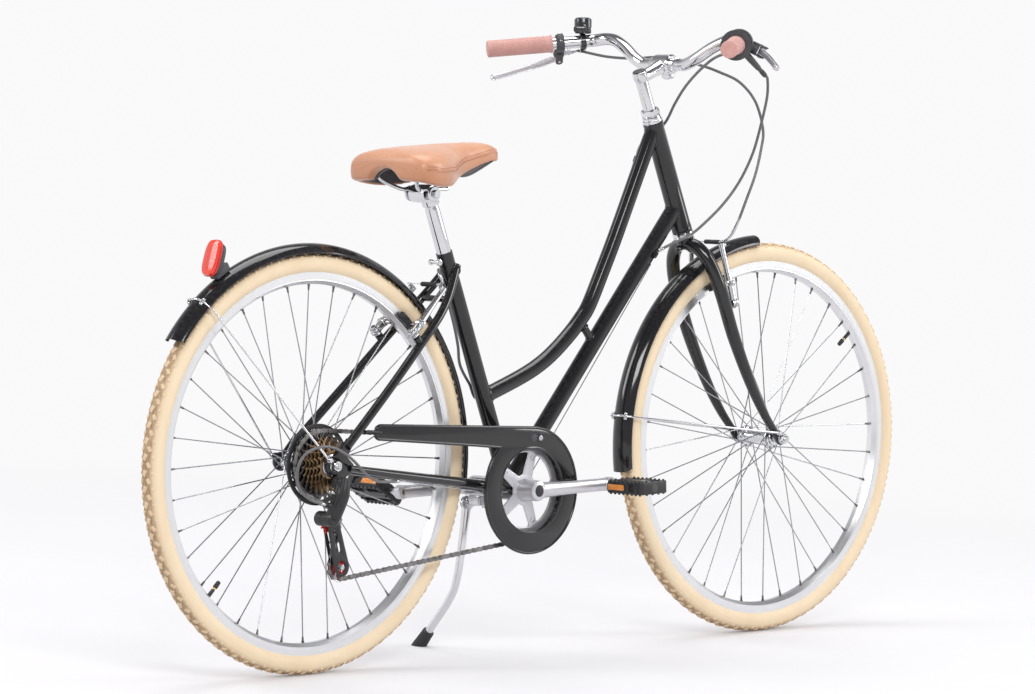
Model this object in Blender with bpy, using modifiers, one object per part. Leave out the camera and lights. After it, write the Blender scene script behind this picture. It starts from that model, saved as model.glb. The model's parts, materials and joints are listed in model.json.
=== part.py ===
"""A step-through city bike on its kickstand: frame, wheels, drive train, brakes, saddle and controls.

The bike is built upright with the rear axle above the origin: +X is the way it rides, +Y is its left
side, +Z is up and the ground is z = 0. The root empty then leans it to the left, onto the kickstand,
and sets the middle of its bounding box's base on the world's origin.
"""
import math

import bmesh
import bpy
from mathutils import Matrix, Vector

# Driving dimensions, in metres and degrees
GAP = 0.0003
LEAN = math.radians(3.5)

WHEELBASE = 1.089
TYRE_RADIUS = 0.349
TYRE_SECTION = 0.0194
RIM_RADIUS = TYRE_RADIUS - 0.032
RIM_HALF_WIDTH = 0.0122
RIM_DEPTH = 0.0205
SPOKES = 36
SPOKE_RADIUS = 0.0010
WHEEL_STEPS = 40

HEAD_ANGLE = math.radians(68.0)
HEAD_TOP_X = 0.807
HEAD_TOP_Z = 0.913
HEAD_LENGTH = 0.207
HEAD_RADIUS = 0.0175
STEERER_RADIUS = 0.0127
QUILL_RADIUS = 0.0111
SEAT_ANGLE = math.radians(69.0)
SEAT_TUBE_LENGTH = 0.435
SEAT_TUBE_RADIUS = 0.0143
SEAT_TUBE_AHEAD = 0.0055
POST_RADIUS = 0.0127
DOWN_TUBE_RADIUS = 0.0146
TOP_TUBE_RADIUS = 0.0135
BRACKET_X = 0.457
BRACKET_Z = 0.287
SHELL_RADIUS = 0.0200
SHELL_HALF_WIDTH = 0.0340
CHAINSTAY_RADIUS = 0.0085
CHAINSTAY_RADII = (0.0085, 0.0085, 0.0085, 0.0085, 0.0075, 0.0056)
SEATSTAY_RADIUS = 0.0075
DROPOUT_THICKNESS = 0.0050
REAR_DROPOUT_Y = 0.0647
FRONT_DROPOUT_Y = 0.0525
BLADE_RADIUS = 0.0122
AXLE_RADIUS = 0.0050

FENDER_RADIUS = TYRE_RADIUS + 0.0145
FENDER_HALF_WIDTH = 0.0222
FENDER_DEPTH = 0.0150
FENDER_WALL = 0.0012
STAY_WIRE_RADIUS = 0.0019

CHAIN_PITCH = 0.0127
RING_TEETH = 42
SPROCKET_TEETH = (28, 24, 22, 20, 18, 16, 14)
JOCKEY_TEETH = 10
SPROCKET_PITCH = 0.0045
CHAIN_HALF_HEIGHT = 0.0040
CHAIN_HALF_WIDTH = 0.0033
CHAIN_SEAT = CHAIN_HALF_HEIGHT + 0.0008
RING_Y = -0.0450
LARGE_SPROCKET_Y = -0.0335
CRANK_LENGTH = 0.170
CRANK_ANGLE = math.radians(1.3)
PEDAL_Y = 0.148
PEDAL_LENGTH = 0.066
PEDAL_WIDTH = 0.084
PEDAL_HEIGHT = 0.024

BAR_RADIUS = 0.0111
BAR_CLAMP_RADIUS = 0.0127
BAR_TIP = Vector((0.687, 0.296, 1.039))
BAR_INWARD = Vector((0.800, -0.590, 0.090)).normalized()
GRIP_RADIUS = 0.0152
GRIP_LEFT_LENGTH = 0.117
GRIP_RIGHT_LENGTH = 0.090
STEM_RISE = 0.0830
STEM_REACH = 0.0646
LEVER_REACH = 0.082
LEVER_PIN_RADIUS = 0.0025

PAD_RADIUS = RIM_RADIUS - 0.0075
PAD_GAP = 0.0018
HOUSING_RADIUS = 0.0025
WIRE_RADIUS = 0.0009

STAND_PIVOT = Vector((0.398, 0.034, 0.2620))
STAND_KNEE = Vector((0.392, 0.052, 0.112))
STAND_FOOT_X = 0.390
STAND_FOOT_Y = 0.142
STAND_AXIS = Vector((-0.40, 0.82, -0.38)).normalized()
STAND_LEG_RADIUS = 0.0068
STAND_PIN_RADIUS = 0.0042

# Lines and points that many pieces share
Y = Vector((0.0, 1.0, 0.0))
UP_STEER = Vector((-math.cos(HEAD_ANGLE), 0.0, math.sin(HEAD_ANGLE)))
FORE_STEER = Vector((math.sin(HEAD_ANGLE), 0.0, math.cos(HEAD_ANGLE)))
HEAD_TOP = Vector((HEAD_TOP_X, 0.0, HEAD_TOP_Z))
HEAD_BOTTOM = HEAD_TOP - UP_STEER * HEAD_LENGTH
UP_SEAT = Vector((-math.cos(SEAT_ANGLE), 0.0, math.sin(SEAT_ANGLE)))
FORE_SEAT = Vector((math.sin(SEAT_ANGLE), 0.0, math.cos(SEAT_ANGLE)))
BRACKET = Vector((BRACKET_X, 0.0, BRACKET_Z))
SEAT_FOOT = BRACKET + Vector((SEAT_TUBE_AHEAD, 0.0, 0.0))
SEAT_TOP = SEAT_FOOT + UP_SEAT * SEAT_TUBE_LENGTH
REAR_AXLE = Vector((0.0, 0.0, TYRE_RADIUS))
REAR_FENDER_CENTRE = REAR_AXLE + Vector((-0.0045, 0.0, 0.0005))
FRONT_AXLE = Vector((WHEELBASE, 0.0, TYRE_RADIUS))
CROWN = HEAD_BOTTOM - UP_STEER * 0.0205
SIDES = (("left", 1.0), ("right", -1.0))

# Values worked out from the driving dimensions
VALVE_REAR = math.radians(-135.7)
VALVE_FRONT = math.radians(37.4)
VALVE_RADIUS = 0.0030
HUB_BOSS_RADIUS = 0.0120
PROTECTOR_RADIUS = 0.0675
FREEWHEEL_END = -(LARGE_SPROCKET_Y - SPROCKET_PITCH * (len(SPROCKET_TEETH) - 1) - 0.0010)
REAR_FLANGE_LEFT = 0.0340
REAR_FLANGE_RIGHT = -0.0195
PROTECTOR_Y = -0.0262
FRONT_HUB_HALF = FRONT_DROPOUT_Y - DROPOUT_THICKNESS / 2.0 - 0.0100
HEAD_BORE_RADIUS = 0.0148
POST_BORE_DEPTH = 0.2000
POST_INSERTED = 0.1300
POST_EXPOSED = 0.0850
POST_NECK = 0.0080
BRACE_TOP = Vector((0.6340, 0.0, 0.5670))
BRACE_FOOT = Vector((0.6630, 0.0, 0.5310))
TOP_TUBE_LINE = (
    (0.8085, 0.9000), (0.7900, 0.8640), (0.7220, 0.7250), (0.6860, 0.6560), (0.6530, 0.5960),
    (0.6320, 0.5710), (0.6080, 0.5480), (0.5720, 0.5195), (0.5360, 0.4970), (0.4890, 0.4760),
    (0.4010, 0.4450),
)
CRANK_AXLE_RADIUS = 0.0085
AXLE_END = 0.0640
PEDAL_SPINDLE_RADIUS = 0.0045
PEDAL_SPINDLE_END = PEDAL_Y + 0.0360
LOCKNUT_TOP = 0.0240
TWIST_LENGTH = 0.0380
BOSS_RADIUS = 0.0040
BOSS_LENGTH = 0.0340
LEVER_PIVOT = 0.0400
LEVER_LENGTH = 0.1150
BARREL_LENGTH = 0.0260
BARREL_OFFSET = 0.0265
LEFT_BRAKE_DROP = math.radians(39.0)
RIGHT_BRAKE_DROP = math.radians(25.0)
BELL_SEAT = 0.1725
BELL_RADIUS = 0.0155
BELL_HINGE_Z = 0.0215
BELL_HINGE_BACK = BELL_RADIUS + 0.0034 + 0.0005
BELL_LEVER_HEIGHT = 0.0090
BELL_PIN_RADIUS = 0.0014
LEFT_BRAKE_SEAT = GRIP_LEFT_LENGTH + 0.0140
RIGHT_BRAKE_SEAT = GRIP_RIGHT_LENGTH + TWIST_LENGTH + 0.0385
CLAMP = HEAD_TOP + UP_STEER * STEM_RISE + FORE_STEER * STEM_REACH
HANGER = Vector((0.0040, 0.0, TYRE_RADIUS - 0.0270))
UPPER_JOCKEY = REAR_AXLE + Vector((0.0220, 0.0, -0.0950))
LOWER_JOCKEY = REAR_AXLE + Vector((0.0420, 0.0, -0.1710))
JOCKEY_Y = LARGE_SPROCKET_Y - 0.0008
JOCKEY_BOLT_RADIUS = 0.0025
STAY_BRIDGE = Vector((BRACKET_X - 0.068, 0.0, BRACKET_Z + 0.0080))
GUARD_RADIUS = 0.1068
GUARD_INNER_Y = -0.0570
GUARD_OUTER_Y = -0.0640
GUARD_HOLE_RADIUS = 0.0710
GUARD_WALL = 0.0016
GUARD_REAR_X = 0.0980
GUARD_CLIP = Vector((0.0690, -0.0672, 0.4025))
REAR_BOSS = REAR_AXLE + Vector((0.2115, 0.0465, 0.1940))
REAR_BOSS_AXIS = Vector((-0.678, 0.0, 0.735)).normalized()
REAR_ARM_UP = Vector((0.735, 0.0, 0.678)).normalized()
FRONT_BOSS = FRONT_AXLE + Vector((-0.1495, 0.0500, 0.2410))
FRONT_BOSS_AXIS = Vector((0.985, 0.0, 0.174)).normalized()
FRONT_ARM_UP = Vector((-0.174, 0.0, 0.985)).normalized()
ARM_SEAT = 0.0250
ARM_TOP_Y = 0.0370
RAIL_Y = 0.0225
RAIL_RADIUS = 0.0035
RAIL_Z = 0.8000
RAIL_NOSE_Z = 0.8380
RAIL_BOLT = Vector((0.2560, 0.0, 0.7920))
SADDLE_REAR = 0.1600
SADDLE_NOSE = 0.4240
SADDLE_CROWN = ((0.0, 0.8600), (0.05, 0.8670), (0.12, 0.8720), (0.50, 0.8785), (0.90, 0.8830), (1.0, 0.8680))
SADDLE_SKIRT = ((0.0, 0.0400), (0.08, 0.0540), (0.20, 0.0660), (0.40, 0.0680), (0.50, 0.0600), (0.60, 0.0500),
                (0.80, 0.0440), (1.0, 0.0300))
ARCH_Z = 0.7900
ARCH_RADIUS = 0.0500
SADDLE_HALF_WIDTH = 0.1030
SADDLE_NOSE_HALF = 0.0300
BASE_Z = 0.8530
RAIL_SOCKET = Vector((SADDLE_REAR + 0.0380, 0.0480, 0.8330))
DOWN_STOP_SHARE = 0.8350
UP_TOP = Vector((0.4310, 0.0, 0.9023))
TOP_STOP = Vector((0.7823, 0.0168, 0.8480))
SHIFT_EXIT = Vector((0.8960, -0.1850, 0.9960))

# Cable routes, each a list of points chosen along the real cable
FRONT_BRAKE_ROUTE = (
    (0.8620, 0.1700, 1.0280), (0.8780, 0.1180, 1.0250), (0.8850, 0.0600, 1.0270), (0.9060, -0.0120, 1.0150),
    (0.9360, -0.0400, 1.0010), (0.9700, -0.0550, 0.9840), (1.0010, -0.0640, 0.9500), (1.0170, -0.0680, 0.9010),
    (1.0100, -0.0700, 0.8650), (0.9960, -0.0700, 0.8210), (0.9780, -0.0660, 0.7770), (0.9660, -0.0600, 0.7420),
    (0.9600, -0.0500, 0.7170), (0.9560, -0.0380, 0.7050), (0.9545, -0.0240, 0.7015), (0.9545, 0.0360, 0.7015),
)
REAR_BRAKE_FRONT_ROUTE = (
    (0.8634, -0.1600, 1.0385), (0.8470, -0.1200, 1.0300), (0.8430, -0.0850, 1.0095), (0.8345, -0.0550, 0.9790),
    (0.8320, -0.0300, 0.9470), (0.8375, -0.0030, 0.9150), (0.8310, 0.0205, 0.8900), (0.8080, 0.0225, 0.8790),
    (0.7925, 0.0180, 0.8680),
)
REAR_BRAKE_REAR_ROUTE = (
    (0.4120, 0.0195, 0.4395), (0.3860, 0.0188, 0.4680), (0.3620, 0.0165, 0.5000), (0.3470, 0.0060, 0.5330),
    (0.3330, 0.0000, 0.5650), (0.3210, -0.0020, 0.5950), (0.3130, -0.0030, 0.6180), (0.3000, -0.0060, 0.6420),
    (0.2840, -0.0150, 0.6600), (0.2660, -0.0300, 0.6650), (0.2580, -0.0410, 0.6580), (0.2600, -0.0450, 0.6480),
    (0.2648, -0.0400, 0.6415), (0.2665, -0.0280, 0.6397), (0.2665, 0.0360, 0.6397),
)
SHIFT_FRONT_ROUTE = (
    (0.8965, -0.1848, 0.9957), (0.9060, -0.1810, 0.9900), (0.9260, -0.1620, 0.9600), (0.9500, -0.1260, 0.9120),
    (0.9680, -0.0900, 0.8600), (0.9660, -0.0620, 0.8120), (0.9420, -0.0470, 0.7720), (0.9020, -0.0400, 0.7380),
    (0.8680, -0.0340, 0.7150), (0.8300, -0.0240, 0.6990), (0.8060, -0.0182, 0.6880),
)
SHIFT_REAR_ROUTE = (
    (0.7880, -0.0176, 0.6650), (0.4850, -0.0180, 0.2930), (0.4730, -0.0190, 0.2680),
    (0.4570, -0.0200, 0.2652), (0.4300, -0.0280, 0.2730), (0.3900, -0.0330, 0.2755),
    (0.3550, -0.0345, 0.2895), (0.3000, -0.0395, 0.2970), (0.1600, -0.0530, 0.3155),
    (0.1300, -0.0560, 0.3165), (0.1000, -0.0610, 0.3200), (0.0640, -0.0740, 0.3340),
    (0.0240, -0.0850, 0.3600), (-0.0150, -0.0900, 0.3790), (-0.0510, -0.0930, 0.3840),
    (-0.0840, -0.0920, 0.3740), (-0.0990, -0.0900, 0.3520), (-0.0960, -0.0870, 0.3220),
    (-0.0700, -0.0840, 0.3000), (-0.0330, -0.0830, 0.2880),
)
SHIFT_BARE_POINTS = 9

# Look: base colour, roughness, metallic
MATERIALS = {
    "black_paint": ((0.012, 0.012, 0.014), 0.16, 0.0),
    "black_plastic": ((0.020, 0.020, 0.022), 0.45, 0.0),
    "grey_plastic": ((0.115, 0.120, 0.130), 0.45, 0.0),
    "cream_tyre": ((0.760, 0.620, 0.440), 0.80, 0.0),
    "rim_alloy": ((0.660, 0.670, 0.690), 0.30, 1.0),
    "bright_alloy": ((0.740, 0.750, 0.770), 0.22, 1.0),
    "chrome": ((0.800, 0.800, 0.810), 0.08, 1.0),
    "spoke_steel": ((0.560, 0.570, 0.590), 0.28, 1.0),
    "sprocket_bronze": ((0.280, 0.200, 0.130), 0.35, 1.0),
    "chain_steel": ((0.300, 0.275, 0.260), 0.38, 1.0),
    "tan_leather": ((0.600, 0.255, 0.115), 0.42, 0.0),
    "pink_brown_rubber": ((0.520, 0.250, 0.210), 0.60, 0.0),
    "red_plastic": ((0.700, 0.030, 0.020), 0.30, 0.0),
    "cable_grey": ((0.220, 0.225, 0.235), 0.40, 0.0),
    "dark_chrome": ((0.110, 0.112, 0.120), 0.18, 1.0),
    "foot_rubber": ((0.035, 0.035, 0.037), 0.75, 0.0),
}


# Scene and object helpers
def clear_scene():
    for old in list(bpy.data.objects):
        bpy.data.objects.remove(old, do_unlink=True)


def new_collection(name):
    collection = bpy.data.collections.new(name)
    bpy.context.scene.collection.children.link(collection)
    return collection


def make_materials():
    for name, (colour, roughness, metallic) in MATERIALS.items():
        material = bpy.data.materials.new(name)
        material.use_nodes = True
        shader = material.node_tree.nodes["Principled BSDF"]
        shader.inputs["Base Color"].default_value = (*colour, 1.0)
        shader.inputs["Roughness"].default_value = roughness
        shader.inputs["Metallic"].default_value = metallic
        material.diffuse_color = (*colour, 1.0)


def new_object(name, data, place=None):
    obj = bpy.data.objects.new(name, data)
    WORKBENCH.objects.link(obj)
    if place is not None:
        obj.matrix_world = place
    return obj


def empty(name, position, axis=Vector((0.0, 0.0, 1.0)), parent=None):
    """An empty whose local Z lies along a joint's axis, or the plain root where it has no parent."""
    obj = bpy.data.objects.new(name, None)
    PARTS.objects.link(obj)
    obj.empty_display_size = 0.03
    if parent is not None:
        obj.matrix_world = aimed(position, axis)
        attach(obj, parent)
    return obj


def attach(obj, parent):
    bpy.context.view_layer.update()
    obj.parent = parent
    obj.matrix_parent_inverse = parent.matrix_world.inverted()


def aimed(position, axis):
    """A frame at position whose Z axis points along axis."""
    return Matrix.Translation(position) @ axis.to_track_quat("Z", "Y").to_matrix().to_4x4()


def framed(position, x_axis, z_axis):
    """A frame at position from its X and Z axes."""
    x = x_axis.normalized()
    z = z_axis.normalized()
    y = z.cross(x)
    turn = Matrix((x, y, z)).transposed().to_4x4()
    return Matrix.Translation(position) @ turn


def from_bmesh(name, mesh_data, place):
    mesh = bpy.data.meshes.new(name)
    mesh_data.to_mesh(mesh)
    mesh_data.free()
    return new_object(name, mesh, place)


# Shapes
def rod(name, start, end, radius, end_radius=None, sides=16):
    """A cylinder or cone between two points."""
    data = bmesh.new()
    top = radius if end_radius is None else end_radius
    length = (end - start).length
    bmesh.ops.create_cone(
        data, cap_ends=True, cap_tris=False, segments=sides, radius1=radius, radius2=top, depth=length
    )
    return from_bmesh(name, data, aimed((start + end) / 2.0, end - start))


def cross_rod(name, centre, half_width, radius, sides=16):
    """A rod across the bike, evenly to both sides of centre."""
    return rod(name, centre - Y * half_width, centre + Y * half_width, radius, sides=sides)


def block(name, place, size, bevel=0.0):
    """A box centred on a frame, with bevelled edges where bevel is given."""
    data = bmesh.new()
    bmesh.ops.create_cube(data, size=1.0)
    bmesh.ops.scale(data, vec=Vector(size), verts=data.verts)
    obj = from_bmesh(name, data, place)
    if bevel:
        edges = obj.modifiers.new("rounded edges", "BEVEL")
        edges.width = bevel
        edges.segments = 1
    return obj


def turned(name, profile, place, steps=16, angle=math.tau, closed=True):
    """Revolves (radius, height) points, listed down the outer side, about the frame's Z axis."""
    count = len(profile)
    edges = [(i, i + 1) for i in range(count - 1)]
    if closed:
        edges.append((count - 1, 0))
    mesh = bpy.data.meshes.new(name)
    mesh.from_pydata([(radius, 0.0, height) for radius, height in profile], edges, [])
    obj = new_object(name, mesh, place)
    turn = obj.modifiers.new("turn", "SCREW")
    turn.axis = "Z"
    turn.angle = angle
    turn.steps = steps
    turn.render_steps = steps
    turn.use_merge_vertices = angle == math.tau
    turn.merge_threshold = 0.00001
    return obj


def ring(name, position, axis, inner, outer, low, high, steps=16):
    """A plain turned sleeve from low to high along axis."""
    profile = [(outer, high), (outer, low), (inner, low), (inner, high)]
    return turned(name, profile, aimed(position, axis), steps)


def tube(name, points, radius, resolution=2, radii=None):
    """A capped round tube along points."""
    curve = bpy.data.curves.new(name, "CURVE")
    curve.dimensions = "3D"
    curve.bevel_depth = radius
    curve.bevel_resolution = resolution
    curve.use_fill_caps = True
    spline = curve.splines.new("POLY")
    spline.points.add(len(points) - 1)
    for i, point in enumerate(points):
        spline.points[i].co = (*point, 1.0)
        spline.points[i].radius = radii[i] / radius if radii else 1.0
    return new_object(name, curve)


def plate(name, loops, thickness, place):
    """A flat outline with any holes, in the frame's XY plane, with a thickness along its Z axis."""
    curve = bpy.data.curves.new(name, "CURVE")
    curve.dimensions = "2D"
    curve.fill_mode = "BOTH"
    curve.extrude = thickness / 2.0
    for loop in loops:
        spline = curve.splines.new("POLY")
        spline.points.add(len(loop) - 1)
        for point, (x, y) in zip(spline.points, loop):
            point.co = (x, y, 0.0, 1.0)
        spline.use_cyclic_u = True
    return new_object(name, curve, place)


def baked(obj, name=None):
    """The object as a plain mesh in the bike's frame, with its modifiers applied."""
    bpy.context.view_layer.update()
    graph = bpy.context.evaluated_depsgraph_get()
    mesh = bpy.data.meshes.new_from_object(obj.evaluated_get(graph))
    mesh.transform(obj.matrix_world)
    data = bmesh.new()
    data.from_mesh(mesh)
    bmesh.ops.remove_doubles(data, verts=data.verts, dist=0.000001)
    bmesh.ops.recalc_face_normals(data, faces=data.faces)
    data.to_mesh(mesh)
    data.free()
    final_name = name or obj.name
    bpy.data.objects.remove(obj, do_unlink=True)
    return new_object(final_name, mesh)


def combined(base, other, operation):
    tool = baked(other)
    change = base.modifiers.new(operation.lower(), "BOOLEAN")
    change.operation = operation
    change.solver = "EXACT"
    change.object = tool
    result = baked(base)
    bpy.data.objects.remove(tool, do_unlink=True)
    return result


def united(name, pieces):
    """One solid from pieces that overlap."""
    base = baked(pieces[0], name)
    for piece in pieces[1:]:
        base = combined(base, piece, "UNION")
    base.name = name
    return base


def drilled(base, cutters):
    for cutter in cutters:
        base = combined(base, cutter, "DIFFERENCE")
    return base


def finished(obj, material, parent):
    """Names the object's material, shades it and hangs it on its parent empty."""
    obj.data.materials.clear()
    obj.data.materials.append(bpy.data.materials[material])
    if obj.type == "MESH":
        obj.data.shade_smooth()
        obj.data.set_sharp_from_angle(angle=math.radians(32.0))
    WORKBENCH.objects.unlink(obj)
    PARTS.objects.link(obj)
    attach(obj, parent)
    return obj


# Paths
def smooth_path(points, per_span):
    """Points along a Catmull-Rom curve through the given ones."""
    knots = [2 * points[0] - points[1]] + list(points) + [2 * points[-1] - points[-2]]
    path = []
    for i in range(1, len(knots) - 2):
        a, b, c, d = knots[i - 1], knots[i], knots[i + 1], knots[i + 2]
        for step in range(per_span):
            t = step / per_span
            path.append(
                0.5 * (2 * b + (c - a) * t + (2 * a - 5 * b + 4 * c - d) * t**2
                       + (3 * b - a - 3 * c + d) * t**3)
            )
    path.append(points[-1].copy())
    return path


def rounded_corner(start, corner, end, radius, steps):
    """A straight run, a round bend and a straight run."""
    arrive = (corner - start).normalized()
    leave = (end - corner).normalized()
    bend = arrive.angle(leave)
    setback = radius * math.tan(bend / 2.0)
    first = corner - arrive * setback
    centre = first + (leave - arrive * arrive.dot(leave)).normalized() * radius
    path = [start]
    for i in range(steps + 1):
        turn = Matrix.Rotation(bend * i / steps, 4, arrive.cross(leave))
        path.append(centre + turn.to_3x3() @ (first - centre))
    path.append(end)
    return path


def mirrored(point):
    return Vector((point.x, -point.y, point.z))


def sided(point, side):
    return Vector((point.x, point.y * side, point.z))


def circle(radius, count, centre=(0.0, 0.0)):
    turns = [math.tau * i / count for i in range(count)]
    return [(centre[0] + radius * math.cos(t), centre[1] + radius * math.sin(t)) for t in turns]


def tongue(first, first_radius, second, second_radius, steps=4):
    """The outline round two circles and the straight edges that join them."""
    span = math.hypot(second[0] - first[0], second[1] - first[1])
    heading = math.atan2(second[1] - first[1], second[0] - first[0])
    lean = math.asin((first_radius - second_radius) / span)
    outline = []
    for centre, radius, start, end in (
        (second, second_radius, heading - math.pi / 2.0 + lean, heading + math.pi / 2.0 - lean),
        (first, first_radius, heading + math.pi / 2.0 - lean, heading + 1.5 * math.pi + lean),
    ):
        for i in range(steps + 1):
            a = start + (end - start) * i / steps
            outline.append((centre[0] + radius * math.cos(a), centre[1] + radius * math.sin(a)))
    return outline


def inset(loop, distance):
    """A counterclockwise outline moved inwards by distance."""
    moved = []
    count = len(loop)
    for i in range(count):
        before = Vector(loop[i]) - Vector(loop[i - 1])
        after = Vector(loop[(i + 1) % count]) - Vector(loop[i])
        before.normalize()
        after.normalize()
        normal = Vector((-before.y - after.y, before.x + after.x))
        normal *= distance / (1.0 + before.dot(after))
        moved.append((loop[i][0] + normal.x, loop[i][1] + normal.y))
    return moved


def side_frame(y):
    """A frame whose X is the bike's X and whose Y is the bike's Z, at a distance y to the side."""
    return framed(Vector((0.0, y, 0.0)), Vector((1.0, 0.0, 0.0)), Vector((0.0, -1.0, 0.0)))


def pitch_radius(teeth):
    return CHAIN_PITCH / (2.0 * math.sin(math.pi / teeth))


# Wheels
def wheel_frame(centre):
    return aimed(centre, Y)


def tyre_profile():
    """The tyre's round section, cut flat where it seats on the rim."""
    seat = RIM_RADIUS + GAP
    crown = TYRE_RADIUS - TYRE_SECTION
    edge = math.acos((seat - crown) / TYRE_SECTION)
    points = 8
    angles = [edge - 2.0 * edge * i / (points - 1) for i in range(points)]
    return [(crown + TYRE_SECTION * math.cos(a), TYRE_SECTION * math.sin(a)) for a in angles]


def rim_profile():
    waist = RIM_RADIUS - 0.0145
    inner = RIM_RADIUS - RIM_DEPTH
    bed = 0.0045
    return [
        (RIM_RADIUS, RIM_HALF_WIDTH), (RIM_RADIUS, -RIM_HALF_WIDTH), (waist, -RIM_HALF_WIDTH),
        (inner, -bed), (inner, bed), (waist, RIM_HALF_WIDTH),
    ]


def make_rim(name, centre, valve_angle):
    rim = turned(name, rim_profile(), wheel_frame(centre), WHEEL_STEPS)
    outward = Vector((math.cos(valve_angle), 0.0, math.sin(valve_angle)))
    inner = RIM_RADIUS - RIM_DEPTH
    stem_end = centre + outward * (inner - 0.032)
    valve = rod("valve", centre + outward * (inner + 0.008), stem_end, VALVE_RADIUS, sides=8)
    cap = rod("cap", stem_end + outward * 0.012, stem_end - outward * 0.002, VALVE_RADIUS + 0.0010, sides=8)
    return united(name, [rim, valve, cap])


def make_spokes(name, centre, flange_left, flange_right, flange_radius, valve_angle):
    """Three-cross spokes that run from beside the hub's flanges to one thin ring under the rim."""
    inner = RIM_RADIUS - RIM_DEPTH
    bed_outer = inner - GAP
    bed_inner = bed_outer - 0.0016
    bed = ring(name, centre, Y, bed_inner, bed_outer, -0.0048, 0.0048, WHEEL_STEPS)
    per_flange = SPOKES // 2
    head_step = math.tau / per_flange
    cross = 3.0 * head_step
    head_radius = flange_radius + GAP + SPOKE_RADIUS
    data = bmesh.new()
    for i in range(SPOKES):
        left = i % 2 == 0
        pair = i // 2
        ahead = 1.0 if pair % 2 == 0 else -1.0
        flange = flange_left if left else flange_right
        seat = 0.0019 * ahead * (1.0 if left else -1.0)
        rim_turn = valve_angle + math.tau * (i + 0.5) / SPOKES
        hub_turn = rim_turn + ahead * cross
        head = Vector((head_radius * math.cos(hub_turn), flange + seat, head_radius * math.sin(hub_turn)))
        rim_y = 0.0022 if left else -0.0022
        reach = bed_outer - 0.0011
        nipple = Vector((reach * math.cos(rim_turn), rim_y, reach * math.sin(rim_turn)))
        made = bmesh.ops.create_cone(
            data, cap_ends=True, cap_tris=False, segments=4, radius1=SPOKE_RADIUS,
            radius2=SPOKE_RADIUS, depth=(nipple - head).length,
        )
        place = aimed(centre + (head + nipple) / 2.0, nipple - head)
        bmesh.ops.transform(data, matrix=place, verts=made["verts"])
    spokes = united(name, [bed, from_bmesh("spoke set", data, Matrix.Identity(4))])
    outward = Vector((math.cos(valve_angle), 0.0, math.sin(valve_angle)))
    drill = outward * 0.010
    middle = centre + outward * inner
    hole = rod("valve hole", middle - drill, middle + drill, VALVE_RADIUS + 0.0005, sides=8)
    return drilled(spokes, [hole])


def make_front_wheel(parent):
    tyre = turned("front_tyre", tyre_profile(), wheel_frame(FRONT_AXLE), WHEEL_STEPS)
    finished(tyre, "cream_tyre", parent)
    finished(make_rim("front_rim", FRONT_AXLE, VALVE_FRONT), "rim_alloy", parent)
    flange = 0.0195
    bore = AXLE_RADIUS + GAP
    end = FRONT_HUB_HALF
    profile = [
        (0.0085, end), (0.0125, end - 0.004), (0.0125, 0.0325), (flange, 0.0325), (flange, 0.0290),
        (0.0130, 0.0270), (0.0130, -0.0270), (flange, -0.0290), (flange, -0.0325), (0.0125, -0.0325),
        (0.0125, -end + 0.004), (0.0085, -end), (bore, -end), (bore, end),
    ]
    hub = turned("front_hub", profile, wheel_frame(FRONT_AXLE), 16)
    finished(hub, "bright_alloy", parent)
    spokes = make_spokes("front_spokes", FRONT_AXLE, 0.0308, -0.0308, flange, VALVE_FRONT)
    finished(spokes, "spoke_steel", parent)


def make_rear_wheel(parent):
    tyre = turned("rear_tyre", tyre_profile(), wheel_frame(REAR_AXLE), WHEEL_STEPS)
    finished(tyre, "cream_tyre", parent)
    finished(make_rim("rear_rim", REAR_AXLE, VALVE_REAR), "rim_alloy", parent)
    flange = 0.0215
    bore = AXLE_RADIUS + GAP
    right = REAR_FLANGE_RIGHT
    left = REAR_FLANGE_LEFT
    left_end = REAR_DROPOUT_Y - DROPOUT_THICKNESS / 2.0 - 0.0110
    boss_end = -FREEWHEEL_END
    profile = [
        (0.0090, left_end), (0.0140, left_end - 0.004), (0.0140, left + 0.0018),
        (flange, left + 0.0018), (flange, left - 0.0018), (0.0140, left - 0.0040),
        (0.0140, right + 0.0040), (flange, right + 0.0018), (flange, right - 0.0018),
        (HUB_BOSS_RADIUS, right - 0.0018), (HUB_BOSS_RADIUS, boss_end), (bore, boss_end),
        (bore, left_end),
    ]
    hub = turned("rear_hub", profile, wheel_frame(REAR_AXLE), 16)
    finished(hub, "bright_alloy", parent)
    spokes = make_spokes("rear_spokes", REAR_AXLE, left, right, flange, VALVE_REAR)
    finished(spokes, "spoke_steel", parent)
    guard_profile = [
        (PROTECTOR_RADIUS, PROTECTOR_Y + 0.0007), (PROTECTOR_RADIUS, PROTECTOR_Y - 0.0007),
        (0.0200, PROTECTOR_Y - 0.0007), (HUB_BOSS_RADIUS + GAP, PROTECTOR_Y + 0.0003),
        (HUB_BOSS_RADIUS + GAP, PROTECTOR_Y + 0.0014), (0.0210, PROTECTOR_Y + 0.0012),
    ]
    protector = turned("spoke_protector", guard_profile, wheel_frame(REAR_AXLE), 24)
    finished(protector, "black_plastic", parent)


def make_freewheel(parent):
    """Seven sprockets on one ratchet body, the largest towards the wheel."""
    body = 0.0190
    half = 0.0009
    profile = []
    for i, teeth in enumerate(SPROCKET_TEETH):
        y = LARGE_SPROCKET_Y - SPROCKET_PITCH * i
        radius = pitch_radius(teeth) - CHAIN_SEAT
        if i:
            profile.append((body, y + SPROCKET_PITCH / 2.0))
        profile += [(radius, y + half), (radius, y - half)]
    bore = HUB_BOSS_RADIUS + GAP
    profile += [(body, -FREEWHEEL_END), (bore, -FREEWHEEL_END), (bore, LARGE_SPROCKET_Y + half)]
    wheel = turned("freewheel", profile, wheel_frame(REAR_AXLE), 16)
    finished(wheel, "sprocket_bronze", parent)


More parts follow.
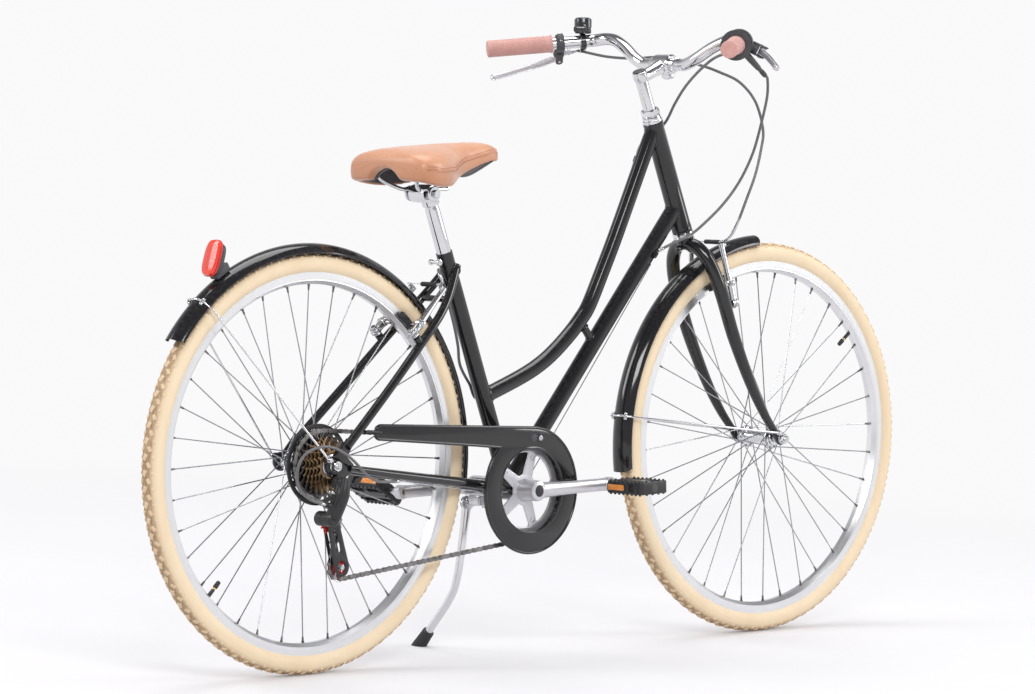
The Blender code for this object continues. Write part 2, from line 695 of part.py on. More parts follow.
def make_axle(name, centre, dropout_y, inner_left, inner_right, parent):
    """A threaded axle with its cones inside the dropouts and hexagon nuts outside them."""
    outer = dropout_y + DROPOUT_THICKNESS / 2.0
    inner = dropout_y - DROPOUT_THICKNESS / 2.0
    pieces = [cross_rod(name, centre, outer + 0.0150, AXLE_RADIUS, sides=8)]
    for _, side in SIDES:
        hub_end = inner_left if side > 0 else inner_right
        out = Y * side
        nut_seat = centre + out * (outer + GAP)
        cone_seat = centre + out * (hub_end + GAP)
        pieces.append(rod("nut", nut_seat, centre + out * (outer + 0.0110), 0.0092, sides=6))
        pieces.append(rod("cone", cone_seat, centre + out * (inner - GAP), 0.0080, sides=8))
    finished(united(name, pieces), "chrome", parent)


# Frame
def top_tube_path():
    """The low-swept tube's centre line, from the head tube down to the seat tube."""
    return [Vector((x, 0.0, z)) for x, z in TOP_TUBE_LINE]


def chainstay_path(side):
    points = [
        Vector((BRACKET_X - 0.010, 0.0240, BRACKET_Z + 0.001)),
        Vector((BRACKET_X - 0.047, 0.0318, BRACKET_Z + 0.0055)),
        Vector((BRACKET_X - 0.102, 0.0335, BRACKET_Z + 0.0130)),
        Vector((BRACKET_X - 0.157, 0.0395, BRACKET_Z + 0.0205)),
        Vector((0.160, 0.0525, TYRE_RADIUS - 0.0230)),
        Vector((0.0345, REAR_DROPOUT_Y + 0.0018, TYRE_RADIUS - 0.0053)),
    ]
    return [sided(p, side) for p in points]


def seatstay_path(side):
    points = [
        Vector((0.3270, 0.0100, 0.6700)),
        Vector((0.3090, 0.0200, 0.6440)),
        Vector((0.2880, 0.0310, 0.6170)),
        Vector((0.2620, 0.0395, 0.5890)),
        Vector((0.2280, 0.0455, 0.5580)),
        Vector((0.1370, 0.0555, 0.4740)),
        Vector((0.0300, REAR_DROPOUT_Y, TYRE_RADIUS + 0.0295)),
    ]
    return [sided(p, side) for p in points]


def dropout_outline(with_hanger):
    start = 75.0
    end = 300.0
    steps = 7
    turns = [math.radians(start + (end - start) * i / steps) for i in range(steps + 1)]
    outline = [(0.0160 * math.cos(t), TYRE_RADIUS + 0.0160 * math.sin(t)) for t in turns]
    if with_hanger:
        drop = [math.radians(200.0 + 160.0 * i / 6) for i in range(7)]
        hanger = [(HANGER.x + 0.0100 * math.cos(t), HANGER.z + 0.0100 * math.sin(t)) for t in drop]
        outline = outline[:-2] + hanger
    arms = [(0.040, -0.0130), (0.044, 0.0010), (0.030, 0.0130), (0.043, 0.0340), (0.031, 0.0440)]
    return outline + [(x, TYRE_RADIUS + z) for x, z in arms]


def boss(name, stay_point, outward):
    """A brake boss that stands out from a stay or a blade."""
    return rod(name, stay_point, stay_point + outward * BOSS_LENGTH, BOSS_RADIUS, sides=8)


def make_frame(parent):
    down_end = HEAD_TOP - UP_STEER * 0.1595
    pieces = [
        rod("frame", HEAD_BOTTOM, HEAD_TOP, HEAD_RADIUS, sides=16),
        tube("top tube", top_tube_path(), TOP_TUBE_RADIUS, 3),
        rod("down tube", BRACKET, down_end, DOWN_TUBE_RADIUS, sides=12),
        rod("seat tube", SEAT_FOOT, SEAT_TOP, SEAT_TUBE_RADIUS, sides=16),
        cross_rod("shell", BRACKET, SHELL_HALF_WIDTH, SHELL_RADIUS, sides=12),
    ]
    pieces.append(rod("brace", BRACE_TOP, BRACE_FOOT, 0.0070, sides=8))
    for _, side in SIDES:
        pieces.append(tube("chainstay", chainstay_path(side), CHAINSTAY_RADIUS, 2, CHAINSTAY_RADII))
        pieces.append(tube("seatstay", seatstay_path(side), SEATSTAY_RADIUS, 2))
        outline = dropout_outline(side < 0)
        pieces.append(plate("dropout", [outline], DROPOUT_THICKNESS, side_frame(side * REAR_DROPOUT_Y)))
        pieces.append(boss("boss", sided(REAR_BOSS, side), REAR_BOSS_AXIS))
    pieces.append(cross_rod("seatstay bridge", Vector((0.2860, 0.0, 0.6150)), 0.0300, 0.0055, sides=8))
    pieces.append(cross_rod("chainstay bridge", STAY_BRIDGE, 0.0300, 0.0050, sides=8))
    stop = BRACKET + (down_end - BRACKET) * DOWN_STOP_SHARE + Vector((0.0, -0.0175, -0.0050))
    along = (down_end - BRACKET).normalized()
    pieces.append(rod("cable stop", stop - along * 0.006, stop + along * 0.006, 0.0042, sides=8))
    top_stop = TOP_STOP
    pieces.append(rod("top stop", top_stop + UP_TOP * 0.005, top_stop - UP_TOP * 0.005, 0.0042, sides=8))
    frame = united("frame", pieces)
    reach = SHELL_HALF_WIDTH + 0.01
    cutters = [
        rod("head bore", HEAD_BOTTOM - UP_STEER * 0.01, HEAD_TOP + UP_STEER * 0.01, HEAD_BORE_RADIUS,
            sides=16),
        rod("post bore", SEAT_TOP - UP_SEAT * POST_BORE_DEPTH, SEAT_TOP + UP_SEAT * 0.01,
            POST_RADIUS + GAP, sides=16),
        cross_rod("axle bore", BRACKET, reach, CRANK_AXLE_RADIUS + GAP, sides=16),
        cross_rod("dropout bore", REAR_AXLE, REAR_DROPOUT_Y + 0.01, AXLE_RADIUS + GAP, sides=8),
    ]
    finished(drilled(frame, cutters), "black_paint", parent)


def make_headset(parent):
    upper = [(0.0165, 0.0120), (0.0170, 0.0040), (0.0175, GAP), (STEERER_RADIUS + GAP, GAP),
             (STEERER_RADIUS + GAP, 0.0120)]
    cup = turned("headset_upper_cup", upper, aimed(HEAD_TOP, UP_STEER), 16)
    finished(cup, "chrome", parent)
    lower = [(HEAD_RADIUS, -GAP), (0.0195, -0.0040), (0.0190, -0.0095), (STEERER_RADIUS + GAP, -0.0095),
             (STEERER_RADIUS + GAP, -GAP)]
    cup = turned("headset_lower_cup", lower, aimed(HEAD_BOTTOM, UP_STEER), 16)
    finished(cup, "chrome", parent)


def make_seat_collar(parent):
    """The black collar round the seat tube's top, with its bolt in two ears behind."""
    centre = SEAT_TOP - UP_SEAT * 0.0085
    inner = SEAT_TUBE_RADIUS + GAP
    collar = ring("seat_collar", centre, UP_SEAT, inner, inner + 0.0035, -0.0080, 0.0080)
    ears_place = framed(centre - FORE_SEAT * 0.0240, FORE_SEAT, UP_SEAT)
    ears = block("ears", ears_place, (0.0130, 0.0120, 0.0130), 0.001)
    bolt_centre = centre - FORE_SEAT * 0.0255
    bolt = cross_rod("bolt", bolt_centre, 0.0125, 0.0030, sides=8)
    head = rod("head", bolt_centre - Y * 0.0095, bolt_centre - Y * 0.0150, 0.0055, sides=8)
    finished(united("seat_collar", [collar, ears, bolt, head]), "black_paint", parent)


# Fork and fenders
def blade_path(side):
    points = [
        FRONT_AXLE + Vector((-0.1987, 0.0020, 0.3515)),
        FRONT_AXLE + Vector((-0.1915, 0.0260, 0.3430)),
        FRONT_AXLE + Vector((-0.1805, 0.0450, 0.3160)),
        FRONT_AXLE + Vector((-0.1620, 0.0540, 0.2690)),
        FRONT_AXLE + Vector((-0.1290, 0.0550, 0.1890)),
        FRONT_AXLE + Vector((-0.0860, 0.0545, 0.1080)),
        FRONT_AXLE + Vector((-0.0470, 0.0535, 0.0490)),
        FRONT_AXLE + Vector((-0.0150, FRONT_DROPOUT_Y, 0.0120)),
    ]
    return [sided(p, side) for p in points]


def blade_radii():
    return [0.0118, 0.0124, BLADE_RADIUS, BLADE_RADIUS, 0.0116, 0.0098, 0.0080, 0.0066]


def make_fork(parent):
    nut_top = HEAD_TOP + UP_STEER * LOCKNUT_TOP
    pieces = [
        rod("fork", CROWN, nut_top, STEERER_RADIUS, sides=16),
        rod("crown", HEAD_BOTTOM - UP_STEER * 0.0255, HEAD_BOTTOM - UP_STEER * 0.0100, 0.0150, 0.0172,
            sides=16),
        rod("locknut", HEAD_TOP + UP_STEER * (0.0120 + GAP), nut_top, 0.0165, sides=8),
    ]
    for _, side in SIDES:
        pieces.append(tube("blade", blade_path(side), BLADE_RADIUS, 2, blade_radii()))
        shape = tongue((WHEELBASE, TYRE_RADIUS), 0.0118, (WHEELBASE - 0.0155, TYRE_RADIUS + 0.0130), 0.0060)
        tip = plate("dropout", [shape], DROPOUT_THICKNESS, side_frame(side * FRONT_DROPOUT_Y))
        pieces.append(tip)
        pieces.append(boss("boss", sided(FRONT_BOSS, side), FRONT_BOSS_AXIS))
    fork = united("fork", pieces)
    quill_depth = LOCKNUT_TOP + 0.075
    cutters = [
        rod("quill bore", HEAD_TOP + UP_STEER * (LOCKNUT_TOP - quill_depth - 0.01),
            HEAD_TOP + UP_STEER * (LOCKNUT_TOP + 0.01), QUILL_RADIUS + GAP, sides=16),
        cross_rod("axle bore", FRONT_AXLE, FRONT_DROPOUT_Y + 0.01, AXLE_RADIUS + GAP, sides=8),
    ]
    finished(drilled(fork, cutters), "black_paint", parent)


def fender_section(radius, count=5):
    """Points across a fender's arched section, as (distance from the axle, y)."""
    arch = (FENDER_HALF_WIDTH**2 + FENDER_DEPTH**2) / (2.0 * FENDER_DEPTH)
    spread = math.asin(FENDER_HALF_WIDTH / arch)
    points = []
    for i in range(count):
        a = spread - 2.0 * spread * i / (count - 1)
        points.append((radius - arch + arch * math.cos(a), arch * math.sin(a)))
    return points


def make_fender(name, centre, start, end, steps, parent):
    """An arched blade round the wheel from one angle to another, seen from the right-hand side."""
    middle = FENDER_RADIUS - FENDER_WALL / 2.0
    first = Vector((math.cos(start), 0.0, math.sin(start)))
    place = framed(centre, first, -Y)
    skin = turned(name, fender_section(middle), place, steps, end - start, closed=False)
    wall = skin.modifiers.new("wall", "SOLIDIFY")
    wall.thickness = FENDER_WALL
    wall.offset = 0.0
    finished(baked(skin), "black_paint", parent)


def make_fender_stay(name, centre, angle, foot, parent):
    """A wire from one side of the axle, over the fender and down to the other side."""
    clear = STAY_WIRE_RADIUS + GAP
    outward = Vector((math.cos(angle), 0.0, math.sin(angle)))
    arch = (FENDER_HALF_WIDTH**2 + FENDER_DEPTH**2) / (2.0 * FENDER_DEPTH)
    spread = math.asin(FENDER_HALF_WIDTH / arch)
    over = arch + clear + 0.0008
    points = [sided(foot, 1.0)]
    turns = 6
    side_y = FENDER_HALF_WIDTH + clear + 0.0030
    low = FENDER_RADIUS - FENDER_DEPTH - 0.0040
    points.append(centre + outward * low + Y * side_y)
    for i in range(turns + 1):
        a = spread - 2.0 * spread * i / turns
        points.append(centre + outward * (FENDER_RADIUS - arch + over * math.cos(a)) + Y * over * math.sin(a))
    points.append(centre + outward * low - Y * side_y)
    points.append(sided(foot, -1.0))
    finished(tube(name, points, STAY_WIRE_RADIUS, 1), "chrome", parent)


def make_reflector(parent):
    """The rear reflector in its housing, on the rear fender."""
    angle = math.radians(121.0)
    outward = Vector((math.cos(angle), 0.0, math.sin(angle)))
    along = Vector((-math.sin(angle), 0.0, math.cos(angle)))
    back = Vector((-0.955, 0.0, 0.297)).normalized()
    centre = REAR_FENDER_CENTRE + outward * (FENDER_RADIUS + 0.0350) - along * 0.0010
    seat = REAR_FENDER_CENTRE + outward * (FENDER_RADIUS + 0.0090) - along * 0.0040
    pieces = [
        block("rear_reflector", framed(centre, Y, back), (0.0380, 0.0610, 0.0090), 0.0015),
        block("housing", framed(centre - back * 0.0090, Y, back), (0.0330, 0.0520, 0.0130), 0.002),
        block("foot", framed(seat, Y, outward), (0.0200, 0.0340, 0.0170), 0.001),
    ]
    housing = united("rear_reflector", pieces)
    clear = FENDER_RADIUS + GAP + 0.0002
    relief = turned("fender relief", [(clear, 0.04), (clear, -0.04)], wheel_frame(REAR_FENDER_CENTRE), 128,
                    closed=False)
    finished(drilled(housing, [capped(relief)]), "red_plastic", parent)


def capped(obj):
    """Closes the open ends of a turned tube, so that it can cut."""
    mesh_obj = baked(obj)
    data = bmesh.new()
    data.from_mesh(mesh_obj.data)
    bmesh.ops.holes_fill(data, edges=[e for e in data.edges if e.is_boundary], sides=0)
    bmesh.ops.recalc_face_normals(data, faces=data.faces)
    data.to_mesh(mesh_obj.data)
    data.free()
    return mesh_obj


# Stem, handlebar and controls
def on_bar(distance, side):
    """A point on the handlebar's axis, at a distance in from its end."""
    return sided(BAR_TIP + BAR_INWARD * distance, side)


def bar_inward(side):
    return sided(BAR_INWARD, side)


def bar_outward_normal(side, drop):
    """The direction square to the bar that points ahead and, by the angle drop, down."""
    inward = bar_inward(side)
    level = Vector((-inward.y, inward.x, 0.0)).normalized() * side
    down = inward.cross(level)
    down = down if down.z < 0 else -down
    return (level * math.cos(drop) + down * math.sin(drop)).normalized()


def bar_path():
    half = [BAR_TIP + BAR_INWARD * s for s in (0.0035, 0.180, 0.195)]
    half += [
        Vector((0.8505, 0.1610, 1.0590)), Vector((0.8505, 0.1370, 1.0560)), Vector((0.8440, 0.1060, 1.0430)),
        Vector((CLAMP.x + 0.0015, 0.0760, CLAMP.z + 0.0110)), Vector((CLAMP.x, 0.0500, CLAMP.z)),
        Vector((CLAMP.x, 0.0300, CLAMP.z)),
    ]
    left = half[:2] + smooth_path(half[2:], 1)
    return left + [mirrored(p) for p in reversed(left)]


def make_stem(parent):
    top = HEAD_TOP + UP_STEER * (STEM_RISE + 0.0090)
    bottom = HEAD_TOP + UP_STEER * (LOCKNUT_TOP - 0.075)
    knee = HEAD_TOP + UP_STEER * STEM_RISE
    under = (UP_STEER * -1.0).normalized()
    pieces = [
        rod("stem", bottom, top, QUILL_RADIUS, sides=16),
        rod("extension", knee, CLAMP, 0.0110, 0.0125, sides=12),
        cross_rod("clamp", CLAMP, 0.0190, BAR_CLAMP_RADIUS + 0.0052, sides=16),
        rod("cap", top - UP_STEER * 0.0010, top + UP_STEER * 0.0042, 0.0132, 0.0122, sides=16),
        rod("cap bolt", top, top + UP_STEER * 0.0070, 0.0045, sides=6),
        block("clamp ears", framed(CLAMP + under * 0.0205, FORE_STEER, UP_STEER), (0.0130, 0.0130, 0.0120),
              0.001),
        cross_rod("clamp bolt", CLAMP + under * 0.0215, 0.0105, 0.0035, sides=8),
    ]
    stem = united("stem", pieces)
    bore = cross_rod("bar bore", CLAMP, 0.03, BAR_CLAMP_RADIUS + GAP, sides=16)
    finished(drilled(stem, [bore]), "bright_alloy", parent)


def make_handlebar(parent):
    path = bar_path()
    radii = [BAR_CLAMP_RADIUS if abs(p.y) < 0.035 else BAR_RADIUS for p in path]
    finished(tube("handlebar", path, BAR_RADIUS, 3, radii), "chrome", parent)


def make_grip(name, side, length, parent):
    """A rubber sleeve with a closed outer end and a shallow collar at its inner end."""
    bore = BAR_RADIUS + GAP
    wall_end = 0.0030
    profile = [
        (0.0, 0.0), (GRIP_RADIUS - 0.0015, 0.0), (GRIP_RADIUS, 0.0015), (GRIP_RADIUS, length * 0.5),
        (GRIP_RADIUS, length - 0.0040), (GRIP_RADIUS + 0.0010, length - 0.0030),
        (GRIP_RADIUS + 0.0010, length), (bore, length), (bore, wall_end), (0.0, wall_end),
    ]
    profile.reverse()
    grip = turned(name, profile, aimed(on_bar(0.0, side), bar_inward(side)), closed=False)
    finished(baked(grip), "pink_brown_rubber", parent)


def make_twist_shifter(fixed, turning):
    start = GRIP_RIGHT_LENGTH + GAP
    bore = BAR_RADIUS + GAP
    place = aimed(on_bar(start, -1.0), bar_inward(-1.0))
    profile = [
        (0.0190, TWIST_LENGTH), (0.0190, 0.0040), (0.0262, 0.0028), (0.0265, 0.0), (bore, 0.0),
        (bore, TWIST_LENGTH),
    ]
    finished(baked(turned("twist_sleeve", profile, place, 20)), "grey_plastic", turning)
    seat = start + TWIST_LENGTH + GAP
    centre = on_bar(seat, -1.0)
    inward = bar_inward(-1.0)
    body = turned("shifter_housing", [(0.0215, 0.0180), (0.0245, 0.0150), (0.0245, 0.0), (bore, 0.0),
                                      (bore, 0.0180)], aimed(centre, inward), 20)
    ahead = bar_outward_normal(-1.0, math.radians(60.0))
    root = centre + inward * 0.0090 + ahead * 0.0180
    nose = rod("nose", root, SHIFT_EXIT, 0.0062, 0.0036, sides=8)
    finished(united("shifter_housing", [body, nose]), "grey_plastic", fixed)


def make_brake_lever(name, side, seat, drop, fixed, moving):
    """A clamp round the bar with a clevis, and the lever blade that swings in it."""
    inward = bar_inward(side)
    out = bar_outward_normal(side, drop)
    hinge = inward.cross(out)
    centre = on_bar(seat, side)
    pivot = centre + out * LEVER_PIVOT
    barrel = centre + out * BARREL_OFFSET
    bore = BAR_RADIUS + GAP
    pieces = [
        ring("brake_bracket_" + name, centre, inward, bore, 0.0160, -0.0070, 0.0070),
        rod("body", centre + out * 0.0145, centre + out * 0.0320, 0.0095, 0.0105, sides=8),
        rod("barrel", barrel, barrel + inward * BARREL_LENGTH, 0.0058, 0.0040, sides=8),
        rod("pin", pivot - hinge * 0.0110, pivot + hinge * 0.0110, LEVER_PIN_RADIUS, sides=8),
    ]
    for cheek_side in (1.0, -1.0):
        middle = centre + out * 0.0355 + hinge * cheek_side * 0.0092
        pieces.append(block("cheek", framed(middle, inward, hinge), (0.0140, 0.0210, 0.0026)))
    bracket = united("brake_bracket_" + name, pieces)
    clear_bar = rod("bar clearance", centre - inward * 0.02, centre + inward * 0.02, bore, sides=16)
    finished(drilled(bracket, [clear_bar]), "bright_alloy", fixed)
    points = [
        pivot, pivot - inward * 0.012 + out * 0.005, pivot - inward * 0.040 + out * 0.018,
        pivot - inward * 0.075 + out * 0.030, pivot - inward * 0.100 + out * 0.038,
        pivot - inward * LEVER_LENGTH + out * (LEVER_REACH - LEVER_PIVOT),
    ]
    blade = tube("brake_lever_" + name, points, 0.0046, 2, [0.0050, 0.0050, 0.0046, 0.0044, 0.0046, 0.0056])
    eye = rod("eye", pivot - hinge * 0.0072, pivot + hinge * 0.0072, 0.0062, sides=12)
    lever = united("brake_lever_" + name, [eye, blade])
    bore = rod("pin bore", pivot - hinge * 0.01, pivot + hinge * 0.01, LEVER_PIN_RADIUS + GAP, sides=16)
    finished(drilled(lever, [bore]), "bright_alloy", moving)


def bell_hinge():
    """The point where the bell's lever turns, in the ears behind the barrel."""
    back = bar_outward_normal(1.0, 0.0) * -BELL_HINGE_BACK
    return on_bar(BELL_SEAT, 1.0) + Vector((0.0, 0.0, BELL_HINGE_Z)) + back


def make_bell(fixed, moving):
    """A small barrel bell that stands on the bar beside the left brake lever."""
    inward = bar_inward(1.0)
    centre = on_bar(BELL_SEAT, 1.0)
    up = Vector((0.0, 0.0, 1.0))
    back = -bar_outward_normal(1.0, 0.0)
    hinge = bell_hinge()
    half = BELL_LEVER_HEIGHT / 2.0
    level = Vector((inward.x, inward.y, 0.0)).normalized()
    pieces = [
        ring("bell", centre, inward, BAR_RADIUS + GAP, 0.0146, -0.0050, 0.0050),
        rod("barrel", centre + up * 0.0135, centre + up * 0.0390, 0.0150, BELL_RADIUS, sides=16),
        rod("crown", centre + up * 0.0390, centre + up * 0.0425, BELL_RADIUS, 0.0105, sides=16),
        block("clamp ears", aimed(centre - up * 0.0165, up), (0.0080, 0.0080, 0.0070)),
        rod("pin", hinge - up * (half + 0.0020), hinge + up * (half + 0.0020), BELL_PIN_RADIUS, sides=8),
    ]
    for end in (1.0, -1.0):
        ear = hinge - back * 0.0020 + up * end * (half + GAP + 0.0012)
        pieces.append(block("ear", framed(ear, level, up), (0.0060, 0.0090, 0.0024)))
    bell = united("bell", pieces)
    reach = inward * 0.02
    clear_bar = rod("bar clearance", centre - reach, centre + reach, BAR_RADIUS + GAP, sides=16)
    finished(drilled(bell, [clear_bar]), "dark_chrome", fixed)
    tab = block("tab", framed(hinge - level * 0.0105, level, up), (0.0180, 0.0030, BELL_LEVER_HEIGHT))
    eye = rod("bell_lever", hinge - up * half, hinge + up * half, 0.0034, sides=12)
    bore = rod("bore", hinge - up * 0.01, hinge + up * 0.01, BELL_PIN_RADIUS + GAP, sides=8)
    finished(drilled(united("bell_lever", [eye, tab]), [bore]), "dark_chrome", moving)


# Brakes
def make_brake_arm(name, base, axis, up, wheel_centre, top_y, parent, side):
    """One arm of a V-brake with its shoe, on a boss, and its hinge at rest."""
    base = sided(base, side)
    length = 0.106
    toward_top = up * length + Y * side * (top_y - abs(base.y))
    top = base + toward_top
    radial = base - wheel_centre
    radial.y = 0.0
    radial.normalize()
    shoe_y = RIM_HALF_WIDTH + PAD_GAP + 0.0050
    share = (PAD_RADIUS - (Vector((base.x, 0, base.z)) - wheel_centre).length) / (up.dot(radial) * length)
    seat = base + toward_top * share
    shoe = Vector((seat.x, side * shoe_y, seat.z))
    tangent = Y.cross(radial)
    pieces = [
        rod(name, base - axis * 0.0060, base + axis * 0.0060, 0.0082, sides=12),
        tube("arm", [base, seat, base + toward_top * 0.55, top], 0.0056, 2, [0.0068, 0.0066, 0.0054, 0.0046]),
        block("shoe", framed(shoe, tangent, Y), (0.0500, 0.0085, 0.0100), 0.0015),
        rod("stud", shoe + Y * side * 0.003, seat, 0.0032, sides=8),
    ]
    arm = united(name, pieces)
    bore = rod("boss bore", base - axis * 0.02, base + axis * 0.02, BOSS_RADIUS + GAP, sides=16)
    finished(drilled(arm, [bore]), "bright_alloy", parent)


# Drive train
def belt_outline(wheels, offset, arc_steps):
    """The closed outline of a chain round signed wheels, offset outwards; (x, z, radius) each."""
    count = len(wheels)
    headings = []
    for i in range(count):
        x1, z1, r1 = wheels[i]
        x2, z2, r2 = wheels[(i + 1) % count]
        span = math.hypot(x2 - x1, z2 - z1)
        headings.append(math.atan2(z2 - z1, x2 - x1) - math.asin((r2 - r1) / span))
    outline = []
    for i in range(count):
        x, z, radius = wheels[i]
        arrive = headings[i - 1]
        leave = headings[i]
        turn = (leave - arrive) % math.tau
        if radius < 0:
            turn -= math.tau
        for step in range(arc_steps[i] + 1):
            heading = arrive + turn * step / arc_steps[i]
            reach = radius + offset
            outline.append((x + reach * math.sin(heading), z - reach * math.cos(heading)))
    return outline


def make_chain(parent):
    jockey = pitch_radius(JOCKEY_TEETH)
    wheels = [
        (LOWER_JOCKEY.x, LOWER_JOCKEY.z, jockey),
        (BRACKET_X, BRACKET_Z, pitch_radius(RING_TEETH)),
        (0.0, TYRE_RADIUS, pitch_radius(SPROCKET_TEETH[0])),
        (UPPER_JOCKEY.x, UPPER_JOCKEY.z, -jockey),
    ]
    steps = (8, 18, 16, 6)
    loops = [belt_outline(wheels, offset, steps) for offset in (CHAIN_HALF_HEIGHT, -CHAIN_HALF_HEIGHT)]
    slope = math.atan2(RING_Y - LARGE_SPROCKET_Y, BRACKET_X)
    turn = Matrix.Rotation(slope, 4, "Z")
    place = Matrix.Translation((0.0, LARGE_SPROCKET_Y, 0.0)) @ turn @ side_frame(0.0)
    finished(baked(plate("chain", loops, 2.0 * CHAIN_HALF_WIDTH, place)), "chain_steel", parent)


def window(start, end, inner, outer):
    """One rounded opening between two spider arms, in the ring's own plane."""
    steps = 4
    outer_arc = [start + (end - start) * i / steps for i in range(steps + 1)]
    inner_arc = [end - (end - start) * (0.2 + 0.6 * i / 2) for i in range(3)]
    loop = [(outer * math.cos(a), outer * math.sin(a)) for a in outer_arc]
    return loop + [(inner * math.cos(a), inner * math.sin(a)) for a in inner_arc]


def make_crankset(parent):
    """Right crank, spider and chainring as one, with the axle; and the left crank on its end."""
    ring_radius = pitch_radius(RING_TEETH) - CHAIN_SEAT
    arms = 5
    loops = [circle(ring_radius, 32)]
    for i in range(arms):
        middle = CRANK_ANGLE + math.tau * (i + 0.5) / arms
        half = math.radians(24.0)
        loops.append(window(middle - half, middle + half, 0.0260, 0.0640))
    place = framed(BRACKET + Y * RING_Y, Vector((1, 0, 0)), -Y)
    forward = Vector((math.cos(CRANK_ANGLE), 0.0, math.sin(CRANK_ANGLE)))
    end = BRACKET + forward * CRANK_LENGTH
    root = BRACKET - Y * 0.0745
    arm_radii = [0.0110, 0.0088, 0.0080]
    pieces = [
        plate("crank_right", loops, 0.0032, place),
        rod("spider boss", BRACKET + Y * (RING_Y + 0.0010), BRACKET - Y * 0.0600, 0.0200, 0.0175, sides=16),
        rod("arm boss", BRACKET - Y * 0.0560, BRACKET - Y * 0.0830, 0.0175, 0.0160, sides=16),
        tube("arm", [root, root - Y * 0.002 + forward * 0.04, end - Y * 0.0800], 0.0100, 3, arm_radii),
        rod("eye", end - Y * 0.0725, end - Y * 0.0875, 0.0120, sides=12),
        rod("spindle", end - Y * 0.0850, end - Y * PEDAL_SPINDLE_END, PEDAL_SPINDLE_RADIUS, sides=8),
        rod("axle", BRACKET - Y * 0.0600, BRACKET + Y * AXLE_END, CRANK_AXLE_RADIUS, sides=16),
    ]
    finished(united("crank_right", pieces), "bright_alloy", parent)
    end = BRACKET - forward * CRANK_LENGTH
    root = BRACKET + Y * 0.0745
    pieces = [
        rod("crank_left", BRACKET + Y * 0.0480, BRACKET + Y * 0.0830, 0.0170, 0.0155, sides=16),
        tube("arm", [root, root + Y * 0.002 - forward * 0.04, end + Y * 0.0800], 0.0100, 3, arm_radii),
        rod("eye", end + Y * 0.0725, end + Y * 0.0875, 0.0120, sides=12),
        rod("spindle", end + Y * 0.0850, end + Y * PEDAL_SPINDLE_END, PEDAL_SPINDLE_RADIUS, sides=8),
    ]
    left = united("crank_left", pieces)
    bottom = BRACKET + Y * (AXLE_END + GAP)
    socket = rod("socket", BRACKET + Y * 0.04, bottom, CRANK_AXLE_RADIUS + GAP, sides=16)
    finished(drilled(left, [socket]), "bright_alloy", parent)


def make_pedal(name, side, tilt, parent):
    """A resin pedal: a core on the spindle inside a frame, with four open slots."""
    forward = Vector((math.cos(CRANK_ANGLE), 0.0, math.sin(CRANK_ANGLE)))
    centre = BRACKET - forward * CRANK_LENGTH * side + Y * side * PEDAL_Y
    along = Vector((math.cos(tilt), 0.0, math.sin(tilt)))
    place = framed(centre, along, Y.cross(along) * -1.0)
    half_length = PEDAL_LENGTH / 2.0
    half_width = PEDAL_WIDTH / 2.0
    corner = 0.0060
    outline = [
        (half_length - corner, -half_width), (half_length, corner - half_width),
        (half_length, half_width - corner), (half_length - corner, half_width),
        (corner - half_length, half_width), (-half_length, half_width - corner),
        (-half_length, corner - half_width), (corner - half_length, -half_width),
    ]
    loops = [outline]
    slot_inner = 0.0110
    slot_outer = half_length - 0.0090
    for fore in (1.0, -1.0):
        for low, high in ((0.0040, half_width - 0.0090), (0.0090 - half_width, -0.0040)):
            near = fore * slot_inner
            far = fore * slot_outer
            loops.append([(near, low), (far, low), (far, high), (near, high)])
    pedal = baked(plate(name, loops, PEDAL_HEIGHT, place))
    bore = rod("spindle bore", centre - Y * side * (PEDAL_WIDTH / 2.0 + 0.01),
               centre + Y * side * (PEDAL_SPINDLE_END - PEDAL_Y + 0.002), PEDAL_SPINDLE_RADIUS + GAP,
               sides=16)
    finished(drilled(pedal, [bore]), "black_plastic", parent)


def make_derailleur(parent):
    """The rear derailleur: knuckles, its link body and the cage plates round the jockey wheels."""
    cage_y = JOCKEY_Y
    outer = cage_y - 0.0070
    inner = cage_y + 0.0070
    knuckle = Vector((HANGER.x, -(REAR_DROPOUT_Y + DROPOUT_THICKNESS / 2.0 + GAP), HANGER.z))
    lower = REAR_AXLE + Vector((-0.0080, 0.0, -0.0870))
    upper_end = knuckle - Y * 0.0220
    wheels = [(p.x, p.z) for p in (UPPER_JOCKEY, LOWER_JOCKEY)]
    down = (LOWER_JOCKEY - UPPER_JOCKEY).normalized()
    across = down.cross(Y)
    bend = upper_end + Vector((-0.0100, 0.0060, -0.0200))
    pieces = [
        rod("rear_derailleur", knuckle, upper_end, 0.0100, sides=12),
        tube("links", [upper_end + Y * 0.009, bend, lower - Y * 0.0680], 0.0090, 1, [0.0085, 0.0100, 0.0105]),
        rod("lower knuckle", lower - Y * 0.0790, lower + Y * (outer + 0.0003), 0.0125, sides=12),
        plate("neck", [tongue((lower.x, lower.z), 0.0118, wheels[0], 0.0100)], 0.0020, side_frame(outer)),
        plate("outer cage", [tongue(wheels[0], 0.0130, wheels[1], 0.0120)], 0.0014, side_frame(outer)),
        plate("inner cage", [tongue(wheels[0], 0.0110, wheels[1], 0.0125)], 0.0014, side_frame(inner)),
    ]
    for jockey in (UPPER_JOCKEY, LOWER_JOCKEY):
        pieces.append(rod("jockey bolt", jockey + Y * (cage_y - 0.0090), jockey + Y * (cage_y + 0.0085),
                          JOCKEY_BOLT_RADIUS, sides=8))
    tail = LOWER_JOCKEY + down * 0.018 - across * 0.016
    pieces.append(rod("cage tail", LOWER_JOCKEY + Y * outer, tail + Y * outer, 0.0018, sides=6))
    finished(united("rear_derailleur", pieces), "black_plastic", parent)


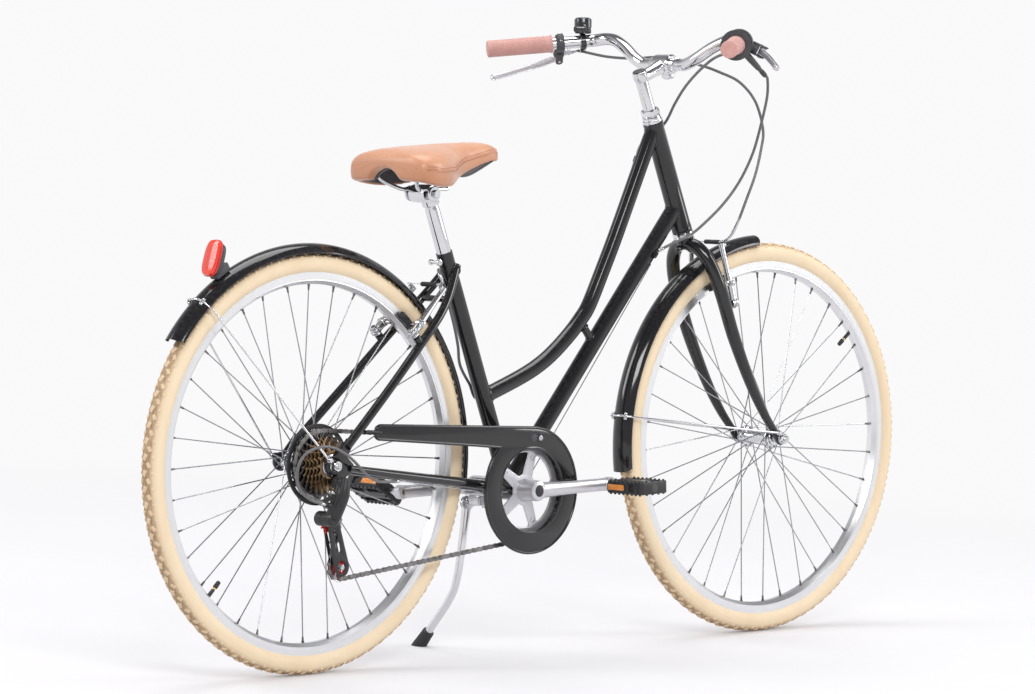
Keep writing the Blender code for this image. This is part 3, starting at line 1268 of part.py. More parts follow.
def make_jockey(name, position, parent):
    radius = pitch_radius(JOCKEY_TEETH) - CHAIN_SEAT
    centre = Vector((position.x, JOCKEY_Y, position.z))
    wheel = ring(name, centre, Y, JOCKEY_BOLT_RADIUS + GAP, radius, -0.0030, 0.0030, 20)
    finished(wheel, "red_plastic", parent)


def guard_outline():
    """The guard's side view: the round part, then the arm back to its rear end."""
    begin = math.radians(134.0)
    finish = math.radians(447.0)
    steps = 30
    turns = [begin + (finish - begin) * i / steps for i in range(steps + 1)]
    rim = [(GUARD_RADIUS * math.cos(t), GUARD_RADIUS * math.sin(t)) for t in turns]
    outline = [(BRACKET_X + x, BRACKET_Z + z) for x, z in rim]
    return outline + [
        (GUARD_REAR_X + 0.0050, 0.4115), (GUARD_REAR_X, 0.4070), (GUARD_REAR_X, 0.3890), (0.3300, 0.3690),
        (0.3640, 0.3655),
    ]


def make_chain_guard(parent):
    """A black cover round the chainring, with a tapering arm back along the chain's upper run."""
    wall = GUARD_WALL
    near = GUARD_INNER_Y
    far = GUARD_OUTER_Y
    outline = guard_outline()
    hole = circle(GUARD_HOLE_RADIUS, 32, (BRACKET_X, BRACKET_Z))
    solid = baked(plate("chain_guard", [outline, hole], near - far, side_frame((near + far) / 2.0)))
    channel = plate("channel", [inset(outline, wall)], near - far, side_frame((near + far) / 2.0 + wall))
    cover = drilled(solid, [channel])
    seat = Vector((BRACKET_X + 0.0200, 0.0, BRACKET_Z + 0.0885))
    screw = rod("screw", seat + Y * (far - 0.0012), seat + Y * (far + 0.0010), 0.0052, sides=8)
    clip_root = Vector((GUARD_REAR_X + 0.0100, far + wall / 2.0, 0.3990))
    tab = tube("clip", [clip_root, clip_root + Vector((-0.0240, 0.0, 0.0030)), GUARD_CLIP], 0.0026, 1)
    finished(united("chain_guard", [cover, screw, tab]), "black_paint", parent)


# Kickstand
def ground_height(y):
    """Height of the ground at y in the upright bike's frame, once the bike leans on its stand."""
    return y * math.tan(LEAN)


def make_kickstand(fixed, moving):
    plate_z = BRACKET_Z - 0.0070
    plate_at = Matrix.Translation((BRACKET_X - 0.054, 0.0, plate_z))
    neck_at = Matrix.Translation((BRACKET_X - 0.057, 0.0060, plate_z - 0.0110))
    clamp_at = Matrix.Translation((BRACKET_X - 0.047, 0.0, plate_z + 0.0268))
    bolt_foot = Vector((BRACKET_X - 0.047, 0.0, plate_z - 0.024))
    pieces = [
        block("kickstand_bracket", plate_at, (0.0340, 0.0640, 0.0050), 0.001),
        block("neck", neck_at, (0.0260, 0.0300, 0.0190), 0.002),
        rod("bolt", bolt_foot, bolt_foot + Vector((0.0, 0.0, 0.0530)), 0.0040, sides=8),
        block("clamp plate", clamp_at, (0.0180, 0.0560, 0.0040), 0.001),
    ]
    start = STAND_PIVOT - STAND_AXIS * 0.0230
    pieces.append(rod("pivot", start, STAND_PIVOT + STAND_AXIS * 0.0080, STAND_PIN_RADIUS, sides=8))
    pieces.append(rod("pivot boss", start, STAND_PIVOT - STAND_AXIS * (0.0070 + GAP), 0.0100, sides=12))
    finished(united("kickstand_bracket", pieces), "bright_alloy", fixed)
    foot = Vector((STAND_FOOT_X, STAND_FOOT_Y, ground_height(STAND_FOOT_Y)))
    shin = (foot - STAND_KNEE).normalized()
    leg_end = foot - shin * 0.0120
    points = rounded_corner(STAND_PIVOT, STAND_KNEE, leg_end, 0.045, 5)
    radii = [0.0085] + [STAND_LEG_RADIUS] * (len(points) - 1)
    leg = tube("kickstand_leg", points, STAND_LEG_RADIUS, 3, radii)
    eye = rod("eye", STAND_PIVOT - STAND_AXIS * 0.0070, STAND_PIVOT + STAND_AXIS * 0.0070, 0.0105, sides=12)
    leg = united("kickstand_leg", [eye, leg])
    through = STAND_AXIS * 0.02
    bore = rod("bore", STAND_PIVOT - through, STAND_PIVOT + through, STAND_PIN_RADIUS + GAP, sides=16)
    finished(drilled(leg, [bore]), "bright_alloy", moving)
    shoe = rod("kickstand_foot", foot - shin * 0.0360, foot + shin * 0.0180, 0.0100, 0.0125, sides=12)
    up = Vector((0.0, -math.sin(LEAN), math.cos(LEAN)))
    ground = block("ground", framed(foot - up * 0.05, Vector((1, 0, 0)), up), (0.2, 0.2, 0.1))
    socket = rod("socket", foot - shin * 0.05, leg_end + shin * GAP, STAND_LEG_RADIUS + GAP, sides=12)
    finished(drilled(baked(shoe), [ground, socket]), "foot_rubber", moving)


# Saddle
def make_seatpost(parent):
    bottom = SEAT_TOP - UP_SEAT * POST_INSERTED
    shoulder = SEAT_TOP + UP_SEAT * POST_EXPOSED
    post = rod("seatpost", bottom, shoulder, POST_RADIUS, sides=16)
    neck = rod("neck", shoulder - UP_SEAT * 0.001, shoulder + UP_SEAT * POST_NECK, 0.0109, sides=16)
    finished(united("seatpost", [post, neck]), "chrome", parent)


def make_saddle_clamp(parent):
    """The clamp on the post's neck: a drum under the rails, a cross bolt and two rail washers."""
    foot = SEAT_TOP + UP_SEAT * (POST_EXPOSED + GAP)
    pieces = [
        rod("saddle_clamp", foot, foot + UP_SEAT * 0.0140, 0.0150, sides=16),
        cross_rod("drum", RAIL_BOLT, RAIL_Y - RAIL_RADIUS - GAP, 0.0155, sides=16),
        cross_rod("bolt", RAIL_BOLT, 0.0360, 0.0035, sides=8),
    ]
    for _, side in SIDES:
        start = RAIL_BOLT + Y * side * (RAIL_Y + RAIL_RADIUS + GAP)
        pieces.append(rod("washer", start, start + Y * side * 0.0050, 0.0130, sides=16))
        nut = start + Y * side * 0.0040
        pieces.append(rod("nut", nut, nut + Y * side * 0.0060, 0.0065, sides=6))
    clamp = united("saddle_clamp", pieces)
    socket = rod("socket", foot - UP_SEAT * 0.01, foot + UP_SEAT * POST_NECK, 0.0109 + GAP, sides=16)
    finished(drilled(clamp, [socket]), "chrome", parent)


def make_rails(parent):
    """One wire bent into both saddle rails, joined under the nose."""
    half = [
        RAIL_SOCKET, Vector((RAIL_SOCKET.x + 0.0030, RAIL_SOCKET.y - 0.0040, RAIL_SOCKET.z - 0.0170)),
        Vector((RAIL_BOLT.x - 0.0300, RAIL_Y, RAIL_Z)), Vector((RAIL_BOLT.x - 0.0100, RAIL_Y, RAIL_Z)),
        Vector((RAIL_BOLT.x + 0.0250, RAIL_Y, RAIL_Z)),
        Vector((RAIL_BOLT.x + 0.0400, RAIL_Y - 0.002, RAIL_Z + 0.003)),
        Vector((SADDLE_NOSE - 0.108, 0.0130, RAIL_NOSE_Z - 0.004)),
        Vector((SADDLE_NOSE - 0.080, 0.0080, RAIL_NOSE_Z)),
    ]
    left = smooth_path(half, 2)
    path = left + [Vector((SADDLE_NOSE - 0.073, 0.0, RAIL_NOSE_Z))] + [mirrored(p) for p in reversed(left)]
    finished(tube("saddle_rails", path, RAIL_RADIUS, 1), "chrome", parent)


def saddle_half_width(share):
    """Half width of the seat at a share of its length from the tail."""
    tail = math.sqrt(max(0.0, 1.0 - (1.0 - min(share / 0.10, 1.0)) ** 2))
    nose = math.sqrt(max(0.0, 1.0 - (max(share - 0.90, 0.0) / 0.10) ** 2))
    blend = 1.0 / (1.0 + math.exp((share - 0.43) * 15.0))
    width = SADDLE_NOSE_HALF + (SADDLE_HALF_WIDTH - SADDLE_NOSE_HALF) * blend
    return width * (0.55 + 0.45 * tail) * (0.40 + 0.60 * nose)


def between(knots, share):
    """A value read off a line through (share, value) knots."""
    for (s1, v1), (s2, v2) in zip(knots, knots[1:]):
        if share <= s2:
            return v1 + (v2 - v1) * (share - s1) / (s2 - s1)
    return knots[-1][1]


def saddle_levels(share):
    """Half width, crown height and lower edge height of the seat at a share of its length."""
    crown = between(SADDLE_CROWN, share)
    return saddle_half_width(share), crown, crown - between(SADDLE_SKIRT, share)


def base_section(share, grow, floor_drop):
    """The base's section: a shallow shell that fills the cushion's underside, grown by a clearance."""
    half, crown, edge = saddle_levels(share)
    top = crown - 0.0150 + grow
    side_top = crown - (crown - edge) * 0.55
    wide = half * 0.78 + grow
    low = edge - floor_drop - 0.0110 * max(0.0, share - 0.50)
    return [(half * 0.52 + grow, top - 0.0010), (wide, side_top + grow), (wide, low)]


def loft(name, rows, split=True):
    """A closed solid through sections along the bike, each mirrored from its left half."""
    data = bmesh.new()
    grid = []
    for x, half in rows:
        around = half + [(-y, z) for y, z in reversed(half) if y > 0.0]
        grid.append([data.verts.new((x, y, z)) for y, z in around])
    count = len(grid[0])
    for a, b in zip(grid, grid[1:]):
        for i in range(count):
            j = (i + 1) % count
            if split:
                data.faces.new((a[i], a[j], b[j]))
                data.faces.new((a[i], b[j], b[i]))
            else:
                data.faces.new((a[i], a[j], b[j], b[i]))
    data.faces.new(grid[0])
    data.faces.new(list(reversed(grid[-1])))
    bmesh.ops.recalc_face_normals(data, faces=data.faces)
    return from_bmesh(name, data, Matrix.Identity(4))


def saddle_x(share):
    return SADDLE_REAR + (SADDLE_NOSE - SADDLE_REAR) * share


def base_rows(grow, floor_drop):
    shares = (0.085, 0.16, 0.26, 0.36, 0.46, 0.60, 0.78, 0.94)
    rows = []
    for i, share in enumerate(shares):
        x = saddle_x(share)
        if i == 0:
            x -= grow
        if i == len(shares) - 1:
            x += grow
        rows.append((x, base_section(share, grow, floor_drop)))
    return rows


def tail_arch():
    """Cutter for the arch between the two lobes at the seat's tail."""
    low = Vector((SADDLE_REAR - 0.01, 0.0, ARCH_Z))
    return rod("tail arch", low, low + Vector((0.0560, 0.0, 0.0)), ARCH_RADIUS, ARCH_RADIUS * 0.8, sides=16)


def make_cushion(parent):
    """The padded top: high in the middle, rolling over full sides to a drawn-in lower edge."""
    shares = (0.0, 0.05, 0.14, 0.26, 0.40, 0.54, 0.70, 0.88, 1.0)
    rows = []
    for share in shares:
        half, crown, edge = saddle_levels(share)
        tall = crown - edge
        rows.append((saddle_x(share), [
            (half * 0.40, crown), (half * 0.80, crown - tall * 0.12), (half, crown - tall * 0.45),
            (half * 0.98, crown - tall * 0.80), (half * 0.86, edge), (half * 0.40, edge + 0.0010),
        ]))
    cushion = loft("saddle_cushion", rows, split=False)
    soft = cushion.modifiers.new("soft", "SUBSURF")
    soft.levels = 1
    soft.render_levels = 1
    pocket = loft("pocket", base_rows(2.0 * GAP, 0.060))
    finished(drilled(baked(cushion), [pocket, tail_arch()]), "tan_leather", parent)


def make_saddle_base(parent):
    """The moulded base that carries the cushion, hollow below, with the sockets of the rails."""
    shell = loft("saddle_base", base_rows(0.0, 0.0030))
    hollow = loft("hollow", base_rows(-0.0040, 0.060))
    pieces = [drilled(baked(shell), [hollow, tail_arch()])]
    for _, side in SIDES:
        seat = sided(RAIL_SOCKET, side)
        mouth = seat + Vector((0.0, 0.0, GAP + 0.0004))
        pieces.append(rod("socket", mouth, Vector((seat.x, seat.y, BASE_Z)), 0.0070, sides=8))
    finished(united("saddle_base", pieces), "grey_plastic", parent)


# Cables
def make_cables(frame, steering):
    """Every housing and bare wire, along the route that the bike holds it on."""
    front = barrel_exit(1.0, LEFT_BRAKE_SEAT, LEFT_BRAKE_DROP) + [Vector(p) for p in FRONT_BRAKE_ROUTE]
    finished(tube("front_brake_cable", smooth_path(front, 1), HOUSING_RADIUS, 2), "cable_grey", steering)
    crossing = barrel_exit(-1.0, RIGHT_BRAKE_SEAT, RIGHT_BRAKE_DROP)
    crossing += [Vector(p) for p in REAR_BRAKE_FRONT_ROUTE]
    crossing.append(TOP_STOP + UP_TOP * (0.0050 + GAP))
    housing = tube("rear_brake_cable_front", smooth_path(crossing, 1), HOUSING_RADIUS, 2)
    finished(housing, "cable_grey", steering)
    tail = [Vector(p) for p in REAR_BRAKE_REAR_ROUTE]
    under = [p for p in top_tube_offset()]
    housing = tube("rear_brake_cable_rear", smooth_path(under + tail, 1), HOUSING_RADIUS, 2)
    finished(housing, "cable_grey", frame)
    shift = [Vector(p) for p in SHIFT_FRONT_ROUTE]
    finished(tube("shift_cable_front", smooth_path(shift, 1), HOUSING_RADIUS, 2), "cable_grey", steering)
    rear = [Vector(p) for p in SHIFT_REAR_ROUTE]
    path = smooth_path(rear[:SHIFT_BARE_POINTS], 1) + smooth_path(rear[SHIFT_BARE_POINTS:], 1)
    bare = SHIFT_BARE_POINTS
    radii = [WIRE_RADIUS] * bare + [HOUSING_RADIUS] * (len(path) - bare)
    finished(tube("shift_cable_rear", path, HOUSING_RADIUS, 2, radii), "cable_grey", frame)


def barrel_exit(side, seat, drop):
    """The first points of a brake cable, straight out of its lever's adjusting barrel."""
    inward = bar_inward(side)
    tip = on_bar(seat, side) + bar_outward_normal(side, drop) * BARREL_OFFSET + inward * BARREL_LENGTH
    return [tip + inward * GAP, tip + inward * 0.0120]


def top_tube_offset():
    """Points beside the top tube on its left, just under its middle."""
    path = top_tube_path()
    aside = TOP_TUBE_RADIUS + HOUSING_RADIUS + GAP + 0.0006
    points = [TOP_STOP - UP_TOP * (0.0050 + GAP)]
    for i in range(2, len(path) - 1):
        along = (path[i + 1] - path[i - 1]).normalized()
        below = along.cross(Y)
        below = below if below.z < 0 else -below
        points.append(path[i] + Y * aside * math.cos(0.35) + below * aside * math.sin(0.35))
    return points


def main():
    make_materials()
    bike = empty("bike", Vector((0.0, 0.0, 0.0)))
    steering = empty("joint_steering", HEAD_TOP, UP_STEER, bike)
    rear_wheel = empty("joint_rear_wheel", REAR_AXLE, Y, bike)
    freewheel = empty("joint_freewheel", REAR_AXLE, Y, bike)
    front_wheel = empty("joint_front_wheel", FRONT_AXLE, Y, steering)
    crank = empty("joint_crank", BRACKET, Y, bike)
    make_frame(bike)
    make_headset(bike)
    make_seat_collar(bike)
    make_chain_guard(bike)
    make_rear_wheel(rear_wheel)
    make_freewheel(freewheel)
    make_axle("rear_axle", REAR_AXLE, REAR_DROPOUT_Y, REAR_DROPOUT_Y - DROPOUT_THICKNESS / 2.0 - 0.0110,
              FREEWHEEL_END, bike)
    make_fender("rear_fender", REAR_FENDER_CENTRE, math.radians(-8.5), math.radians(144.0), 26, bike)
    half_plate = DROPOUT_THICKNESS / 2.0
    rear_foot = Vector((-0.0130, REAR_DROPOUT_Y + half_plate + 0.0025, TYRE_RADIUS + 0.0100))
    make_fender_stay("rear_fender_stay", REAR_FENDER_CENTRE, math.radians(131.0), rear_foot, bike)
    make_reflector(bike)
    make_fork(steering)
    make_front_wheel(front_wheel)
    make_axle("front_axle", FRONT_AXLE, FRONT_DROPOUT_Y, FRONT_HUB_HALF, FRONT_HUB_HALF, steering)
    make_fender("front_fender", FRONT_AXLE, math.radians(93.5), math.radians(187.5), 16, steering)
    front_foot = Vector((WHEELBASE - 0.0140, FRONT_DROPOUT_Y + half_plate + 0.0065, TYRE_RADIUS + 0.0110))
    make_fender_stay("front_fender_stay", FRONT_AXLE, math.radians(171.8), front_foot, steering)
    make_stem(steering)
    make_handlebar(steering)
    make_grip("grip_left", 1.0, GRIP_LEFT_LENGTH, steering)
    make_grip("grip_right", -1.0, GRIP_RIGHT_LENGTH, steering)
    twist = empty("joint_twist", on_bar(GRIP_RIGHT_LENGTH, -1.0), bar_inward(-1.0), steering)
    make_twist_shifter(steering, twist)
    for name, side, seat, drop in (("left", 1.0, LEFT_BRAKE_SEAT, LEFT_BRAKE_DROP),
                                   ("right", -1.0, RIGHT_BRAKE_SEAT, RIGHT_BRAKE_DROP)):
        out = bar_outward_normal(side, drop)
        hinge = bar_inward(side).cross(out)
        lever = empty("joint_brake_lever_" + name, on_bar(seat, side) + out * LEVER_PIVOT, hinge, steering)
        make_brake_lever(name, side, seat, drop, steering, lever)
    bell = empty("joint_bell_lever", bell_hinge(), Vector((0.0, 0.0, 1.0)), steering)
    make_bell(steering, bell)
    for name, side in SIDES:
        front_base = FRONT_BOSS + FRONT_BOSS_AXIS * ARM_SEAT
        pivot = empty("joint_front_brake_" + name, sided(front_base, side), FRONT_BOSS_AXIS, steering)
        make_brake_arm("front_brake_arm_" + name, front_base, FRONT_BOSS_AXIS, FRONT_ARM_UP, FRONT_AXLE,
                       ARM_TOP_Y, pivot, side)
        rear_base = REAR_BOSS + REAR_BOSS_AXIS * ARM_SEAT
        pivot = empty("joint_rear_brake_" + name, sided(rear_base, side), REAR_BOSS_AXIS, bike)
        make_brake_arm("rear_brake_arm_" + name, rear_base, REAR_BOSS_AXIS, REAR_ARM_UP, REAR_AXLE,
                       ARM_TOP_Y, pivot, side)
    make_crankset(crank)
    forward = Vector((math.cos(CRANK_ANGLE), 0.0, math.sin(CRANK_ANGLE)))
    for name, side, tilt in (("left", 1.0, -32.0), ("right", -1.0, 2.0)):
        centre = BRACKET - forward * CRANK_LENGTH * side + Y * side * PEDAL_Y
        pedal = empty("joint_pedal_" + name, centre, Y, crank)
        make_pedal("pedal_" + name, side, math.radians(tilt), pedal)
    make_chain(bike)
    make_derailleur(bike)
    for name, position in (("upper", UPPER_JOCKEY), ("lower", LOWER_JOCKEY)):
        spin = empty("joint_jockey_" + name, Vector((position.x, JOCKEY_Y, position.z)), Y, bike)
        make_jockey("jockey_wheel_" + name, position, spin)
    stand = empty("joint_kickstand", STAND_PIVOT, STAND_AXIS, bike)
    make_kickstand(bike, stand)
    seat = empty("joint_seatpost", SEAT_TOP, UP_SEAT, bike)
    make_seatpost(seat)
    make_saddle_clamp(seat)
    make_rails(seat)
    make_saddle_base(seat)
    make_cushion(seat)
    make_cables(bike, steering)
    stand_on_ground(bike)


def stand_on_ground(bike):
    """Leans the bike onto its stand and sets the middle of its bounding box's base on the origin."""
    bike.rotation_euler = (-LEAN, 0.0, 0.0)
    bpy.context.view_layer.update()
    graph = bpy.context.evaluated_depsgraph_get()
    low = Vector((1e9, 1e9, 1e9))
    high = -low
    for obj in PARTS.objects:
        if obj.type == "EMPTY":
            continue
        shape = obj.evaluated_get(graph)
        mesh = shape.to_mesh()
        for vertex in mesh.vertices:
            point = shape.matrix_world @ vertex.co
            low = Vector(map(min, low, point))
            high = Vector(map(max, high, point))
        shape.to_mesh_clear()
    bike.location = (-(low.x + high.x) / 2.0, -(low.y + high.y) / 2.0, -low.z)
    bpy.context.view_layer.update()
    size = high - low
    print("overall size %.4f x %.4f x %.4f m" % tuple(size))


clear_scene()
PARTS = new_collection("city_bike")
WORKBENCH = new_collection("cutters")
main()
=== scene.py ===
"""Looks of a step-through city bike on its kickstand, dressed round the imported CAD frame.

Every piece is modelled with the bike upright, in the bike's own frame: the rear axle stands
above the origin, +X is ahead, +Y is the left side and +Z is up. A finished piece is then leaned
onto the stand by STAND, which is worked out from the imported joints, so that it stands where its
CAD node does.
"""
import json
import logging
import math
from contextlib import contextmanager
from dataclasses import dataclass, field
from enum import Enum
from typing import Dict, Iterator, List, Optional, Sequence, Tuple

import bmesh
import bpy
from mathutils import Matrix, Vector


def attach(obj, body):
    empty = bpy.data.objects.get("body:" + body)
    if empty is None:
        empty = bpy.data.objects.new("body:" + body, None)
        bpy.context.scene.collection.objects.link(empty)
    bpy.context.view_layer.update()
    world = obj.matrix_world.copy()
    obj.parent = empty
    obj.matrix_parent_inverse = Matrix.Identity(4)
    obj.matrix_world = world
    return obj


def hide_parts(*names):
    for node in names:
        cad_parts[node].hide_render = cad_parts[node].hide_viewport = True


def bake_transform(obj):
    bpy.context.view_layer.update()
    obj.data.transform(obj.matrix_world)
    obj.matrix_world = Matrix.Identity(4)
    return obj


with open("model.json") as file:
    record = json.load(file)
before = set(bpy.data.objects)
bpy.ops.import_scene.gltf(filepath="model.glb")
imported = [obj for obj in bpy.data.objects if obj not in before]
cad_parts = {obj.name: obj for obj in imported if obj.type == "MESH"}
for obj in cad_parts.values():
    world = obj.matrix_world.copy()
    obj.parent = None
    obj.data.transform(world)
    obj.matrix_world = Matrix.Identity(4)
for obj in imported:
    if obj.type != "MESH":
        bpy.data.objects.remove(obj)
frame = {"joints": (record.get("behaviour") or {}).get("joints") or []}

Pair = Tuple[float, float]
Triple = Tuple[float, float, float]
Path = List[Vector]
Object = bpy.types.Object
Socket = bpy.types.NodeSocket

LOG = logging.getLogger("city_bike")
X = Vector((1.0, 0.0, 0.0))
Y = Vector((0.0, 1.0, 0.0))
Z = Vector((0.0, 0.0, 1.0))

# Sizes of the CAD part that several classes share, in metres
GAP = 0.0003
LEAN = math.radians(3.5)
TYRE_RADIUS = 0.349
RIM_RADIUS = 0.317
RIM_HALF_WIDTH = 0.0122
RIM_DEPTH = 0.0205
REAR_AXLE = Vector((0.0, 0.0, TYRE_RADIUS))
FRONT_AXLE = Vector((1.089, 0.0, TYRE_RADIUS))
REAR_DROPOUT_Y = 0.0647
FRONT_DROPOUT_Y = 0.0525
DROPOUT_THICKNESS = 0.005
AXLE_RADIUS = 0.005
HEAD_ANGLE = math.radians(68.0)
UP_STEER = Vector((-math.cos(HEAD_ANGLE), 0.0, math.sin(HEAD_ANGLE)))
FORE_STEER = Vector((math.sin(HEAD_ANGLE), 0.0, math.cos(HEAD_ANGLE)))
HEAD_TOP = Vector((0.807, 0.0, 0.913))
HEAD_BOTTOM = HEAD_TOP - UP_STEER * 0.207
SEAT_ANGLE = math.radians(69.0)
UP_SEAT = Vector((-math.cos(SEAT_ANGLE), 0.0, math.sin(SEAT_ANGLE)))
FORE_SEAT = Vector((math.sin(SEAT_ANGLE), 0.0, math.cos(SEAT_ANGLE)))
BRACKET = Vector((0.457, 0.0, 0.287))
DOWN_TUBE_TOP = HEAD_TOP - UP_STEER * 0.1595
SEAT_FOOT = BRACKET + X * 0.0055
SEAT_TOP = SEAT_FOOT + UP_SEAT * 0.435
REAR_BOSS = Vector((0.2115, 0.0465, 0.543))
REAR_BOSS_WAY = Vector((-0.678, 0.0, 0.735)).normalized()
FRONT_BOSS = Vector((0.9395, 0.05, 0.59))
FRONT_BOSS_WAY = Vector((0.985, 0.0, 0.174)).normalized()
REAR_STOP = Vector((0.7823, 0.0168, 0.848))
REAR_STOP_WAY = Vector((0.431, 0.0, 0.9023))
FENDER_RADIUS = 0.3635
REAR_FENDER_CENTRE = REAR_AXLE + Vector((-0.0045, 0.0, 0.0005))
CLAMP = HEAD_TOP + UP_STEER * 0.083 + FORE_STEER * 0.0646
BAR_RADIUS = 0.0111
BAR_TIP = Vector((0.687, 0.296, 1.039))
BAR_INWARD = Vector((0.8, -0.59, 0.09)).normalized()
CHAIN_PITCH = 0.0127
SPROCKET_TEETH = (28, 24, 22, 20, 18, 16, 14)
SPROCKET_PITCH = 0.0045
LARGE_SPROCKET_Y = -0.0335
RING_TEETH = 42
RING_Y = -0.045
CRANK_ANGLE = math.radians(1.3)
CRANK_FORWARD = Vector((math.cos(CRANK_ANGLE), 0.0, math.sin(CRANK_ANGLE)))
CRANK_LENGTH = 0.17
UPPER_JOCKEY = Vector((0.022, 0.0, 0.254))
LOWER_JOCKEY = Vector((0.042, 0.0, 0.178))
JOCKEY_Y = LARGE_SPROCKET_Y - 0.0008


class Side(Enum):
    """The side of the bike that a piece is on, as the sign of its y."""

    LEFT = 1.0
    RIGHT = -1.0


def stand_pose() -> Matrix:
    """The pose that the upright bike has on its stand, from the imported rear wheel's joint."""
    turn = Matrix.Rotation(-LEAN, 4, "X")
    axle = next(Vector(j["pos_m"]) for j in frame["joints"] if j["name"] == "rear_wheel_spin")
    return Matrix.Translation(axle - turn @ REAR_AXLE) @ turn


STAND = stand_pose()


# Places and outlines
def aimed(position: Vector, axis: Vector) -> Matrix:
    """A frame at position whose Z axis points along axis."""
    return Matrix.Translation(position) @ axis.to_track_quat("Z", "Y").to_matrix().to_4x4()


def framed(position: Vector, x_axis: Vector, z_axis: Vector) -> Matrix:
    """A frame at position with its Z axis along z_axis and its X axis as near x_axis as it can be.

    Args:
        position: The frame's origin.
        x_axis: The wished direction of X, squared up to Z here.
        z_axis: The direction of Z.

    Returns:
        The frame as a matrix.
    """
    z = z_axis.normalized()
    x = (x_axis - z * x_axis.dot(z)).normalized()
    return Matrix.Translation(position) @ Matrix((x, z.cross(x), z)).transposed().to_4x4()


def side_frame(y: float) -> Matrix:
    """A frame whose X is the bike's X and whose Y is the bike's Z, at a distance y to the side."""
    return wheel_frame(Y * y)


def wheel_frame(centre: Vector) -> Matrix:
    """A frame at a wheel's centre whose XY plane is the wheel's, seen from the bike's right."""
    return framed(centre, X, -Y)


def sided(point: Vector, side: float) -> Vector:
    """The point on the left as it is, or mirrored onto the right."""
    return Vector((point.x, point.y * side, point.z))


def in_plane(turn: float) -> Vector:
    """The direction in the wheels' plane at an angle up from straight ahead."""
    return Vector((math.cos(turn), 0.0, math.sin(turn)))


def polar(radius: float, turn: float) -> Pair:
    """A point at a radius and an angle."""
    return radius * math.cos(turn), radius * math.sin(turn)


def circle(radius: float, count: int, centre: Pair = (0.0, 0.0)) -> List[Pair]:
    """A round outline of count corners."""
    return [(centre[0] + x, centre[1] + y)
            for x, y in (polar(radius, math.tau * i / count) for i in range(count))]


def smooth_path(points: Sequence[Vector], per_span: int) -> Path:
    """Points along a Catmull-Rom curve through the given ones.

    Args:
        points: The points that the curve passes through.
        per_span: How many points are made between two given ones.

    Returns:
        The curve's points, from the first given one to the last.
    """
    knots = [2 * points[0] - points[1]] + list(points) + [2 * points[-1] - points[-2]]
    path: Path = []
    for a, b, c, d in zip(knots, knots[1:], knots[2:], knots[3:]):
        for step in range(per_span):
            t = step / per_span
            path.append(0.5 * (2 * b + (c - a) * t + (2 * a - 5 * b + 4 * c - d) * t**2
                               + (3 * b - a - 3 * c + d) * t**3))
    return path + [points[-1].copy()]


def smooth_values(values: Sequence[float], per_span: int) -> List[float]:
    """Radii that go with smooth_path's points, eased between the given ones."""
    eased = []
    for a, b in zip(values, values[1:]):
        eased += [a + (b - a) * i / per_span for i in range(per_span)]
    return eased + [values[-1]]


def pitch_radius(teeth: int) -> float:
    """The radius on which a sprocket's chain pins lie."""
    return CHAIN_PITCH / (2.0 * math.sin(math.pi / teeth))


def tongue(first: Pair, first_radius: float, second: Pair, second_radius: float,
           steps: int = 10) -> List[Pair]:
    """The outline round two circles and the straight edges that join them."""
    span = math.hypot(second[0] - first[0], second[1] - first[1])
    heading = math.atan2(second[1] - first[1], second[0] - first[0])
    lean = math.asin((first_radius - second_radius) / span)
    outline = []
    for centre, radius, start, end in (
        (second, second_radius, heading - math.pi / 2.0 + lean, heading + math.pi / 2.0 - lean),
        (first, first_radius, heading + math.pi / 2.0 - lean, heading + 1.5 * math.pi + lean),
    ):
        for i in range(steps + 1):
            x, y = polar(radius, start + (end - start) * i / steps)
            outline.append((centre[0] + x, centre[1] + y))
    return outline


def toothed(teeth: int, outer: float, root: float) -> List[Pair]:
    """A sprocket's outline, with a rounded tooth tip between each pair of valleys."""
    outline = []
    for i in range(teeth):
        for share, radius in ((0.0, root), (0.16, root + 0.0004), (0.34, (outer + root) / 2.0),
                              (0.43, outer), (0.57, outer), (0.66, (outer + root) / 2.0),
                              (0.84, root + 0.0004)):
            outline.append(polar(radius, math.tau * (i + share) / teeth))
    return outline


# Modelling, as by hand with Blender's own operators
def deselect() -> None:
    """Leaves object mode on with nothing selected."""
    if bpy.context.object and bpy.context.object.mode != "OBJECT":
        bpy.ops.object.mode_set(mode="OBJECT")
    bpy.ops.object.select_all(action="DESELECT")


def take(*objs: Object) -> Object:
    """Selects these objects alone and makes the first one active."""
    deselect()
    for obj in objs:
        obj.select_set(True)
    bpy.context.view_layer.objects.active = objs[0]
    return objs[0]


@contextmanager
def editing(obj: Object, mode: str = "FACE") -> Iterator[bmesh.types.BMesh]:
    """Opens an object's mesh in edit mode with nothing selected, and closes it afterwards."""
    take(obj)
    bpy.ops.object.mode_set(mode="EDIT")
    bpy.ops.mesh.select_mode(type=mode)
    bpy.ops.mesh.select_all(action="DESELECT")
    yield bmesh.from_edit_mesh(obj.data)
    bpy.ops.object.mode_set(mode="OBJECT")


def cleaned(obj: Object) -> Object:
    """Merges an object's doubled points and turns its faces outwards."""
    with editing(obj, "VERT"):
        bpy.ops.mesh.select_all(action="SELECT")
        bpy.ops.mesh.remove_doubles(threshold=0.000002)
        bpy.ops.mesh.normals_make_consistent(inside=False)
    return obj


def placed(obj: Object, place: Matrix) -> Object:
    """Moves an object's mesh by place and leaves the object at the origin."""
    obj.data.transform(place @ obj.matrix_world)
    obj.matrix_world = Matrix.Identity(4)
    return obj


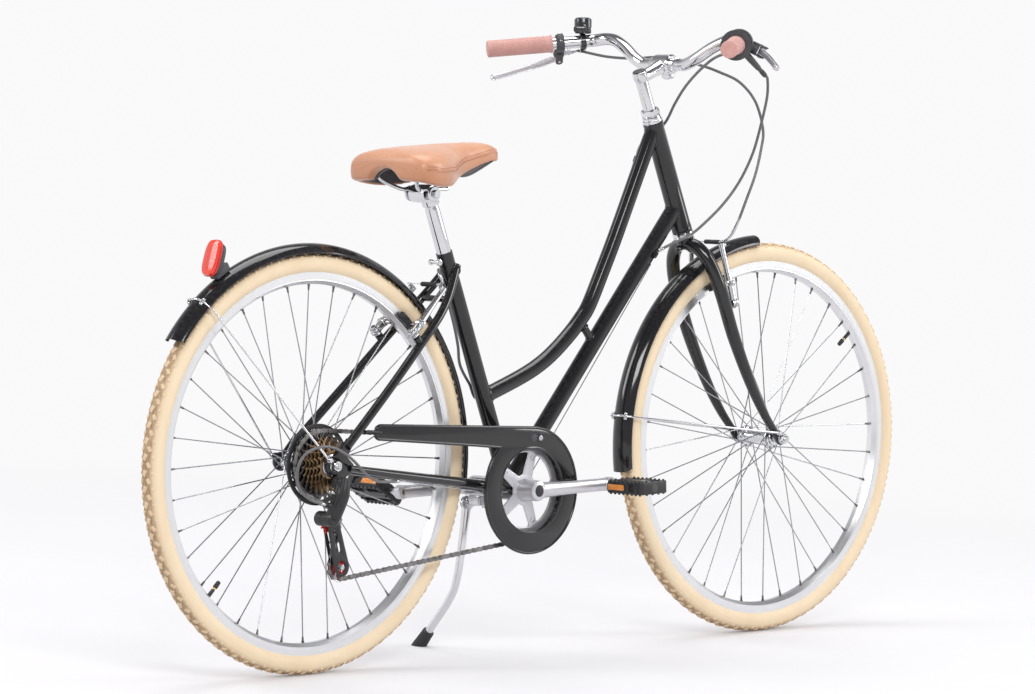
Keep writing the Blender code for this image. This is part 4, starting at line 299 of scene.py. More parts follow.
def outline_mesh(name: str, points: Sequence[Triple], closed: bool) -> Object:
    """A line of edges, extruded point by point from one vertex.

    Args:
        name: The new object's name.
        points: The line's corners.
        closed: Whether the line returns to its first corner.

    Returns:
        The object, at the origin.
    """
    deselect()
    bpy.ops.mesh.primitive_plane_add(size=0.001, location=points[0])
    obj = bpy.context.object
    obj.name = name
    corners = list(points) + ([points[0]] if closed else [])
    bpy.ops.object.transform_apply(location=True, rotation=True, scale=True)
    with editing(obj, "VERT"):
        bpy.ops.mesh.select_all(action="SELECT")
        bpy.ops.mesh.merge(type="CENTER")
        for before, after in zip(corners, corners[1:]):
            step = tuple(b - a for a, b in zip(before, after))
            bpy.ops.mesh.extrude_region_move(TRANSFORM_OT_translate={"value": step})
        bpy.ops.mesh.select_all(action="SELECT")
        bpy.ops.mesh.remove_doubles(threshold=0.0000005)
    return obj


def turned(name: str, profile: Sequence[Pair], place: Matrix, steps: int = 48, closed: bool = True,
           angle: float = math.tau) -> Object:
    """Spins (radius, height) points about the frame's Z axis.

    Args:
        name: The new object's name.
        profile: The points of the section.
        place: The frame that the piece is turned in.
        steps: The number of sides round.
        closed: Whether the section is a closed loop.
        angle: How far it turns.

    Returns:
        The turned piece.
    """
    obj = outline_mesh(name, [(radius, 0.0, height) for radius, height in profile], closed)
    with editing(obj, "VERT"):
        bpy.ops.mesh.select_all(action="SELECT")
        bpy.ops.mesh.spin(steps=steps, angle=angle, center=(0.0, 0.0, 0.0), axis=(0.0, 0.0, 1.0))
    return placed(cleaned(obj), place)


def ring(name: str, position: Vector, axis: Vector, inner: float, outer: float, low: float,
         high: float, steps: int = 32, round_off: float = 0.0006) -> Object:
    """A turned sleeve from low to high along axis, its outer corners taken off."""
    r = min(round_off, (high - low) / 3.0, (outer - inner) / 2.0)
    profile = [(outer - r, high), (outer, high - r), (outer, low + r), (outer - r, low),
               (inner, low), (inner, high)]
    return turned(name, profile, aimed(position, axis), steps)


def pin(name: str, start: Vector, end: Vector, radius: float,
        end_radius: Optional[float] = None, sides: int = 24, round_off: float = 0.0005) -> Object:
    """A rod or cone between two points, its two ends bevelled as by hand.

    Args:
        name: The new object's name.
        start: The middle of its first end.
        end: The middle of its last end.
        radius: Its radius at the start.
        end_radius: Its radius at the end, where it tapers.
        sides: The number of sides round.
        round_off: The width of the bevel at both ends.

    Returns:
        The rod.
    """
    deselect()
    top = radius if end_radius is None else end_radius
    bpy.ops.mesh.primitive_cone_add(vertices=sides, radius1=radius, radius2=top,
                                    depth=(end - start).length)
    obj = bpy.context.object
    obj.name = name
    if round_off:
        with editing(obj, "EDGE") as mesh:
            for face in mesh.faces:
                if len(face.verts) > 4 or sides <= 4:
                    for edge in face.edges:
                        edge.select = abs(face.normal.z) > 0.9
            bpy.ops.mesh.bevel(offset=min(round_off, 0.45 * min(radius, top)), segments=2,
                               affect="EDGES")
    return placed(obj, aimed((start + end) / 2.0, end - start))


def cross_pin(name: str, centre: Vector, half_width: float, radius: float,
              sides: int = 24) -> Object:
    """A rod across the bike, evenly to both sides of centre."""
    return pin(name, centre - Y * half_width, centre + Y * half_width, radius, sides=sides)


def slab(name: str, place: Matrix, size: Triple, round_off: float = 0.001,
         taper: float = 1.0) -> Object:
    """A block centred on a frame, with rounded edges and a top that may be narrower."""
    deselect()
    bpy.ops.mesh.primitive_cube_add(size=1.0)
    obj = bpy.context.object
    obj.name = name
    obj.data.transform(Matrix.Diagonal((*size, 1.0)))
    with editing(obj) as mesh:
        for face in mesh.faces:
            face.select = face.normal.z > 0.9
        bpy.ops.transform.resize(value=(taper, taper, 1.0))
        bpy.ops.mesh.select_all(action="SELECT")
        bpy.ops.mesh.bevel(offset=round_off, segments=3, affect="EDGES")
    return placed(obj, place)


def meshed(name: str, curve: bpy.types.Curve) -> Object:
    """Turns a curve into a clean mesh object."""
    obj = bpy.data.objects.new(name, curve)
    bpy.context.scene.collection.objects.link(obj)
    take(obj)
    bpy.ops.object.convert(target="MESH")
    return cleaned(obj)


def pipe(name: str, paths: Sequence[Sequence[Vector]], radius: float,
         radii: Optional[Sequence[float]] = None, sides: int = 16) -> Object:
    """Round tubes along paths, swept as one curve and made a mesh.

    Args:
        name: The new object's name.
        paths: The centre lines.
        radius: The tubes' radius.
        radii: A radius for each point of a path, where it changes.
        sides: The number of sides round.

    Returns:
        The tubes as one mesh.
    """
    curve = bpy.data.curves.new(name, "CURVE")
    curve.dimensions = "3D"
    curve.bevel_depth = radius
    curve.bevel_resolution = sides // 2 - 2
    curve.use_fill_caps = True
    for path in paths:
        spline = curve.splines.new("POLY")
        spline.points.add(len(path) - 1)
        for i, point in enumerate(path):
            spline.points[i].co = (*point, 1.0)
            spline.points[i].radius = radii[i] / radius if radii else 1.0
    return meshed(name, curve)


def plate(name: str, loops: Sequence[Sequence[Pair]], thickness: float, place: Matrix,
          round_off: float = 0.0) -> Object:
    """A flat outline with any holes, in the frame's XY plane, thickened along its Z axis.

    Args:
        name: The new object's name.
        loops: The outline and then the holes.
        thickness: The finished plate's thickness.
        place: The frame that it lies in.
        round_off: How far its edges are rounded.

    Returns:
        The plate as a mesh.
    """
    curve = bpy.data.curves.new(name, "CURVE")
    curve.dimensions = "2D"
    curve.fill_mode = "BOTH"
    curve.extrude = thickness / 2.0 - round_off
    curve.bevel_depth = round_off
    curve.bevel_resolution = 1
    curve.offset = -round_off
    for loop in loops:
        spline = curve.splines.new("POLY")
        spline.points.add(len(loop) - 1)
        for point, (x, y) in zip(spline.points, loop):
            point.co = (x, y, 0.0, 1.0)
        spline.use_cyclic_u = True
    return placed(meshed(name, curve), place)


def copies(name: str, model: Object, places: Sequence[Matrix]) -> Object:
    """Copies a model to each place, each with its own mesh, and joins the copies."""
    made = []
    for place in places:
        twin = model.copy()
        twin.data = model.data.copy()
        twin.data.transform(place)
        bpy.context.scene.collection.objects.link(twin)
        made.append(twin)
    bpy.data.objects.remove(model, do_unlink=True)
    return joined(name, made)


def joined(name: str, objs: Sequence[Object]) -> Object:
    """Joins objects into the first of them, which keeps their materials."""
    take(*objs)
    if len(objs) > 1:
        bpy.ops.object.join()
    objs[0].name = name
    return objs[0]


def changed(obj: Object, kind: str, **values: object) -> Object:
    """Adds a modifier with these values and applies it."""
    take(obj)
    modifier = obj.modifiers.new(kind.lower(), kind)
    for name, value in values.items():
        setattr(modifier, name, value)
    bpy.ops.object.modifier_apply(modifier=modifier.name)
    return obj


def cut(obj: Object, cutters: Sequence[Object]) -> Object:
    """Takes the cutters out of an object and deletes them."""
    for tool in cutters:
        changed(obj, "BOOLEAN", operation="DIFFERENCE", solver="EXACT", object=tool)
        bpy.data.objects.remove(tool, do_unlink=True)
    return obj


def hexagon(name: str, start: Vector, end: Vector, radius: float, bore: float = 0.0) -> Object:
    """A hexagon nut or bolt head with turned-off corners, between two points."""
    nut = pin(name, start, end, radius, sides=6, round_off=0.0)
    middle = aimed((start + end) / 2.0, end - start)
    half = (end - start).length / 2.0
    lens = [(radius * 0.9, half), (radius * 1.01, half - radius * 0.09), (radius * 1.01, -half),
            (0.0, -half), (0.0, half)]
    corners = turned("corners", lens, middle, 32)
    changed(nut, "BOOLEAN", operation="INTERSECT", solver="EXACT", object=corners)
    bpy.data.objects.remove(corners, do_unlink=True)
    if bore:
        nut = cut(nut,
                  [pin("bore", start - (end - start), end + (end - start), bore,
                       sides=20, round_off=0.0)])
    return nut


def screw_thread(name: str, start: Vector, end: Vector, radius: float,
                 pitch: float = 0.001) -> Object:
    """A turned rod with rings that read as its thread."""
    length = (end - start).length
    count = int(length / pitch)
    profile: List[Pair] = [(0.0, 0.0)]
    for i in range(count):
        profile += [(radius * 0.9, i * pitch), (radius, (i + 0.5) * pitch)]
    profile += [(radius * 0.85, length), (0.0, length)]
    return turned(name, profile, aimed(start, end - start), 16, closed=False)


# Finishes
class Net:
    """A node tree while it is wired up."""

    def __init__(self, tree: bpy.types.NodeTree) -> None:
        """Keeps the tree that new nodes go into."""
        self.tree = tree

    def node(self, kind: str, values: Optional[Dict[object, object]] = None,
             **settings: object) -> bpy.types.Node:
        """Adds a node.

        Args:
            kind: The node's type.
            values: A value, or a socket to link, for each input.
            settings: The node's own properties.

        Returns:
            The new node.
        """
        made = self.tree.nodes.new(kind)
        for name, value in settings.items():
            setattr(made, name, value)
        return self.fill(made, values or {})

    def fill(self, node: bpy.types.Node, values: Dict[object, object]) -> bpy.types.Node:
        """Sets or links a node's inputs."""
        for socket, value in values.items():
            if isinstance(value, Socket):
                self.tree.links.new(value, node.inputs[socket])
            else:
                node.inputs[socket].default_value = value
        return node

    def math(self, operation: str, *values: object) -> Socket:
        """The result of a Math node on sockets or numbers."""
        return self.node("ShaderNodeMath", dict(enumerate(values)), operation=operation).outputs[0]

    def noise(self, vector: object, scale: object, detail: float = 4.0) -> Socket:
        """A noise value between 0 and 1."""
        inputs = {"Vector": vector, "Scale": scale, "Detail": detail}
        return self.node("ShaderNodeTexNoise", inputs).outputs["Fac"]

    def ramp(self, value: object, low: float, high: float, to_low: object = 0.0,
             to_high: object = 1.0) -> Socket:
        """A value moved from one range to another, and kept inside it."""
        return self.node("ShaderNodeMapRange",
                         {0: value, 1: low, 2: high, 3: to_low, 4: to_high}).outputs[0]

    def mix(self, share: object, first: object, second: object) -> Socket:
        """A colour between two colours."""
        ends = [c if isinstance(c, Socket) else (*c, 1.0) for c in (first, second)]
        inputs = {0: share, 6: ends[0], 7: ends[1]}
        return self.node("ShaderNodeMix", inputs, data_type="RGBA").outputs[2]


class Effect:
    """A shader node group that several finishes use, built once."""

    made: Dict[str, bpy.types.NodeTree] = {}

    @classmethod
    def tree(cls, name: str, inputs: Sequence[Tuple[str, float]],
             outputs: Sequence[str]) -> Optional[Net]:
        """Starts a group's tree.

        Args:
            name: The group's name.
            inputs: The name and usual value of each number it takes, besides Vector.
            outputs: The names of the values that it gives.

        Returns:
            A net to wire, or None where the group is there already.
        """
        if name in cls.made:
            return None
        tree = bpy.data.node_groups.new(name, "ShaderNodeTree")
        tree.interface.new_socket(name="Vector", in_out="INPUT", socket_type="NodeSocketVector")
        for label, value in inputs:
            socket = tree.interface.new_socket(name=label, in_out="INPUT",
                                               socket_type="NodeSocketFloat")
            socket.default_value = value
        for label in outputs:
            tree.interface.new_socket(name=label, in_out="OUTPUT", socket_type="NodeSocketFloat")
        cls.made[name] = tree
        return Net(tree)

    @classmethod
    def unevenness(cls) -> bpy.types.NodeTree:
        """Soft patches: Level runs from Low to High, and Patch from 0 to 1."""
        net = cls.tree("uneven finish", (("Scale", 20.0), ("Low", 0.2), ("High", 0.3)),
                       ("Level", "Patch"))
        if net:
            given = net.node("NodeGroupInput").outputs
            coarse = net.noise(given["Vector"], given["Scale"], 3.0)
            fine = net.noise(given["Vector"], net.math("MULTIPLY", given["Scale"], 6.3), 5.0)
            both = net.math("ADD", net.math("MULTIPLY", coarse, 0.7),
                            net.math("MULTIPLY", fine, 0.3))
            patch = net.ramp(both, 0.32, 0.68)
            level = net.ramp(patch, 0.0, 1.0, given["Low"], given["High"])
            net.node("NodeGroupOutput", {"Level": level, "Patch": patch})
        return cls.made["uneven finish"]

    @classmethod
    def grain(cls) -> bpy.types.NodeTree:
        """Cells and fine noise for moulded grain, leather and cast skins."""
        net = cls.tree("fine grain", (("Scale", 900.0), ("Cells", 0.5)), ("Height",))
        if net:
            given = net.node("NodeGroupInput").outputs
            cells = net.node("ShaderNodeTexVoronoi", {"Vector": given["Vector"],
                                                      "Scale": given["Scale"]}).outputs["Distance"]
            fine = net.noise(given["Vector"], net.math("MULTIPLY", given["Scale"], 0.6), 3.0)
            height = net.node("ShaderNodeMix", {0: given["Cells"], 2: fine, 3: cells}).outputs[0]
            net.node("NodeGroupOutput", {"Height": height})
        return cls.made["fine grain"]

    @classmethod
    def dust(cls) -> bpy.types.NodeTree:
        """A thin film of dust on what faces upwards."""
        net = cls.tree("settled dust", (("Amount", 0.1),), ("Mask",))
        if net:
            given = net.node("NodeGroupInput").outputs
            normal = net.node("ShaderNodeNewGeometry").outputs["Normal"]
            upward = net.node("ShaderNodeSeparateXYZ", {0: normal}).outputs["Z"]
            facing = net.ramp(upward, 0.35, 1.0)
            speckle = net.ramp(net.noise(given["Vector"], 160.0, 6.0), 0.42, 0.72)
            mask = net.math("MULTIPLY", net.math("MULTIPLY", facing, speckle), given["Amount"])
            net.node("NodeGroupOutput", {"Mask": mask})
        return cls.made["settled dust"]

    @classmethod
    def drawn_lines(cls) -> bpy.types.NodeTree:
        """Fine parallel lines of drawn, turned or brushed metal, along the vector's Z."""
        net = cls.tree("drawn lines", (("Scale", 700.0), ("Length", 0.02)), ("Height", "Line"))
        if net:
            given = net.node("NodeGroupInput").outputs
            squeezed = net.node("ShaderNodeCombineXYZ",
                                {0: 1.0, 1: 1.0, 2: given["Length"]}).outputs[0]
            vector = net.node("ShaderNodeVectorMath", {0: given["Vector"], 1: squeezed},
                              operation="MULTIPLY").outputs[0]
            lines = net.noise(vector, given["Scale"], 2.0)
            net.node("NodeGroupOutput", {"Height": lines, "Line": net.ramp(lines, 0.35, 0.65)})
        return cls.made["drawn lines"]


DUST_COLOUR = (0.42, 0.4, 0.38)
COAT_ROUGHNESS = 0.04


class Lay(Enum):
    """Which way the fine lines of a metal run."""

    NONE = 0
    LENGTHWISE = 1
    ROUND = 2


@dataclass(frozen=True)
class Finish:
    """A surface: two near colours in soft patches, with grain, gloss and dust of its own."""

    name: str
    slot: str
    colour: Triple
    second: Triple
    rough: Pair = (0.3, 0.4)
    metallic: float = 0.0
    coat: float = 0.0
    patches: float = 18.0
    grain: float = 900.0
    cells: float = 0.3
    bump: float = 0.04
    depth: float = 0.0003
    dust: float = 0.0
    lay: Lay = Lay.NONE
    lay_centre: Triple = (0.0, 0.0, 0.0)
    sheen: float = 0.0

    def vector(self, net: Net) -> Socket:
        """Object coordinates, turned so that Z lies along the metal's lines."""
        place = net.node("ShaderNodeTexCoord").outputs["Object"]
        if self.lay is not Lay.ROUND:
            return place
        centred = net.node("ShaderNodeMapping", {"Vector": place, "Location": self.lay_centre,
                                                 "Rotation": (LEAN, 0.0, 0.0)}).outputs[0]
        split = net.node("ShaderNodeSeparateXYZ", {0: centred})
        squares = [net.math("MULTIPLY", split.outputs[i], split.outputs[i]) for i in (0, 2)]
        radius = net.math("SQRT", net.math("ADD", *squares))
        return net.node("ShaderNodeCombineXYZ",
                        {0: radius, 1: split.outputs[1], 2: split.outputs[0]}).outputs[0]

    def height(self, net: Net, vector: Socket) -> Socket:
        """The relief that goes into the bump."""
        values = {"Vector": vector, "Scale": self.grain}
        effect = Effect.drawn_lines
        if self.lay is Lay.NONE:
            values["Cells"] = self.cells
            effect = Effect.grain
        return net.node("ShaderNodeGroup", values, node_tree=effect()).outputs["Height"]

    def base_colour(self, net: Net, vector: Socket,
                    patch: Socket) -> Socket:
        """The colour over the surface, with its dust."""
        colour = net.mix(patch, self.colour, self.second)
        if self.dust:
            values = {"Vector": vector, "Amount": self.dust}
            dust = net.node("ShaderNodeGroup", values, node_tree=Effect.dust())
            colour = net.mix(dust.outputs["Mask"], colour, DUST_COLOUR)
        return colour

    def material(self) -> bpy.types.Material:
        """The finish as a material, made once."""
        ready = bpy.data.materials.get(self.name)
        if ready:
            return ready
        made = bpy.data.materials.new(self.name)
        made.use_nodes = True
        net = Net(made.node_tree)
        shader = made.node_tree.nodes["Principled BSDF"]
        vector = self.vector(net)
        values = {"Vector": vector, "Scale": self.patches, "Low": self.rough[0],
                  "High": self.rough[1]}
        uneven = net.node("ShaderNodeGroup", values, node_tree=Effect.unevenness()).outputs
        relief = {"Strength": self.bump, "Distance": self.depth,
                  "Height": self.height(net, vector)}
        net.fill(shader, {
            "Roughness": uneven["Level"],
            "Base Color": self.base_colour(net, vector, uneven["Patch"]),
            "Normal": net.node("ShaderNodeBump", relief).outputs["Normal"],
            "Metallic": self.metallic,
            "Coat Weight": self.coat,
            "Coat Roughness": COAT_ROUGHNESS,
            "Sheen Weight": self.sheen,
        })
        made.diffuse_color = (*self.colour, 1.0)
        return made


@dataclass(frozen=True)
class TyreRubber(Finish):
    """Cream tyre rubber, a little darker and browner where the tread meets the road."""

    tread_from: float = 0.3415
    tube: float = 0.3296
    groove_height: float = 0.0186
    tan: Triple = (0.72, 0.53, 0.33)
    grimy: Triple = (0.6, 0.42, 0.25)
    # painted shade, mixed with dirt, for the grooves between the tread blocks
    groove_shade_and_dirt: Triple = (0.2, 0.115, 0.06)

    def base_colour(self, net: Net, vector: Socket,
                    patch: Socket) -> Socket:
        """The sidewall's cream, which turns to the tread's tan further from the axle, with painted shade
        and dirt darkening the grooves between the tread blocks.
        """
        side = net.mix(patch, self.colour, self.second)
        radius = net.node("ShaderNodeSeparateXYZ", {0: vector}).outputs[0]
        worn = net.ramp(radius, self.tread_from - 0.004, self.tread_from + 0.005)
        grime = net.ramp(net.noise(vector, 240.0, 5.0), 0.35, 0.75)
        tread = net.mix(grime, self.tan, self.grimy)
        offset = self.from_tube(net, vector)
        height = net.node("ShaderNodeVectorMath", {0: offset}, operation="LENGTH").outputs["Value"]
        # Painted shade in the grooves between the tread blocks, broken up by the grime noise as dirt.
        low, high = self.groove_height - 0.0004, self.groove_height + 0.0004
        groove = net.math("MULTIPLY", net.ramp(height, low, high, 1.0, 0.0),
                          net.ramp(radius, self.tread_from, self.tread_from + 0.004))
        rubber = net.mix(net.math("MULTIPLY", worn, 0.8), side, tread)
        groove_shade_and_dirt_mask = net.math("MULTIPLY", groove, net.ramp(grime, 0.0, 1.0, 0.45, 0.85))
        return net.mix(groove_shade_and_dirt_mask, rubber, self.groove_shade_and_dirt)

    def from_tube(self, net: Net, vector: Socket) -> Socket:
        """The place on the tyre's section, from the middle of its tube."""
        parts = net.node("ShaderNodeSeparateXYZ", {0: vector})
        return net.node("ShaderNodeCombineXYZ",
                        {0: net.math("SUBTRACT", parts.outputs[0], self.tube), 1: 0.0,
                         2: parts.outputs[1]}).outputs[0]


@dataclass(frozen=True)
class Leather(Finish):
    """A padded cover of smooth tan leather, browner in its pores, with painted shade that darkens it low on
    its sides.
    """

    # low, high and edge paint shade on the lower sides: edge's colour is mixed in below low and fades out
    # by high
    low: float = 0.82
    high: float = 0.87
    pore: Triple = (0.28, 0.085, 0.03)
    edge: Triple = (0.3, 0.095, 0.035)

    def base_colour(self, net: Net, vector: Socket,
                    patch: Socket) -> Socket:
        """Tan, with browner pores, and painted shade that darkens its lower sides."""
        top = net.mix(patch, self.colour, self.second)
        pores = net.node("ShaderNodeTexVoronoi",
                         {"Vector": vector, "Scale": self.grain}).outputs["Distance"]
        pored = net.mix(net.ramp(pores, 0.0, 0.28, 0.35, 0.0), top, self.pore)
        level = net.node("ShaderNodeSeparateXYZ", {0: vector}).outputs[2]
        # Painted shade, darker towards the bottom of the pad.
        return net.mix(net.ramp(level, self.low, self.high, 0.4, 0.0), pored, self.edge)


@dataclass(frozen=True)
class Lens(Finish):
    """A moulded reflector lens with rows of small prisms behind a glossy face."""

    prism: float = 260.0

    def height(self, net: Net, vector: Socket) -> Socket:
        """Rows of ridges up the lens, crossed by finer ones."""
        values = {"Vector": vector, "Scale": self.prism, "Distortion": 0.0}
        rows, cross = (net.node("ShaderNodeTexWave", values, bands_direction=way,
                                wave_profile="TRI").outputs["Fac"] for way in "ZY")
        return net.math("ADD", rows, net.math("MULTIPLY", cross, 0.6))


def wheel_lay(centre: Vector) -> Triple:
    """The Mapping location that puts a wheel's axle at the origin, with the lean turned back."""
    return tuple(STAND.inverted().translation - centre)


PAINT = Finish("gloss_black_lacquer", "black_paint", (0.0085, 0.0085, 0.0095),
               (0.012, 0.012, 0.0135), (0.07, 0.13), coat=0.25, patches=9.0, grain=420.0,
               cells=0.1, bump=0.012, dust=0.1)
BLACK_PLASTIC = Finish("satin_black_plastic", "black_plastic", (0.014, 0.014, 0.015),
                       (0.024, 0.024, 0.026), (0.34, 0.5), grain=1500.0, cells=0.7, bump=0.12,
                       dust=0.16)
GREY_PLASTIC = Finish("dark_grey_plastic", "grey_plastic", (0.04, 0.041, 0.045),
                      (0.06, 0.061, 0.066), (0.4, 0.54), grain=1700.0, cells=0.7, bump=0.14,
                      dust=0.12)
SADDLE_BASE = Finish("saddle_base_grey", "grey_plastic", (0.115, 0.108, 0.112),
                     (0.085, 0.08, 0.084), (0.42, 0.56), grain=1500.0, cells=0.6, bump=0.14,
                     dust=0.1)
CHROME = Finish("mirror_chrome", "chrome", (0.76, 0.76, 0.775), (0.68, 0.68, 0.7),
                (0.03, 0.09), metallic=1.0, patches=30.0, grain=600.0, bump=0.008)
POLISHED = Finish("polished_alloy", "bright_alloy", (0.8, 0.81, 0.83), (0.7, 0.71, 0.73),
                  (0.16, 0.27), metallic=1.0, patches=40.0, grain=1400.0, bump=0.05,
                  lay=Lay.LENGTHWISE)
CAST_ALLOY = Finish("cast_alloy", "bright_alloy", (0.72, 0.73, 0.75), (0.6, 0.61, 0.64),
                    (0.28, 0.42), metallic=1.0, patches=60.0, grain=1600.0, cells=0.4, bump=0.1)
STEEL = Finish("plated_steel", "bright_alloy", (0.66, 0.67, 0.69), (0.52, 0.53, 0.55),
               (0.18, 0.32), metallic=1.0, patches=70.0, grain=900.0, bump=0.05)
SPOKE_WIRE = Finish("spoke_wire", "spoke_steel", (0.44, 0.45, 0.47), (0.34, 0.35, 0.37),
                    (0.2, 0.32), metallic=1.0, patches=50.0, bump=0.02)
DARK_NIPPLE = Finish("blackened_nipple", "spoke_steel", (0.2, 0.185, 0.18), (0.12, 0.11, 0.108),
                     (0.3, 0.42), metallic=1.0, patches=90.0)
SATIN_ALLOY = Finish("satin_silver_alloy", "bright_alloy", (0.66, 0.655, 0.68),
                     (0.6, 0.595, 0.62), (0.3, 0.42), metallic=0.72, patches=36.0,
                     grain=1400.0, bump=0.05)
COG_STEEL = Finish("blackened_cog_steel", "sprocket_bronze", (0.15, 0.142, 0.138),
                   (0.075, 0.07, 0.066), (0.24, 0.42), metallic=1.0, patches=60.0,
                   grain=1300.0, bump=0.08)
BRONZE = Finish("brown_oxide_steel", "sprocket_bronze", (0.34, 0.235, 0.135),
                (0.16, 0.105, 0.065), (0.26, 0.44), metallic=1.0, patches=55.0, grain=1300.0,
                bump=0.08)
CHAIN_STEEL = Finish("oiled_chain_steel", "chain_steel", (0.34, 0.325, 0.32),
                     (0.15, 0.142, 0.14), (0.24, 0.46), metallic=1.0, patches=85.0,
                     grain=1500.0, bump=0.1)
RED_PLASTIC = Finish("moulded_red_plastic", "red_plastic", (0.66, 0.022, 0.016),
                     (0.52, 0.016, 0.012), (0.3, 0.42), grain=1300.0, bump=0.06)
RED_LENS = Lens("red_reflector_lens", "red_plastic", (0.86, 0.05, 0.018), (0.7, 0.03, 0.012),
                (0.1, 0.2), coat=1.0, bump=0.08, depth=0.0003)
AMBER_LENS = Lens("amber_reflector_lens", "black_plastic", (0.86, 0.3, 0.02), (0.7, 0.2, 0.012),
                  (0.12, 0.22), coat=1.0, bump=0.35, depth=0.0006, prism=420.0)
GRIP_RUBBER = Finish("pinkish_brown_rubber", "pink_brown_rubber", (0.6, 0.32, 0.28),
                     (0.52, 0.268, 0.235), (0.48, 0.62), grain=1500.0, cells=0.6, bump=0.16,
                     dust=0.1, sheen=0.15)
CABLE = Finish("grey_cable_sleeve", "cable_grey", (0.15, 0.147, 0.151), (0.11, 0.108, 0.112),
               (0.28, 0.4), grain=1500.0, bump=0.05)
SMOKED = Finish("smoked_chrome", "dark_chrome", (0.06, 0.061, 0.066), (0.04, 0.041, 0.045),
                (0.1, 0.2), metallic=0.6, coat=0.4, grain=1200.0, bump=0.03)
FOOT_RUBBER = Finish("black_foot_rubber", "foot_rubber", (0.022, 0.022, 0.023),
                     (0.036, 0.035, 0.034), (0.6, 0.8), grain=1200.0, cells=0.6, bump=0.2,
                     dust=0.25)
PAD_RUBBER = Finish("brake_pad_rubber", "bright_alloy", (0.02, 0.02, 0.021),
                    (0.034, 0.033, 0.033), (0.55, 0.75), grain=1300.0, cells=0.6, bump=0.18)
BRASS = Finish("brass", "black_plastic", (0.78, 0.5, 0.16), (0.62, 0.38, 0.12),
               (0.18, 0.3), metallic=1.0, bump=0.02)
THREAD = Finish("tan_thread", "tan_leather", (0.52, 0.22, 0.105), (0.45, 0.18, 0.085),
                (0.6, 0.75), grain=2500.0, bump=0.2)
LEATHER = Leather("smooth_tan_leather", "tan_leather", (0.66, 0.33, 0.19), (0.59, 0.275, 0.15),
                  (0.32, 0.44), patches=22.0, grain=850.0, cells=0.75, bump=0.16,
                  depth=0.0004, coat=0.12, sheen=0.18)
AXLES = {"rear": REAR_AXLE, "front": FRONT_AXLE}
TYRES = {
    name: TyreRubber(name + "_cream_rubber", "cream_tyre", (0.83, 0.68, 0.475), (0.78, 0.62, 0.42),
                     (0.62, 0.78), grain=1000.0, cells=0.5, bump=0.1, dust=0.05,
                     lay=Lay.ROUND, lay_centre=wheel_lay(axle))
    for name, axle in AXLES.items()
}
RIMS = {
    name: Finish(name + "_rim_alloy", "rim_alloy", (0.84, 0.845, 0.855), (0.78, 0.785, 0.8),
                 (0.26, 0.36), metallic=1.0, patches=14.0, grain=1500.0, bump=0.1,
                 lay=Lay.ROUND, lay_centre=wheel_lay(axle))
    for name, axle in AXLES.items()
}


def dressed(obj: Object, finish: Finish) -> Object:
    """Gives an object one finish."""
    obj.data.materials.clear()
    obj.data.materials.append(finish.material())
    return obj


def fitted(name: str, objs: Sequence[Object], body: Optional[str],
           nodes: Sequence[str] = (), smooth: float = 34.0) -> Object:
    """Joins dressed objects into one finished piece and hangs it on its CAD body.

    Args:
        name: The piece's name.
        objs: What it is made of, in the upright bike's frame.
        body: The CAD body that it moves with, or None where it runs between two and is hung on none.
        nodes: The CAD nodes that it stands for.
        smooth: The angle in degrees under which its faces are shaded as one surface.

    Returns:
        The piece.
    """
    piece = joined(name, list(objs))
    piece.data.name = name
    placed(piece, STAND)
    take(piece)
    bpy.ops.object.shade_smooth_by_angle(angle=math.radians(smooth))
    if body:
        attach(piece, body)
    if nodes:
        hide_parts(*nodes)
    LOG.info("%s rides on %s with %d faces", name, body, len(piece.data.polygons))
    return piece


def clad(node: str, objs: Sequence[Object], body: Optional[str],
         smooth: float = 34.0) -> Object:
    """Fits a finished piece, named after the one CAD node that it stands for."""
    return fitted(node + "_dressed", objs, body, [node], smooth)


# Each row of the tread: its turn round the section, and a block's size, twist and shift along
TREAD = (
    (0.0, (0.0086, 0.0125, 0.0026), 0.42, 0.0),
    (0.44, (0.007, 0.0105, 0.0024), -0.5, 0.5),
    (-0.44, (0.007, 0.0105, 0.0024), 0.5, 0.5),
    (0.8, (0.0052, 0.006, 0.0021), 0.0, 0.0),
    (-0.8, (0.0052, 0.006, 0.0021), 0.0, 0.0),
)


